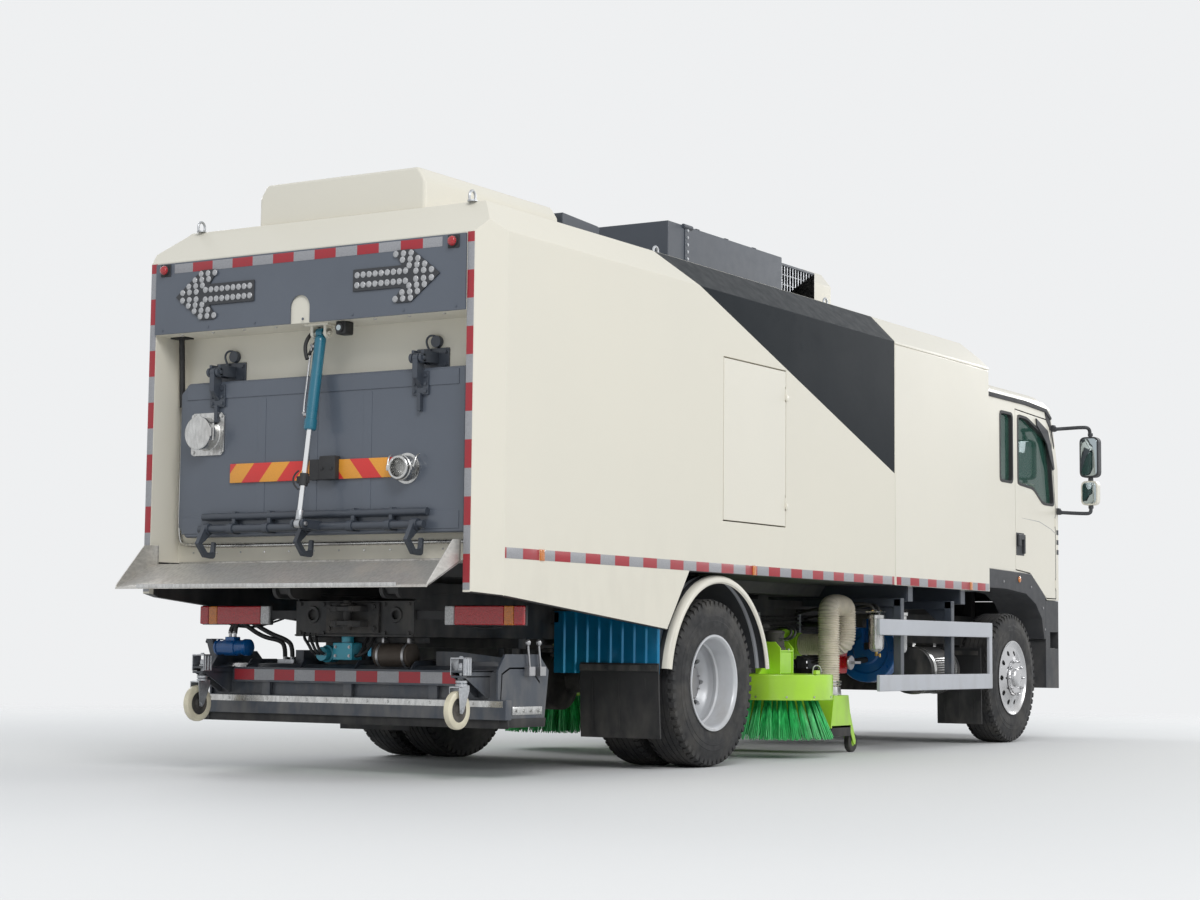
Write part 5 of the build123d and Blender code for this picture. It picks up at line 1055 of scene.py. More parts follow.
def makeGate(s):
    x0, x1, half = s["face"], s["face"] + s["sheet"], s["half"]
    bm = bmesh.new()
    corner = 0.06
    outline = [(-half, s["bottom"]), (half - corner, s["bottom"]), (half, s["bottom"] + corner),
        (half, s["top"] - corner), (half - corner, s["top"]), (-half, s["top"])]
    addPlate(bm, crossways(outline, x0), Vector((s["sheet"], 0, 0)), 0.01, segments=3)
    # the pressed fold along the top and the raised edge band
    addBlock(bm, (x0 - 0.006, -half + 0.04, s["top"] - 0.1), (x0 + 0.01, half - 0.05, s["top"] - 0.012),
        0.005)
    addBlock(bm, (x0 - 0.004, -half + 0.03, s["bottom"] + 0.02), (x0 + 0.01, half - 0.03,
        s["bottom"] + 0.12), 0.004)
    for y in (-0.36, 0.02, 0.4):
        addBlock(bm, (x0 - 0.003, y - 0.03, s["bottom"] + 0.13), (x0 + 0.01, y + 0.03, s["top"] - 0.11),
            0.0028)
    settle("gatePlate", bm, "slatePaint", "tailgate", nodes=("tailgate",))

    bm = blockOf((x1 - 0.002, -half + 0.02, s["bottom"] + 0.02), (x1 + 0.049, half - 0.02, s["top"] - 0.02))
    bm = carve(bm, [blockOf((x1 - 0.01, -0.91, 1.42), (x1 + 0.06, 0.91, 2.17))])
    softenEdges(bm, 0.01, 30, 0.02, 3)
    settle("gateSeal", bm, "sealRubber", "tailgate", 40)

    hx, hz = s["hinge"]
    lx, lz = s["lock"]
    bm = bmesh.new()
    for y in (-s["hingeY"], s["hingeY"]):
        addPlate(bm, sideways([(x0 + 0.002, s["top"] - 0.13), (x0 + 0.002, s["top"] - 0.004),
            (hx + 0.025, hz), (hx - 0.025, hz), (hx - 0.025, s["top"] - 0.06)], y - 0.018),
            Vector((0, 0.036, 0)), 0.004)
        addRod(bm, (hx, y - 0.018, hz), (hx, y + 0.018, hz), 0.027, 28, bevel=0.003)
        addBlock(bm, (x0 - 0.016, y - 0.055, s["top"] - 0.15), (x0 + 0.002, y + 0.055, s["top"] - 0.02),
            0.004)
        for dz in (-0.13, -0.09, -0.045):
            for dy in (-0.038, 0.038):
                addBolt(bm, (x0 - 0.016, y + dy, s["top"] + dz), (-1, 0, 0), 0.01, 0.008)
        addBlock(bm, (x0 - 0.03, y - 0.012, s["top"] - 0.24), (x0, y + 0.012, s["top"] - 0.14), 0.004)
    for y in (-0.56, -0.3, 0.3, 0.56):
        addBlock(bm, (lx - 0.005, y - 0.02, lz - 0.03), (x0 + 0.001, y + 0.02, lz + 0.03), 0.004)
        addRod(bm, (lx, y - 0.02, lz), (lx, y + 0.02, lz), 0.031, 28, bevel=0.003)
        addBlock(bm, (x0 - 0.045, y - 0.012, lz + 0.02), (x0 + 0.001, y + 0.012, lz + 0.1), 0.004)
        addBolt(bm, (lx + 0.03, y, lz + 0.03), (0, 0, 1), 0.009, 0.008)
    addRod(bm, (x0 - 0.028, -0.8, lz + 0.072), (x0 - 0.028, 0.8, lz + 0.072), 0.022, 24, bevel=0.002)
    settle("gateIrons", bm, "slateDark", "tailgate")

    # square flange with its domed cap
    fy, fz = s["flange"]
    bm = bmesh.new()
    edge = 0.125
    outline = [(fy - edge, fz - edge + 0.02), (fy - edge + 0.02, fz - edge), (fy + edge - 0.02, fz - edge),
        (fy + edge, fz - edge + 0.02), (fy + edge, fz + edge - 0.02), (fy + edge - 0.02, fz + edge),
        (fy - edge + 0.02, fz + edge), (fy - edge, fz + edge - 0.02)]
    addPlate(bm, crossways(outline, x0 - 0.012), Vector((0.013, 0, 0)), 0.003)
    addLathe(bm, [(0, 0.101), (0.01, 0.099), (0.014, 0.094), (0.078, 0.092), (0.083, 0.097), (0.096, 0.097),
        (0.101, 0.09), (0.102, 0.0)], (x0 - 0.001, fy, fz), (-1, 0, 0), 64)
    for dy in (-0.105, 0.105):
        for dz in (-0.105, 0.105):
            addBolt(bm, (x0 - 0.012, fy + dy, fz + dz), (-1, 0, 0), 0.011, 0.008)
    addBlock(bm, (x0 - 0.106, fy - 0.112, fz - 0.022), (x0 - 0.072, fy - 0.085, fz + 0.03), 0.004)
    addRod(bm, (x0 - 0.089, fy - 0.112, fz - 0.045), (x0 - 0.089, fy - 0.112, fz + 0.055), 0.006, 16)
    settle("gateFlange", bm, "stainlessPart", "tailgate")

    # hose coupling with its cam ears
    cy, cz = s["camlock"]
    bm = bmesh.new()
    addLathe(bm, [(0.0, 0.085), (0.008, 0.085), (0.01, 0.072), (0.03, 0.066), (0.036, 0.062),
        (0.052, 0.062), (0.058, 0.066), (0.092, 0.066), (0.095, 0.063), (0.095, 0.053), (0.09, 0.05),
        (0.01, 0.05), (0.01, 0.0)], (x0 + 0.001, cy, cz), (-1, 0, 0), 56)
    addLathe(bm, [(0.054, 0.0665), (0.058, 0.071), (0.068, 0.071), (0.072, 0.0665)], (x0 + 0.001, cy, cz),
        (-1, 0, 0), 56)
    for way in (-1, 1):
        addBlock(bm, (x0 - 0.078, cy + way * 0.062 - 0.01, cz - 0.016), (x0 - 0.05,
            cy + way * 0.088 + 0.002, cz + 0.016), 0.004)
        addPipe(bm, [(x0 - 0.064, cy + way * 0.086, cz), (x0 - 0.06, cy + way * 0.092, cz + 0.03),
            (x0 - 0.045, cy + way * 0.094, cz + 0.065), (x0 - 0.025, cy + way * 0.095, cz + 0.075)], 0.0055)
    settle("gateCoupling", bm, "stainlessPart", "tailgate", weighted=False)

    y0, y1, z0, z1 = s["board"]
    bm = bmesh.new()
    for low, high in ((y0, -0.075), (0.02, y1)):
        addBlock(bm, (x0 - 0.014, low, z0), (x0 - 0.001, high, z1), 0.0015)
    settle("warningBoard", bm, "chevronBoard", "tailgate", weighted=False)
    bm = bmesh.new()
    addBlock(bm, (x0 - 0.052, -0.175, z0 - 0.005), (x0 + 0.001, -0.06, z1 + 0.02), 0.008)
    addBlock(bm, (x0 - 0.03, -0.078, z0 - 0.002), (x0 + 0.001, 0.025, z1 + 0.004), 0.004)
    for y in (-0.15, -0.085):
        addBolt(bm, (x0 - 0.052, y, z0 + 0.06), (-1, 0, 0), 0.009, 0.006)
    settle("rodGuide", bm, "sealRubber", "tailgate")


makeGate(gate)

lockBar = {"hooks": (-0.741, 0.02, 0.741), "radius": 0.017, "crank": 0.145, "cylinderY": -0.05}


def makeLockBar(s):
    lx, lz = gate["lock"]
    bm = bmesh.new()
    addRod(bm, (lx, -0.8, lz), (lx, 0.8, lz), s["radius"] + 0.006, 28, bevel=0.002)
    outline = [(0.026, 0.026), (-0.026, 0.026), (-0.092, -0.085), (-0.026, -0.162), (0.045, -0.168),
        (0.06, -0.156), (0.066, -0.075), (0.05, -0.07), (0.04, -0.13), (-0.005, -0.136), (-0.052, -0.085),
        (0.026, -0.026)]
    for y in s["hooks"]:
        addPlate(bm, sideways([(lx + x, lz + z) for x, z in outline], y - 0.014), Vector((0, 0.028, 0)),
            0.003)
        addRod(bm, (lx, y - 0.022, lz), (lx, y + 0.022, lz), 0.034, 28, bevel=0.003)
    ex, ez = lx - s["crank"], lz + 0.01
    for low, high in ((-0.044, -0.028), (0.026, 0.042)):
        y = s["cylinderY"]
        addPlate(bm, sideways([(lx, lz - 0.024), (lx + 0.01, lz + 0.03), (ex, ez + 0.024),
            (ex - 0.01, ez - 0.02)], y + low), Vector((0, high - low, 0)), 0.003)
        addRod(bm, (ex, y + low, ez), (ex, y + high, ez), 0.026, 28, bevel=0.002)
    settle("lockBar", bm, "slateDark", "lock_bar", nodes=("lock_bar",))
    bm = bmesh.new()
    addRod(bm, (ex, s["cylinderY"] - 0.056, ez), (ex, s["cylinderY"] + 0.054, ez), 0.0115, 20, bevel=0.002)
    settle("lockPin", bm, "boltSteel", "lock_bar", weighted=False)


makeLockBar(lockBar)

gateRam = {
    "top": (backX + 0.09, -0.05, 2.48),
    "eye": (backX + 0.072 - 0.145, -0.05, 1.398),
    "rodRadius": 0.0168,
}


def makeGateRam(s):
    top, eye = Vector(s["top"]), Vector(s["eye"])
    way = (eye - top).normalized()
    run = (eye - top).length
    bm = bmesh.new()
    addLathe(bm, [(0.02, 0.0), (0.022, 0.026), (0.03, 0.032), (0.048, 0.034), (0.052, 0.032), (0.5, 0.032),
        (0.503, 0.036), (0.552, 0.036), (0.56, 0.031), (0.5605, 0.0175)], top, way, 40)
    addRod(bm, top - across * 0.02, top + across * 0.02, 0.029, 32, bevel=0.003)
    settle("gateRamBarrel", bm, "cylinderTeal", "gate_barrel", 40, nodes=("gate_barrel",))
    bm = bmesh.new()
    for reach in (0.075, 0.47):
        place = top + way * reach + across * 0.028
        addRod(bm, place, place + across * 0.024, 0.013, 6)
        addRod(bm, place + across * 0.02, place + across * 0.034 - way * 0.012, 0.009, 16)
    addPipe(bm, [top + way * 0.075 + across * 0.055, top + way * 0.1 + across * 0.062,
        top + way * 0.28 + across * 0.06, top + way * 0.44 + across * 0.062,
        top + way * 0.47 + across * 0.055], 0.006)
    settle("gateRamPorts", bm, "boltSteel", "gate_barrel", weighted=False)
    bm = bmesh.new()
    addRod(bm, top + way * 0.4, top + way * (run - 0.03), s["rodRadius"], 32)
    settle("gateRamRod", bm, "chromeRod", "gate_rod", 40, False, ("gate_rod",))
    bm = bmesh.new()
    addRod(bm, eye - way * 0.075, eye - way * 0.02, 0.021, 28, bevel=0.002)
    addRod(bm, eye - across * 0.019, eye + across * 0.019, 0.0245, 32, bevel=0.003)
    settle("gateRamEye", bm, "zinc", "gate_rod", 40, False)
    bm = bmesh.new()
    place = top + way * 0.845
    addRod(bm, place - way * 0.035, place + way * 0.035, 0.025, 28, bevel=0.003)
    for hand in (-1, 1):
        addBlock(bm, place + Vector((-0.012, hand * 0.02 - 0.012, -0.02)),
            place + Vector((0.012, hand * 0.036 + 0.008, 0.02)), 0.003)
    addPipe(bm, [place + Vector((-0.02, 0.02, 0.05)), place + Vector((-0.035, 0.045, 0.03)),
        place + Vector((-0.035, 0.05, -0.03)), place + Vector((-0.02, 0.02, -0.055))], 0.005)
    settle("gateRamCollar", bm, "sealRubber", "gate_rod", 40)


makeGateRam(gateRam)
print("tailgate and its cylinder made")


# stainless chute with its folded lip
chuteShape = {"half": 1.095, "lipX": -4.725, "rootX": backX + 0.239, "rootZ": 1.18, "lipZ": 1.035,
    "sheet": 0.006}


def makeChute(s):
    half, lip, root, z, t = s["half"], s["lipX"], s["rootX"], s["rootZ"], s["sheet"]
    bm = bmesh.new()
    profile = [(root, z + 0.03), (root, z + 0.001), (backX, z + 0.001), (lip + 0.012, s["lipZ"] + 0.01),
        (lip + 0.001, s["lipZ"] + 0.001), (lip + 0.001, s["lipZ"] + t), (lip + 0.01, s["lipZ"] + 0.01 + t),
        (backX, z + t + 0.002), (root - t, z + t + 0.002), (root - t, z + 0.03)]
    addPlate(bm, sideways(profile, -half), Vector((0, half * 2, 0)), 0.0012, segments=1)
    for side in (-1, 1):
        y = side * half
        addPlate(bm, sideways([(backX - 0.001, 1.298), (backX - 0.07, 1.296),
            (lip + 0.006, s["lipZ"] + 0.026), (lip + 0.002, s["lipZ"] + 0.004), (backX - 0.001, z - 0.004)],
            y - side * t), Vector((0, side * t, 0)), 0.0012, segments=1)
        addBlock(bm, (backX - 0.01, min(y, y - side * 0.05), z + 0.004), (backX + 0.004,
            max(y, y - side * 0.05), 1.296), 0.0015)
    for index in range(11):
        addBolt(bm, (backX + 0.05, -1.0 + index * 0.2, z + t + 0.002), (0, 0, 1), 0.007, 0.004)
    settle("chuteSheet", bm, "stainlessSheet", "hopper", 30, nodes=("chute",))
    bm = bmesh.new()
    addBlock(bm, (lip + 0.001, -half + 0.2, s["lipZ"] + 0.006), (lip + 0.006, half - 0.16,
        s["lipZ"] + 0.028), 0.001)
    settle("chuteEdge", bm, "stainlessPart", "hopper", 30, False)


makeChute(chuteShape)


# tail lamps, end plate and towing jaw
tailLamps = {"rear": rearX - 2.065, "front": rearX - 2.02, "inner": 0.63, "outer": 1.168, "low": 0.845,
    "high": 0.96}


def makeTailLamps(s):
    parts = [("lensRed", 1.1, 1.166), ("lensAmber", 1.034, 1.098), ("lensRed", 0.7, 1.032),
        ("lensClear", 0.634, 0.698)]
    for name, side in sides:
        bm = bmesh.new()
        sideBlock(bm, side, (s["rear"] + 0.022, s["inner"], s["low"]), (s["front"], s["outer"], s["high"]),
            0.006)
        sideBlock(bm, side, (s["front"] - 0.02, railY, 0.88), (s["front"], 0.64, 0.93), 0.003)
        for y in (0.72, 1.08):
            addBolt(bm, (s["front"], side * y, 0.9), (1, 0, 0), 0.009, 0.012)
        settle("lampHousing" + name, bm, "sealRubber", "chassis", nodes=("lamps",) if side < 0 else ())
        for index, (finish, low, high) in enumerate(parts):
            bm = bmesh.new()
            sideBlock(bm, side, (s["rear"] + 0.001, low, s["low"] + 0.004),
                (s["rear"] + 0.024, high, s["high"] - 0.004), 0.007, segments=3)
            settle("lampLens" + name + str(index), bm, finish, smooth=40)
        bm = bmesh.new()
        for step in range(2):
            y = side * (0.98 + step * 0.06)
            addPipe(bm, [(s["front"] - 0.004, y, 0.87), (s["front"] + 0.035, y, 0.865),
                (s["front"] + 0.045, y * 0.93, 0.835), (s["front"] + 0.04, side * 0.8, 0.83),
                (s["front"] + 0.03, side * 0.62, 0.87 + step * 0.02), (s["front"] + 0.02, side * 0.52,
                0.9 + step * 0.02), (s["front"] + 0.01, side * 0.42, 0.9)], 0.006)
            addRod(bm, (s["front"] + 0.002, y, 0.87), (s["front"] + 0.024, y, 0.868), 0.011, 12)
        settle("lampLeads" + name, bm, "hoseBlack", "chassis", 40, False)


makeTailLamps(tailLamps)

endPlate = {"x": rearX - 2.064}


def makeTowJaw(s):
    x = s["x"]
    bm = bmesh.new()
    outline = [(x - 0.118, -0.075), (x - 0.118, -0.045), (x - 0.085, -0.03), (x - 0.085, 0.03),
        (x - 0.118, 0.045), (x - 0.118, 0.075), (x - 0.085, 0.11), (x - 0.001, 0.12), (x - 0.001, -0.12),
        (x - 0.085, -0.11)]
    for low, high in ((0.835, 0.872), (0.922, 0.955)):
        addPlate(bm, flatways(outline, low), Vector((0, 0, high - low)), 0.006)
    addBlock(bm, (x - 0.022, -0.19, 0.8), (x - 0.001, 0.19, 0.975), 0.006)
    addRod(bm, (x - 0.062, 0, 0.815), (x - 0.062, 0, 0.985), 0.0245, 24, bevel=0.003)
    addRod(bm, (x - 0.062, 0, 0.955), (x - 0.062, 0, 0.968), 0.042, 24, bevel=0.004)
    for y in (-0.16, 0.16):
        for z in (0.825, 0.95):
            addBolt(bm, (x - 0.022, y, z), (-1, 0, 0), 0.015, 0.012)
    settle("towJaw", bm, "castBlack")
    bm = bmesh.new()
    for y, radius in ((0.3, 0.048), (-0.3, 0.042)):
        addLathe(bm, [(0, radius - 0.018), (0.008, radius - 0.016), (0.009, radius), (0, radius + 0.004)],
            (x - 0.0005, y, 0.905), (-1, 0, 0), 36)
    for y in (-0.39, -0.22, 0.22, 0.39):
        for z in (0.8, 0.965):
            addBolt(bm, (x, y, z), (-1, 0, 0), 0.012, 0.01)
    addBlock(bm, (x - 0.012, -0.425, 0.782), (x - 0.001, 0.425, 0.792), 0.002)
    settle("endPlateTrim", bm, "chassisBlack", weighted=False)


makeTowJaw(endPlate)
print("chute, lamps and jaw made")


# wheels
def ringOf(bm, count, centre, axis, make, start=0.0):
    # the piece that make adds, turned count times about an axis
    for index in range(count):
        turn = Matrix.Rotation(start + math.tau * index / count, 3, Vector(axis))
        bmesh.ops.rotate(bm, cent=centre, matrix=turn, verts=make())


tyre = {
    "groove": 0.505,
    "crown": 0.5185,
    "ribs": (-0.074, -0.037, 0.0, 0.037, 0.074),
    "ribHalf": 0.0155,
    "lugs": 56,
    "flank": ((0.116, 0.2865), (0.127, 0.297), (0.1365, 0.352), (0.1375, 0.385), (0.1358, 0.388),
        (0.1362, 0.418), (0.134, 0.421), (0.129, 0.462), (0.1235, 0.483), (0.11, 0.503)),
}


def addTyre(bm, centre, s):
    crown = []
    for middle in s["ribs"]:
        crown += [(middle - s["ribHalf"] - 0.003, s["groove"]), (middle - s["ribHalf"], s["crown"]),
            (middle + s["ribHalf"], s["crown"]), (middle + s["ribHalf"] + 0.003, s["groove"])]
    left = [(-reach, radius) for reach, radius in s["flank"]]
    inside = [(0.102, 0.3), (0.118, 0.38), (0.1, 0.485), (-0.1, 0.485), (-0.118, 0.38), (-0.102, 0.3)]
    profile = left + crown + list(reversed(s["flank"])) + inside + left[:1]
    addLathe(bm, profile, centre, across, 96)
    x, y, z = centre
    for side in (-1, 1):
        def lug():
            low, high = sorted((side * 0.0955, side * 0.1265))
            made = addBlock(bm, (x - 0.0165, y + low, z + 0.462), (x + 0.0165, y + high, z + 0.5175), 0)
            for vert in made:
                if abs(vert.co.y - y) > 0.11:
                    vert.co.z -= 0.0115 if vert.co.z > z + 0.49 else 0.0
                    vert.co.x += 0.006 * side
            return made

        ringOf(bm, s["lugs"], centre, across, lug, side * 0.028)


def addNuts(bm, centre, axis, ring, count, size, height, slot=0):
    # wheel nuts with their studs
    x, y, z = centre
    way = Vector(axis)

    def nut():
        place = Vector((x, y, z + ring))
        made = addRod(bm, place, place + way * 0.004, size * 1.3, 16, slot=slot)
        made += addRod(bm, place, place + way * height, size, 6, size * 0.94, slot=slot)
        return made + addRod(bm, place, place + way * (height + 0.012), size * 0.5, 10, slot=slot)

    ringOf(bm, count, centre, across, nut, math.pi / count)


def addWheelDisc(profile, centre, side, holes, ring, holeRadius, y0, y1):
    # a turned wheel with its ring of hand holes cut through
    bm = bmesh.new()
    addLathe(bm, [(side * reach, radius) for reach, radius in profile], centre, across, 96)
    joined = bmesh.new()
    for index in range(holes):
        turn = math.tau * index / holes
        x, z = centre[0] + ring * math.cos(turn), centre[2] + ring * math.sin(turn)
        takeIn(joined, rodOf((x, y0, z), (x, y1, z), holeRadius, 24))
    return carve(bm, [joined])


frontRim = {
    "profile": ((-0.1155, 0.27), (-0.1155, 0.2862), (0.112, 0.2862), (0.122, 0.291), (0.1305, 0.2985),
        (0.137, 0.2985), (0.137, 0.291), (0.129, 0.281), (0.121, 0.266), (0.1175, 0.252), (0.1145, 0.243),
        (0.123, 0.2), (0.141, 0.158), (0.15, 0.14), (0.1545, 0.128), (0.163, 0.124), (0.163, 0.112),
        (0.163, 0.0), (0.12, 0.0), (0.12, 0.104), (0.098, 0.15), (0.086, 0.215), (0.092, 0.262),
        (0.085, 0.27), (-0.1155, 0.27)),
    "cap": ((0.16, 0.078), (0.176, 0.074), (0.186, 0.062), (0.189, 0.04), (0.189, 0.0), (0.158, 0.0),
        (0.158, 0.078)),
}
rearRim = {
    "profile": ((-0.137, 0.272), (-0.137, 0.298), (-0.122, 0.291), (-0.112, 0.2862), (0.112, 0.2862),
        (0.122, 0.291), (0.13, 0.2985), (0.137, 0.2985), (0.137, 0.286), (0.129, 0.278), (0.118, 0.27),
        (0.07, 0.266), (0.06, 0.261), (0.022, 0.257), (0.012, 0.248), (-0.004, 0.248), (-0.014, 0.254),
        (-0.04, 0.252), (-0.055, 0.246), (-0.075, 0.232), (-0.105, 0.208), (-0.14, 0.19), (-0.152, 0.182),
        (-0.152, 0.0), (-0.168, 0.0), (-0.168, 0.188), (-0.152, 0.2), (-0.118, 0.216), (-0.09, 0.24),
        (-0.078, 0.258), (-0.137, 0.262), (-0.137, 0.272)),
    "hub": ((-0.155, 0.148), (-0.148, 0.152), (-0.12, 0.148), (-0.06, 0.139), (-0.048, 0.132),
        (-0.04, 0.118), (-0.036, 0.092), (-0.034, 0.0), (-0.155, 0.0), (-0.155, 0.148)),
}


frontTrack, rearTracks = 1.044, (0.77, 1.09)  # wheel centres, out from the middle


def makeWheels():
    inner, outer = rearTracks
    for name, side in sides:
        low = name.lower()
        body = "front_wheel_" + low
        centre = (frontX, side * frontTrack, axleZ)
        bm = bmesh.new()
        addTyre(bm, centre, tyre)
        settle("frontTyre" + name, bm, "tyreRubber", body, 28, False, ("front_tyre_" + low,))
        bm = addWheelDisc(frontRim["profile"], centre, side, 10, 0.205, 0.021, side * 1.06, side * 1.26)
        settle("frontRim" + name, bm, "rimPolished", body, 32, nodes=("front_rim_" + low,))
        bm = bmesh.new()
        addLathe(bm, [(side * reach, radius) for reach, radius in frontRim["cap"]], centre, across, 48)
        addLathe(bm, [(side * 0.15, 0.149), (side * 0.157, 0.1485), (side * 0.157, 0.126),
            (side * 0.15, 0.126), (side * 0.15, 0.149)], centre, across, 64)
        addNuts(bm, (frontX, side * (frontTrack + 0.157), axleZ), (0, side, 0), 0.1375, 10, 0.0135, 0.017)
        settle("frontHub" + name, bm, "rimPolished", body)
        bm = bmesh.new()
        addPipe(bm, [(frontX + 0.236, side * 1.162, axleZ), (frontX + 0.228, side * 1.19, axleZ),
            (frontX + 0.205, side * 1.205, axleZ)], 0.0045)
        settle("frontValve" + name, bm, "boltSteel", body, 40, False)

        body = "rear_wheels_" + low
        bm = bmesh.new()
        for y in rearTracks:
            addTyre(bm, (rearX, side * y, axleZ), tyre)
        settle("rearTyres" + name, bm, "tyreRubber", body, 28, False, ("rear_tyres_" + low,))
        centre = (rearX, side * outer, axleZ)
        bm = addWheelDisc(rearRim["profile"], centre, side, 10, 0.216, 0.016, side * 0.9, side * 1.05)
        settle("rearRimOuter" + name, bm, "rimSilver", body, 32, nodes=("rear_rims_" + low,))
        bm = addWheelDisc(rearRim["profile"], (rearX, side * inner, axleZ), -side, 10, 0.216, 0.016,
            side * 0.81, side * 0.96)
        settle("rearRimInner" + name, bm, "rimSilver", body, 32)
        bm = bmesh.new()
        addLathe(bm, [(side * reach, radius) for reach, radius in rearRim["hub"]], centre, across, 48)
        addNuts(bm, (rearX, side * (outer - 0.152), axleZ), (0, side, 0), 0.1675, 10, 0.0145, 0.02)
        addNuts(bm, (rearX, side * (outer - 0.042), axleZ), (0, side, 0), 0.104, 8, 0.0085, 0.007)
        settle("rearHub" + name, bm, "hubGrey", body)
        bm = bmesh.new()
        addPipe(bm, [(rearX - 0.236, side * 0.952, axleZ), (rearX - 0.225, side * 0.985, axleZ),
            (rearX - 0.212, side * 1.03, axleZ)], 0.0045)
        settle("rearValve" + name, bm, "boltSteel", body, 40, False)


makeWheels()
print("wheels made")

# rear mudguards, splash sheets and flaps
fender = {
    "centreX": rearX + 0.07,
    "radius": 0.67,
    "cutZ": 0.61,
    "section": ((0.706, 0.652), (0.706, 0.67), (1.128, 0.67), (1.142, 0.6635), (1.156, 0.67), (1.19, 0.67),
        (1.216, 0.668), (1.233, 0.658), (1.24, 0.643), (1.238, 0.627), (1.228, 0.618), (1.222, 0.624),
        (1.226, 0.64), (1.218, 0.652), (1.2, 0.66), (1.156, 0.661), (1.142, 0.6545), (1.128, 0.661),
        (0.712, 0.661), (0.712, 0.652), (0.706, 0.652)),
}
splash = {"x": rearX - 0.64, "inner": 0.45, "outer": 1.2, "low": 0.575, "high": 0.95, "ribs": 9}
flap = {"rear": rearX - 0.6553, "thick": 0.0145, "inner": 0.65, "outer": 1.2, "low": 0.19, "high": 0.64}


def makeFenders(s):
    for name, side in sides:
        bm = bmesh.new()
        centre = Vector((s["centreX"], 0, axleZ))
        start = -math.asin((s["cutZ"] - axleZ) / s["radius"])
        verts = []
        for y, radius in s["section"][:-1]:
            verts.append(bm.verts.new(centre + Vector((radius, side * y, 0))))
        edges = [bm.edges.new((verts[i], verts[(i + 1) % len(verts)])) for i in range(len(verts))]
        face = bmesh.ops.contextual_create(bm, geom=edges)["faces"]
        bmesh.ops.rotate(bm, cent=centre, matrix=Matrix.Rotation(start, 3, across), verts=bm.verts)
        bmesh.ops.spin(bm, geom=face + edges + verts, cent=centre, axis=across, dvec=(0, 0, 0),
            angle=-(math.pi + 2 * start), steps=72, use_merge=False, use_duplicate=False)
        bmesh.ops.remove_doubles(bm, verts=bm.verts, dist=0.0001)
        for part in bm.faces:
            middle = part.calc_center_median()
            reach = math.hypot(middle.x - centre.x, middle.z - centre.z)
            part.material_index = 1 if abs(middle.y) > 1.186 and reach > 0.612 else 0
            if 1.126 < abs(middle.y) < 1.158:
                part.material_index = 2
        settle("fender" + name, bm, ["trimPlastic", "creamPlain", "guardSilver"], "chassis", 40,
            nodes=("rear_fenders",) if side < 0 else ())
        bm = bmesh.new()
        reach = s["radius"] + 0.001
        for angle in (50, 90, 130):
            turn = math.radians(angle)
            for y in (0.8, 1.06):
                place = centre + Vector((reach * math.cos(turn), side * y, reach * math.sin(turn)))
                addBolt(bm, place, (math.cos(turn), 0, math.sin(turn)), 0.009, 0.006)
        x = s["centreX"]
        sideBlock(bm, side, (x - 0.025, railY, 1.065), (x + 0.025, 0.72, 1.105), 0.004)
        sideBlock(bm, side, (x - 0.025, 0.702, 1.065), (x + 0.025, 0.716, 1.176), 0.003)
        settle("fenderStay" + name, bm, "chassisBlack")


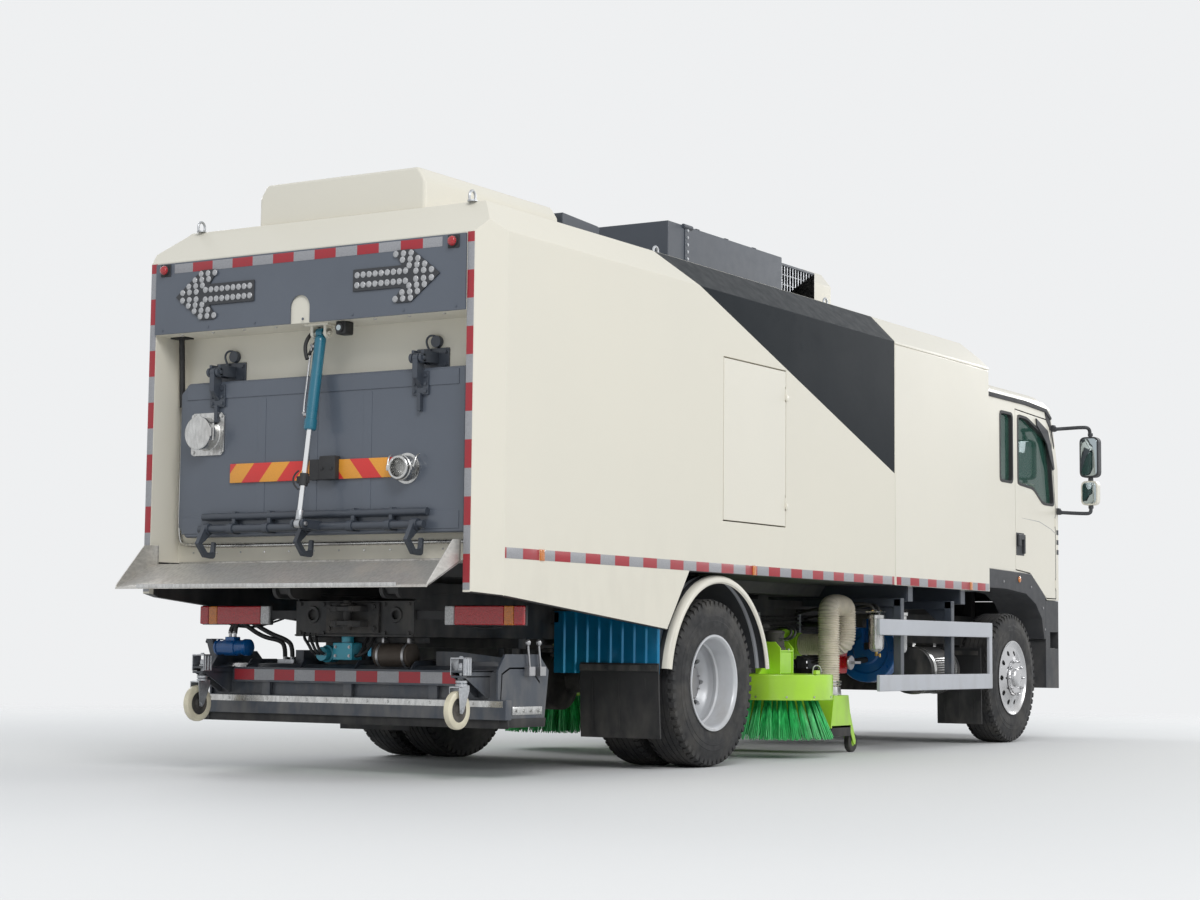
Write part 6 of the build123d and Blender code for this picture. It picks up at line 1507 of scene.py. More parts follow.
def makeSplash(s, f):
    # ribbed blue sheets behind the wheels, and rubber flaps held by a strip and bolts
    for name, side in sides:
        bm = bmesh.new()
        span = s["outer"] - s["inner"]
        pitch = span / s["ribs"]
        outline = []
        for index in range(s["ribs"]):
            y = s["inner"] + pitch * index
            outline += [(y, 0.0), (y + pitch * 0.62, 0.0), (y + pitch * 0.72, -0.011),
                (y + pitch * 0.9, -0.011)]
        outline.append((s["outer"], 0.0))
        back = [(y, reach + 0.0035) for y, reach in reversed(outline)]
        points = [Vector((s["x"] + reach, side * y, s["low"])) for y, reach in outline + back]
        addPlate(bm, points, Vector((0, 0, s["high"] - s["low"])), 0)
        sideBlock(bm, side, (s["x"] - 0.004, s["inner"], s["high"] - 0.002),
            (s["x"] + 0.022, s["outer"], s["high"] + 0.002), 0.0008)
        # the sheets' blue finish carries broad patches of painted highlight
        settle("splashSheet" + name, bm, "panelBlue", "chassis", 28, False,
            ("mudflaps",) if side < 0 else ())
        bm = bmesh.new()
        sideBlock(bm, side, (s["x"], railY, 0.88), (s["x"] + 0.05, 0.485, 0.95), 0.004)
        sideBlock(bm, side, (f["rear"] - 0.008, f["inner"], f["high"] - 0.048),
            (f["rear"] - 0.001, f["outer"], f["high"] - 0.01), 0.002)
        for y in (0.7, 0.84, 1.01, 1.15):
            addBolt(bm, (f["rear"] - 0.008, side * y, f["high"] - 0.029), (-1, 0, 0), 0.009, 0.007)
        sideBlock(bm, side, (frontX - 0.685, railY, 0.742), (frontX - 0.656, 0.87, 0.79), 0.004)
        sideBlock(bm, side, (frontX - 0.663, 0.82, 0.7), (frontX - 0.656, 1.15, 0.735), 0.002)
        for y in (0.86, 1.0, 1.12):
            addBolt(bm, (frontX - 0.663, side * y, 0.717), (-1, 0, 0), 0.008, 0.006)
        settle("flapClamps" + name, bm, "chassisBlack")
        bm = bmesh.new()
        sheets = ((f["rear"], f["inner"], f["outer"], f["thick"], f["low"], f["high"]),
            (frontX - 0.655, 0.8, 1.17, 0.012, 0.16, 0.76))
        for x, low, high, thick, bottom, top in sheets:
            before = set(bm.verts)
            y0, y1 = sorted((side * low, side * high))
            addBlock(bm, (x, y0, bottom), (x + thick, y1, top), 0)
            for row in range(3):
                y = y0 + (y1 - y0) * (row + 0.5) / 3
                addBlock(bm, (x - 0.0025, y - 0.005, bottom + 0.04), (x, y + 0.005, top - 0.09), 0.001)
            fresh = [vert for vert in bm.verts if vert not in before]
            cuts = list({edge for vert in fresh for edge in vert.link_edges
                if abs((edge.verts[0].co - edge.verts[1].co).z) > 0.3})
            bmesh.ops.subdivide_edges(bm, edges=cuts, cuts=7, use_grid_fill=True)
            for vert in bm.verts:
                if vert not in before:
                    drop = (top - vert.co.z) / (top - bottom)
                    vert.co.x += 0.012 * drop * drop + 0.006 * drop * math.sin(vert.co.y * 9 + side)
        settle("flaps" + name, bm, "flapRubber", "chassis", 40, False)


makeFenders(fender)
makeSplash(splash, flap)
print("mudguards made")

# sweep unit behind the rear axle
unit = {
    "x": rearX - 2.12,
    "half": 1.095,
    "hinge": (rearX - 1.25, 0.62),
    "roller": (rearX - 1.9, 0.43),
    "casterStem": rearX - 2.3,
    "casterWheel": rearX - 2.339,
    "casterY": 0.924,
    "casterZ": 0.386,
}


def makeSweepUnit(s):
    x0, half = s["x"], s["half"]
    bm = bmesh.new()
    addPlate(bm, sideways([(x0 + 0.03, 0.43), (x0 + 0.04, 0.585), (x0 + 0.12, 0.62), (x0 + 0.33, 0.62),
        (x0 + 0.43, 0.54), (x0 + 0.43, 0.52), (x0 + 0.325, 0.605), (x0 + 0.125, 0.605), (x0 + 0.055, 0.575),
        (x0 + 0.045, 0.43)], 0.06 - half), Vector((0, 2 * half - 0.12, 0)), 0.003)
    for index in range(5):
        y = -0.8 + index * 0.4
        addPlate(bm, sideways([(x0 + 0.05, 0.588), (x0 + 0.12, 0.619), (x0 + 0.33, 0.619),
            (x0 + 0.4, 0.562), (x0 + 0.34, 0.646), (x0 + 0.11, 0.646)], y - 0.004), Vector((0, 0.008, 0)),
            0.001)
    settle("unitHood", bm, "slateDark", "sweep_unit", 32)

    bm = bmesh.new()
    addBlock(bm, (x0, -half, 0.33), (x0 + 0.06, half, 0.44), 0.005)
    addPlate(bm, sideways([(x0 - 0.01, 0.512), (x0 - 0.01, 0.598), (x0 + 0.045, 0.598), (x0 + 0.045, 0.575),
        (x0 + 0.005, 0.575), (x0 + 0.005, 0.512)], -0.83), Vector((0, 1.66, 0)), 0.002)
    for y in (-0.6, 0.0, 0.6):
        addBlock(bm, (x0 + 0.005, y - 0.03, 0.435), (x0 + 0.035, y + 0.03, 0.58), 0.003)
    for side in (-1, 1):
        y0, y1 = sorted((side * (half - 0.075), side * (half - 0.06)))
        addPlate(bm, sideways([(x0 + 0.01, 0.33), (x0 + 0.01, 0.6), (x0 + 0.08, 0.69), (x0 + 0.42, 0.69),
            (x0 + 0.52, 0.6), (x0 + 0.48, 0.33)], y0), Vector((0, 0.015, 0)), 0.002)
        y0, y1 = sorted((side * 0.48, side * 0.54))
        hx, hz = s["hinge"]
        arm = plateOf(sideways([(hx, hz - 0.04), (hx, hz + 0.04), (x0 + 0.33, 0.7), (x0 + 0.2, 0.7),
            (x0 + 0.2, 0.61), (x0 + 0.33, 0.61)], y0), Vector((0, 0.06, 0)))
        arm = carve(arm, [rodOf((hx, y0, hz), (hx, y1, hz), 0.045)], "UNION")
        arm = carve(arm, [rodOf((hx, y0 - 0.01, hz), (hx, y1 + 0.01, hz), 0.021)])
        softenEdges(arm, 0.003)
        takeIn(bm, arm)
        # caster carrier with its ears
        y = side * s["casterY"]
        addBlock(bm, (s["casterStem"] - 0.045, y - 0.04, 0.56), (x0 + 0.08, y + 0.04, 0.572), 0.003)
        addBlock(bm, (s["casterStem"] - 0.045, y - 0.04, 0.588), (x0 + 0.08, y + 0.04, 0.6), 0.003)
        for ear in (-0.04, 0.034):
            addPlate(bm, sideways([(s["casterStem"] - 0.02, 0.56), (s["casterStem"] + 0.03, 0.6),
                (x0 + 0.08, 0.6), (x0 + 0.08, 0.45), (x0 + 0.01, 0.45)], y + ear), Vector((0, 0.006, 0)),
                0.001)
    settle("unitFrame", bm, "slateDark", "sweep_unit", 32, nodes=("rear_bar",))

    bm = bmesh.new()
    addBlock(bm, (x0 - 0.0012, 0.02 - half, 0.4), (x0 + 0.001, half - 0.02, 0.434), 0)
    for index in range(15):
        addBolt(bm, (x0 - 0.001, -1.02 + index * 0.1457, 0.417), (-1, 0, 0), 0.007, 0.005)
    for side in (-1, 1):
        # stainless adjusting plates with a row of bolts on the end
        y = side * (half - 0.06)
        y0, y1 = sorted((y, y + side * 0.004))
        addBlock(bm, (x0 + 0.15, y0, 0.355), (x0 + 0.45, y1, 0.4), 0.001)
        for step in range(4):
            addBolt(bm, (x0 + 0.19 + step * 0.075, y + side * 0.004, 0.377), (0, side, 0), 0.008, 0.008)
    settle("unitStrip", bm, "stainlessPart", "sweep_unit", weighted=False)
    bm = bmesh.new()
    addBlock(bm, (x0 - 0.0112, -0.825, 0.524), (x0 - 0.0098, 0.825, 0.586), 0)
    settle("unitTape", bm, "tapeHeader", "sweep_unit", 30, False)
    bm = bmesh.new()
    addPlate(bm, sideways([(x0 + 0.02, 0.331), (x0 + 0.034, 0.331), (x0 + 0.036, 0.3), (x0 + 0.03, 0.283),
        (x0 + 0.022, 0.283)], -half), Vector((0, 2 * half, 0)), 0.001)
    for side in (-1, 1):
        y0, y1 = sorted((side * (half - 0.058), side * (half - 0.05)))
        addPlate(bm, sideways([(x0 + 0.01, 0.335), (x0 + 0.48, 0.335), (x0 + 0.47, 0.286),
            (x0 + 0.02, 0.286)], y0), Vector((0, 0.008, 0)), 0.001)
    settle("unitFlap", bm, "flapRubber", "sweep_unit", weighted=False)


def makeUnitFittings(s):
    x0, half = s["x"], s["half"]
    motorX, motorZ = x0 + 0.078, 0.712
    bm = bmesh.new()
    rx, rz = s["roller"]
    addPlate(bm, sideways([(x0 + 0.02, 0.762), (x0 + 0.13, 0.762), (rx + 0.06, rz + 0.03),
        (rx + 0.03, rz - 0.05), (rx - 0.045, rz - 0.03)], half - 0.06), Vector((0, 0.05, 0)), 0.006)
    settle("driveCase", bm, "slateDark", "sweep_unit", 32)
    bm = bmesh.new()
    for x, z in ((x0 + 0.035, 0.745), (x0 + 0.115, 0.745), (rx + 0.045, rz + 0.03), (rx + 0.02, rz - 0.035),
            (rx - 0.03, rz - 0.015), (x0 + 0.09, 0.6)):
        addBolt(bm, (x, half - 0.01, z), (0, 1, 0), 0.008, 0.007)
    # two short levers with bright knobs at the right end
    for step in range(2):
        foot = Vector((x0 + 0.3 + step * 0.11, -half + 0.045, 0.62))
        addRod(bm, foot, foot + Vector((-0.02, 0.0, 0.125)), 0.006, 12)
        addBall(bm, foot + Vector((-0.02, 0.0, 0.135)), 0.016, (1, 1, 1.2), 16)
        addBlock(bm, foot - Vector((0.03, 0.02, 0.05)), foot + Vector((0.03, 0.016, 0.002)), 0.003)
    settle("unitBolts", bm, "boltSteel", "sweep_unit")
    bm = bmesh.new()
    y1 = half - 0.062
    addLathe(bm, [(0, 0.0), (0, 0.048), (0.012, 0.05), (0.014, 0.043), (0.06, 0.043), (0.062, 0.05),
        (0.15, 0.05), (0.152, 0.044), (0.205, 0.044), (0.21, 0.05), (0.238, 0.049), (0.246, 0.036),
        (0.246, 0.0)], (motorX, y1, motorZ), (0, -1, 0), 36)
    addBlock(bm, (motorX - 0.03, y1 - 0.145, motorZ + 0.03), (motorX + 0.03, y1 - 0.075, motorZ + 0.062),
        0.004)
    for turn in range(6):
        way = math.tau * turn / 6
        addBolt(bm, (motorX + 0.038 * math.cos(way), y1 - 0.21, motorZ + 0.038 * math.sin(way)), (0, -1, 0),
            0.006, 0.034)
    settle("unitMotor", bm, "pumpBlue", "sweep_unit")
    bm = bmesh.new()
    for step in range(2):
        y = y1 - 0.092 - step * 0.036
        top = Vector((motorX, y, motorZ + 0.06))
        addRod(bm, top, top + Vector((0, 0, 0.022)), 0.011, 6)
        addRod(bm, top + Vector((0, 0, 0.02)), top + Vector((0, 0, 0.034)), 0.013, 12)
        addRod(bm, (x0 + 0.2, 0.62 - step * 0.055, 0.642), (x0 + 0.2, 0.62 - step * 0.055, 0.665), 0.013, 6)
    settle("unitUnions", bm, "boltSteel", "sweep_unit", weighted=False)
    bm = bmesh.new()
    for step in range(2):
        y = y1 - 0.092 - step * 0.036
        foot = 0.62 - step * 0.055
        addPipe(bm, [(motorX, y, motorZ + 0.085), (motorX + 0.004, y, motorZ + 0.125 + step * 0.018),
            (motorX + 0.02, y - 0.07, motorZ + 0.15 + step * 0.02), (x0 + 0.15, foot + 0.14,
            0.775 + step * 0.022), (x0 + 0.2, foot + 0.03, 0.755), (x0 + 0.2, foot, 0.71),
            (x0 + 0.2, foot, 0.66)], 0.0135)
    for step in range(2):
        # lines that run along the hood under clips
        y0 = 0.575 - step * 0.055
        addPipe(bm, [(x0 + 0.215, 0.62 - step * 0.055, 0.652), (x0 + 0.245, y0 + 0.02, 0.64),
            (x0 + 0.255 + step * 0.03, y0 - 0.1, 0.633), (x0 + 0.255 + step * 0.03, 0.0, 0.633),
            (x0 + 0.265 + step * 0.03, -0.4, 0.636), (x0 + 0.3, -0.455 - step * 0.03, 0.66)], 0.009)
    settle("unitHoses", bm, "hoseBlack", "sweep_unit", 40, False)
    bm = bmesh.new()
    addBlock(bm, (x0 + 0.17, 0.53, 0.618), (x0 + 0.235, 0.655, 0.645), 0.004)
    for y in (0.3, 0.05, -0.2):
        addBlock(bm, (x0 + 0.235, y - 0.012, 0.618), (x0 + 0.305, y + 0.012, 0.645), 0.004)
    settle("unitBlock", bm, "zinc", "sweep_unit")


makeSweepUnit(unit)
makeUnitFittings(unit)


def makeRoller(s):
    rx, rz = s["roller"]
    bm = bmesh.new()
    addRod(bm, (rx, -1.034, rz), (rx, 1.034, rz), 0.0248, 24)
    addRod(bm, (rx, -0.93, rz), (rx, 0.93, rz), 0.06, 32)
    settle("rollerCore", bm, "zinc", "roller", weighted=False, nodes=("sweep_roller",))
    bm = bmesh.new()

    def row():
        made = []
        for index in range(44):
            y = -0.918 + index * 0.0427
            lean = 0.006 * math.sin(index * 2.4)
            foot = Vector((rx, y, rz + 0.056))
            made += addRod(bm, foot, foot + Vector((0.012 + lean, lean, 0.0685)), 0.0135, 6, 0.0185)
        return made

    ringOf(bm, 8, (rx, 0, rz), across, row)
    settle("rollerBrush", bm, "greenBristle", "roller", 40, False)


def makeCasterHeads(s):
    bm = bmesh.new()
    for side in (-1, 1):
        x, y = s["casterStem"], side * s["casterY"]
        for way in (-1, 1):
            y0, y1 = sorted((y + way * 0.04, y + way * 0.046))
            addBlock(bm, (x - 0.043, y0, 0.573), (x + 0.03, y1, 0.668), 0.002)
            for rib in range(3):
                addRod(bm, (x - 0.03 + rib * 0.024, y + way * 0.046, 0.578),
                    (x - 0.03 + rib * 0.024, y + way * 0.046, 0.662), 0.0055, 10)
        addBlock(bm, (x - 0.043, y - 0.046, 0.662), (x + 0.03, y + 0.046, 0.67), 0.002)
        addBolt(bm, (x - 0.005, y, 0.67), up, 0.011, 0.008)
    settle("casterHeads", bm, "zinc", "sweep_unit")


def makeCasters(s):
    for name, side in sides:
        low = name.lower()
        y = side * s["casterY"]
        stemX, wheelX, wheelZ = s["casterStem"], s["casterWheel"], s["casterZ"]
        bm = bmesh.new()
        addLathe(bm, [(0.53, 0.0), (0.53, 0.0135), (0.561, 0.0135), (0.64, 0.0135), (0.64, 0.0)],
            (stemX, y, 0), up, 24)
        addLathe(bm, [(0.506, 0.0), (0.506, 0.028), (0.512, 0.034), (0.526, 0.034), (0.53, 0.028),
            (0.534, 0.033), (0.545, 0.033), (0.552, 0.022), (0.5595, 0.02), (0.5595, 0.0)], (stemX, y, 0),
            up, 32)
        addLathe(bm, [(0.601, 0.0), (0.601, 0.024), (0.609, 0.024), (0.612, 0.018), (0.625, 0.018),
            (0.634, 0.016), (0.634, 0.0)], (stemX, y, 0), up, 6)
        addPlate(bm, [Vector((stemX + 0.03, y - 0.034, 0.512)), Vector((stemX + 0.03, y + 0.034, 0.512)),
            Vector((wheelX - 0.028, y + 0.034, 0.506)), Vector((wheelX - 0.028, y - 0.034, 0.506))],
            Vector((0, 0, 0.008)), 0.002)
        for offset in (-0.034, 0.0295):
            addPlate(bm, sideways([(wheelX - 0.016, wheelZ - 0.016), (wheelX + 0.006, wheelZ - 0.02),
                (wheelX + 0.02, wheelZ - 0.006), (stemX + 0.03, 0.49), (stemX + 0.03, 0.513),
                (wheelX - 0.028, 0.513), (wheelX - 0.028, 0.48)], y + offset), Vector((0, 0.0045, 0)),
                0.0012)
        for way in (-1, 1):
            addBolt(bm, (wheelX, y + way * 0.034, wheelZ), (0, way, 0), 0.0095, 0.0058)
        settle("casterFork" + name, bm, "zinc", "caster_fork_" + low, nodes=("caster_fork_" + low,))
        bm = bmesh.new()
        addLathe(bm, [(-0.0165, 0.066), (-0.02, 0.074), (-0.02, 0.094), (-0.0155, 0.1025), (-0.006, 0.1047),
            (0.006, 0.1047), (0.0155, 0.1025), (0.02, 0.094), (0.02, 0.074), (0.0165, 0.066),
            (-0.0165, 0.066)], (wheelX, y, wheelZ), across, 48)
        settle("casterTread" + name, bm, "casterCream", "caster_wheel_" + low, 40,
            nodes=("caster_wheel_" + low,))
        bm = bmesh.new()
        addLathe(bm, [(-0.0175, 0.07), (-0.013, 0.064), (-0.012, 0.032), (-0.021, 0.024), (-0.024, 0.014),
            (-0.024, 0.0085), (0.024, 0.0085), (0.024, 0.014), (0.021, 0.024), (0.012, 0.032),
            (0.013, 0.064), (0.0175, 0.07), (-0.0175, 0.07)], (wheelX, y, wheelZ), across, 40)
        settle("casterHub" + name, bm, "castBlack", "caster_wheel_" + low)


makeRoller(unit)
makeCasterHeads(unit)
makeCasters(unit)
print("sweep unit made")


# side brushes
def stamp(bm, mesh, matrix):
    # one more copy of a small mesh, moved by a matrix
    start = len(bm.verts)
    bm.from_mesh(mesh)
    bm.verts.ensure_lookup_table()
    bmesh.ops.transform(bm, matrix=matrix, verts=bm.verts[start:])


brush = {
    "x": rearX + 1.5,
    "y": 0.87,
    "pivot": (rearX + 2.01, 0.5, 0.8),
    "radius": 0.398,
    "band": (0.392, 0.565),
    "rings": ((0.238, 0.352), (0.268, 0.388)),  # radius of the holes and of the tips
    "tufts": 26,
    "strands": 12,
    "tipZ": 0.125,
}


def makeTuft(seed, rootRadius, tipRadius, s):
    # strands that leave one hole together and spread
    bm = bmesh.new()
    for index in range(s["strands"]):
        wave = math.sin(seed * 7.1 + index * 2.7)
        sway = math.cos(seed * 3.3 + index * 1.9)
        spread = (index / (s["strands"] - 1) - 0.5) * 2
        root = Vector((rootRadius + 0.007 * sway, 0.009 * wave, 0.428))
        middle = Vector((rootRadius + 0.052 + 0.008 * sway, 0.013 * spread, 0.3))
        tip = Vector((min(tipRadius + 0.012 * sway, 0.3985), 0.025 * spread,
            s["tipZ"] + 0.01 + 0.009 * wave))
        addRod(bm, root, middle, 0.0046, 4, 0.0052)
        addRod(bm, middle, tip, 0.0052, 4, 0.0036)
    return meshOf(bm)


def makeBrushes(s):
    rows = [[makeTuft(step + row * 5, root, tip, s) for step in range(4)]
        for row, (root, tip) in enumerate(s["rings"])]
    for name, side in sides:
        low = name.lower()
        x, y = s["x"], side * s["y"]
        disc, arm = "brush_disc_" + low, "brush_arm_" + low
        bm = bmesh.new()
        for row, meshes in enumerate(rows):
            for index in range(s["tufts"]):
                turn = Matrix.Rotation(math.tau * (index + row * 0.5) / s["tufts"], 4, up)
                stamp(bm, meshes[(index * 3 + row) % 4], Matrix.Translation((x, y, 0)) @ turn)
        settle("brushBristles" + name, bm, "greenBristle", disc, 60, False, (disc,))
        bm = bmesh.new()
        addLathe(bm, [(0.418, 0.0), (0.418, 0.205), (0.424, 0.21), (0.424, 0.288), (0.432, 0.292),
            (0.442, 0.286), (0.444, 0.21), (0.446, 0.085), (0.456, 0.072), (0.536, 0.07), (0.54, 0.062),
            (0.54, 0.0)], (x, y, 0), up, 64)
        for index in range(8):
            turn = math.tau * index / 8
            addBolt(bm, (x + 0.15 * math.cos(turn), y + 0.15 * math.sin(turn), 0.445), up, 0.009, 0.008)
        settle("brushPlate" + name, bm, "chassisBlack", disc)

        bm = bmesh.new()
        lowZ, topZ = s["band"]
        r = s["radius"]
        addLathe(bm, [(topZ - 0.008, 0.04), (topZ, 0.04), (topZ, r - 0.012), (topZ - 0.004, r - 0.003),
            (topZ - 0.012, r), (lowZ + 0.012, r), (lowZ + 0.006, r + 0.0015), (lowZ, r - 0.002),
            (lowZ + 0.002, r - 0.008), (lowZ + 0.012, r - 0.008), (topZ - 0.014, r - 0.008),
            (topZ - 0.008, r - 0.016), (topZ - 0.008, 0.04)], (x, y, 0), up, 96)
        px, py, pz = s["pivot"][0], side * s["pivot"][1], s["pivot"][2]
        reach = Vector((x - px, y - py, 0))
        turn = Matrix.Rotation(math.atan2(reach.y, reach.x), 4, "Z")
        middle = Vector((px, py, pz)) + reach * 0.55
        half = Vector((reach.length * 0.45 - 0.02, 0.035, 0.04))
        addBlock(bm, middle - half, middle + half, 0.006, turn)
        for shift in (-0.048, 0.046):
            # side plates of the motor bracket, open towards the outside
            addPlate(bm, crossways([(y - 0.095, topZ), (y + 0.095, topZ), (y + 0.095, 0.74),
                (y + 0.055, 0.782), (y - 0.055, 0.782), (y - 0.095, 0.74)], x + shift * 2 - 0.006),
                Vector((0.012, 0, 0)), 0.002)
        addBlock(bm, (x - 0.088, y - 0.088, topZ), (x + 0.088, y + 0.088, 0.715), 0.008)
        addBlock(bm, (x - 0.093, y - 0.093, 0.715), (x + 0.093, y + 0.093, 0.727), 0.003)
        addPlate(bm, sideways([(x + 0.07, topZ), (x + 0.26, topZ), (x + 0.09, 0.7)], y - 0.006),
            Vector((0, 0.012, 0)), 0.002)
        addPlate(bm, sideways([(x - 0.07, topZ), (x - 0.24, topZ), (x - 0.09, 0.68)], y - 0.006),
            Vector((0, 0.012, 0)), 0.002)
        y0, y1 = sorted((y + side * 0.36, y + side * 0.385))
        addBlock(bm, (x - 0.14, y0, topZ), (x - 0.08, y1, topZ + 0.028), 0.003)
        settle("brushHood" + name, bm, "limePaint", arm, nodes=(arm,))

        bm = bmesh.new()
        addLathe(bm, [(0.727, 0.0), (0.727, 0.074), (0.745, 0.075), (0.75, 0.066), (0.83, 0.064),
            (0.842, 0.07), (0.856, 0.066), (0.86, 0.05), (0.86, 0.0)], (x, y, 0), up, 36)
        addLathe(bm, [(pz - 0.07, 0.0255), (pz - 0.07, 0.05), (pz + 0.07, 0.05), (pz + 0.07, 0.0255),
            (pz - 0.07, 0.0255)], (px, py, 0), up, 32)
        settle("brushMotor" + name, bm, "castBlack", arm)
        bm = bmesh.new()
        for index in range(4):
            turn = math.pi / 4 + math.pi / 2 * index
            addBolt(bm, (x + 0.082 * math.cos(turn) * 1.2, y + 0.082 * math.sin(turn) * 1.2, 0.727), up,
                0.009, 0.009)
        for index in range(12):
            turn = math.tau * (index + 0.3) / 12
            place = Vector((x + r * math.cos(turn), y + r * math.sin(turn), lowZ + 0.022))
            addBolt(bm, place, (math.cos(turn), math.sin(turn), 0), 0.007, 0.004, washer=False)
        for step in range(2):
            addRod(bm, (x - 0.03 + step * 0.06, y + side * 0.05, 0.8), (x - 0.03 + step * 0.06,
                y + side * 0.085, 0.8), 0.011, 6)
        addPipe(bm, [(x + 0.18, y + side * 0.2, topZ), (x + 0.18, y + side * 0.2, topZ + 0.045),
            (x + 0.2, y + side * 0.22, topZ + 0.062), (x + 0.225, y + side * 0.24, topZ + 0.045),
            (x + 0.225, y + side * 0.24, topZ + 0.012)], 0.005)
        settle("brushBolts" + name, bm, "boltSteel", arm, weighted=False)
        bm = bmesh.new()
        for step in range(2):
            fore = x - 0.03 + step * 0.06
            addPipe(bm, [(fore, y + side * 0.08, 0.8), (fore, y + side * 0.125, 0.805),
                (fore + 0.03, y + side * 0.135, 0.86), (fore + 0.1, y + side * 0.05, 0.885),
                (fore + 0.19, y - side * 0.07, 0.87), (px - 0.17 + step * 0.03, py + side * 0.145, 0.852),
                (px - 0.11 + step * 0.03, py + side * 0.1, 0.85)], 0.0085)
        settle("brushHoses" + name, bm, "hoseBlack", arm, 40, False)


makeBrushes(brush)
print("side brushes made")

# suction hose, nozzle and pump set
hose = {
    "x": rearX + 2.28,
    "y": -0.9,
    "pitch": 0.272,
    "radius": 0.0775,
    "ridge": 0.0075,
    "ringGap": 0.0165,
}


def makeHose(s):
    x, y, far = s["x"], s["y"], s["x"] + s["pitch"]
    route = [(x, y, 0.47), (x, y, 0.66), (x, y, 0.92), (x + 0.004, y, 1.035), (x + 0.075, y, 1.052),
        (far - 0.075, y, 1.052), (far - 0.004, y, 1.035), (far, y, 0.93), (far, y, 0.835),
        (far, y + 0.015, 0.775), (far, y + 0.1, 0.77), (far, y + 0.22, 0.77), (far, -0.545, 0.77)]
    line = routePoints(route, 0, 40)
    points = [vert.co.copy() for vert in line.vertices]
    bpy.data.meshes.remove(line)
    reaches = [0.0]
    for before, after in zip(points, points[1:]):
        reaches.append(reaches[-1] + (after - before).length)
    count = int(reaches[-1] / s["ringGap"])
    step = reaches[-1] / count
    bm = bmesh.new()
    profile = [(0, s["radius"] - s["ridge"])]
    for index in range(count):
        start = index * step
        profile += [(start + step * 0.1, s["radius"] - s["ridge"]), (start + step * 0.35, s["radius"]),
            (start + step * 0.65, s["radius"]), (start + step * 0.9, s["radius"] - s["ridge"])]
    addLathe(bm, profile, (0, 0, 0), up, 36)
    spot = 0
    for vert in sorted(bm.verts, key=lambda one: one.co.z):
        reach = min(max(vert.co.z, 0.0), reaches[-1] - 1e-6)
        while spot < len(reaches) - 2 and reaches[spot + 1] < reach:
            spot += 1
        share = (reach - reaches[spot]) / (reaches[spot + 1] - reaches[spot])
        ahead = (points[min(spot + 2, len(points) - 1)] - points[spot]).normalized()
        behind = (points[spot + 1] - points[max(spot - 1, 0)]).normalized()
        way = behind.lerp(ahead, share).normalized()
        side = across if abs(way.y) < 0.9 else along
        first = (side - way * side.dot(way)).normalized()
        second = way.cross(first)
        middle = points[spot].lerp(points[spot + 1], share)
        vert.co = middle + first * vert.co.y + second * vert.co.x
    bmesh.ops.holes_fill(bm, edges=[edge for edge in bm.edges if edge.is_boundary], sides=0)
    settle("suctionHose", bm, "hoseBeige", "chassis", 50, False, ("suction_hose",))

    bm = bmesh.new()
    addLathe(bm, [(0.4105, 0.0), (0.4105, 0.088), (0.417, 0.09), (0.455, 0.086), (0.4705, 0.084),
        (0.4705, 0.0)], (x, y, 0), up, 48)
    for z in (0.482, 0.502):
        addLathe(bm, [(z, 0.07), (z, 0.0805), (z + 0.01, 0.0805), (z + 0.01, 0.07), (z, 0.07)], (x, y, 0),
            up, 48)
        addBlock(bm, (x - 0.012, y - 0.094, z - 0.001), (x + 0.012, y - 0.078, z + 0.011), 0.002)
        addRod(bm, (x - 0.026, y - 0.086, z + 0.005), (x + 0.026, y - 0.086, z + 0.005), 0.0035, 10)
    settle("hoseCollar", bm, "stainlessPart")
    bm = bmesh.new()
    addBlock(bm, (far - 0.112, -0.448, 0.66), (far + 0.112, -railOut, 0.88), 0.006)
    addLathe(bm, [(0.0, 0.0), (0.0, 0.088), (0.092, 0.084), (0.097, 0.074), (0.097, 0.0)],
        (far, -0.447, 0.77), (0, -1, 0), 48)
    for dx in (-0.092, 0.092):
        for dz in (-0.09, 0.09):
            addBolt(bm, (far + dx, -0.448, 0.77 + dz), (0, -1, 0), 0.01, 0.008)
    settle("hoseFlange", bm, "limePaint")


nozzle = {"x": rearX + 2.28, "halfX": 0.17, "end": 1.0, "low": 0.12}


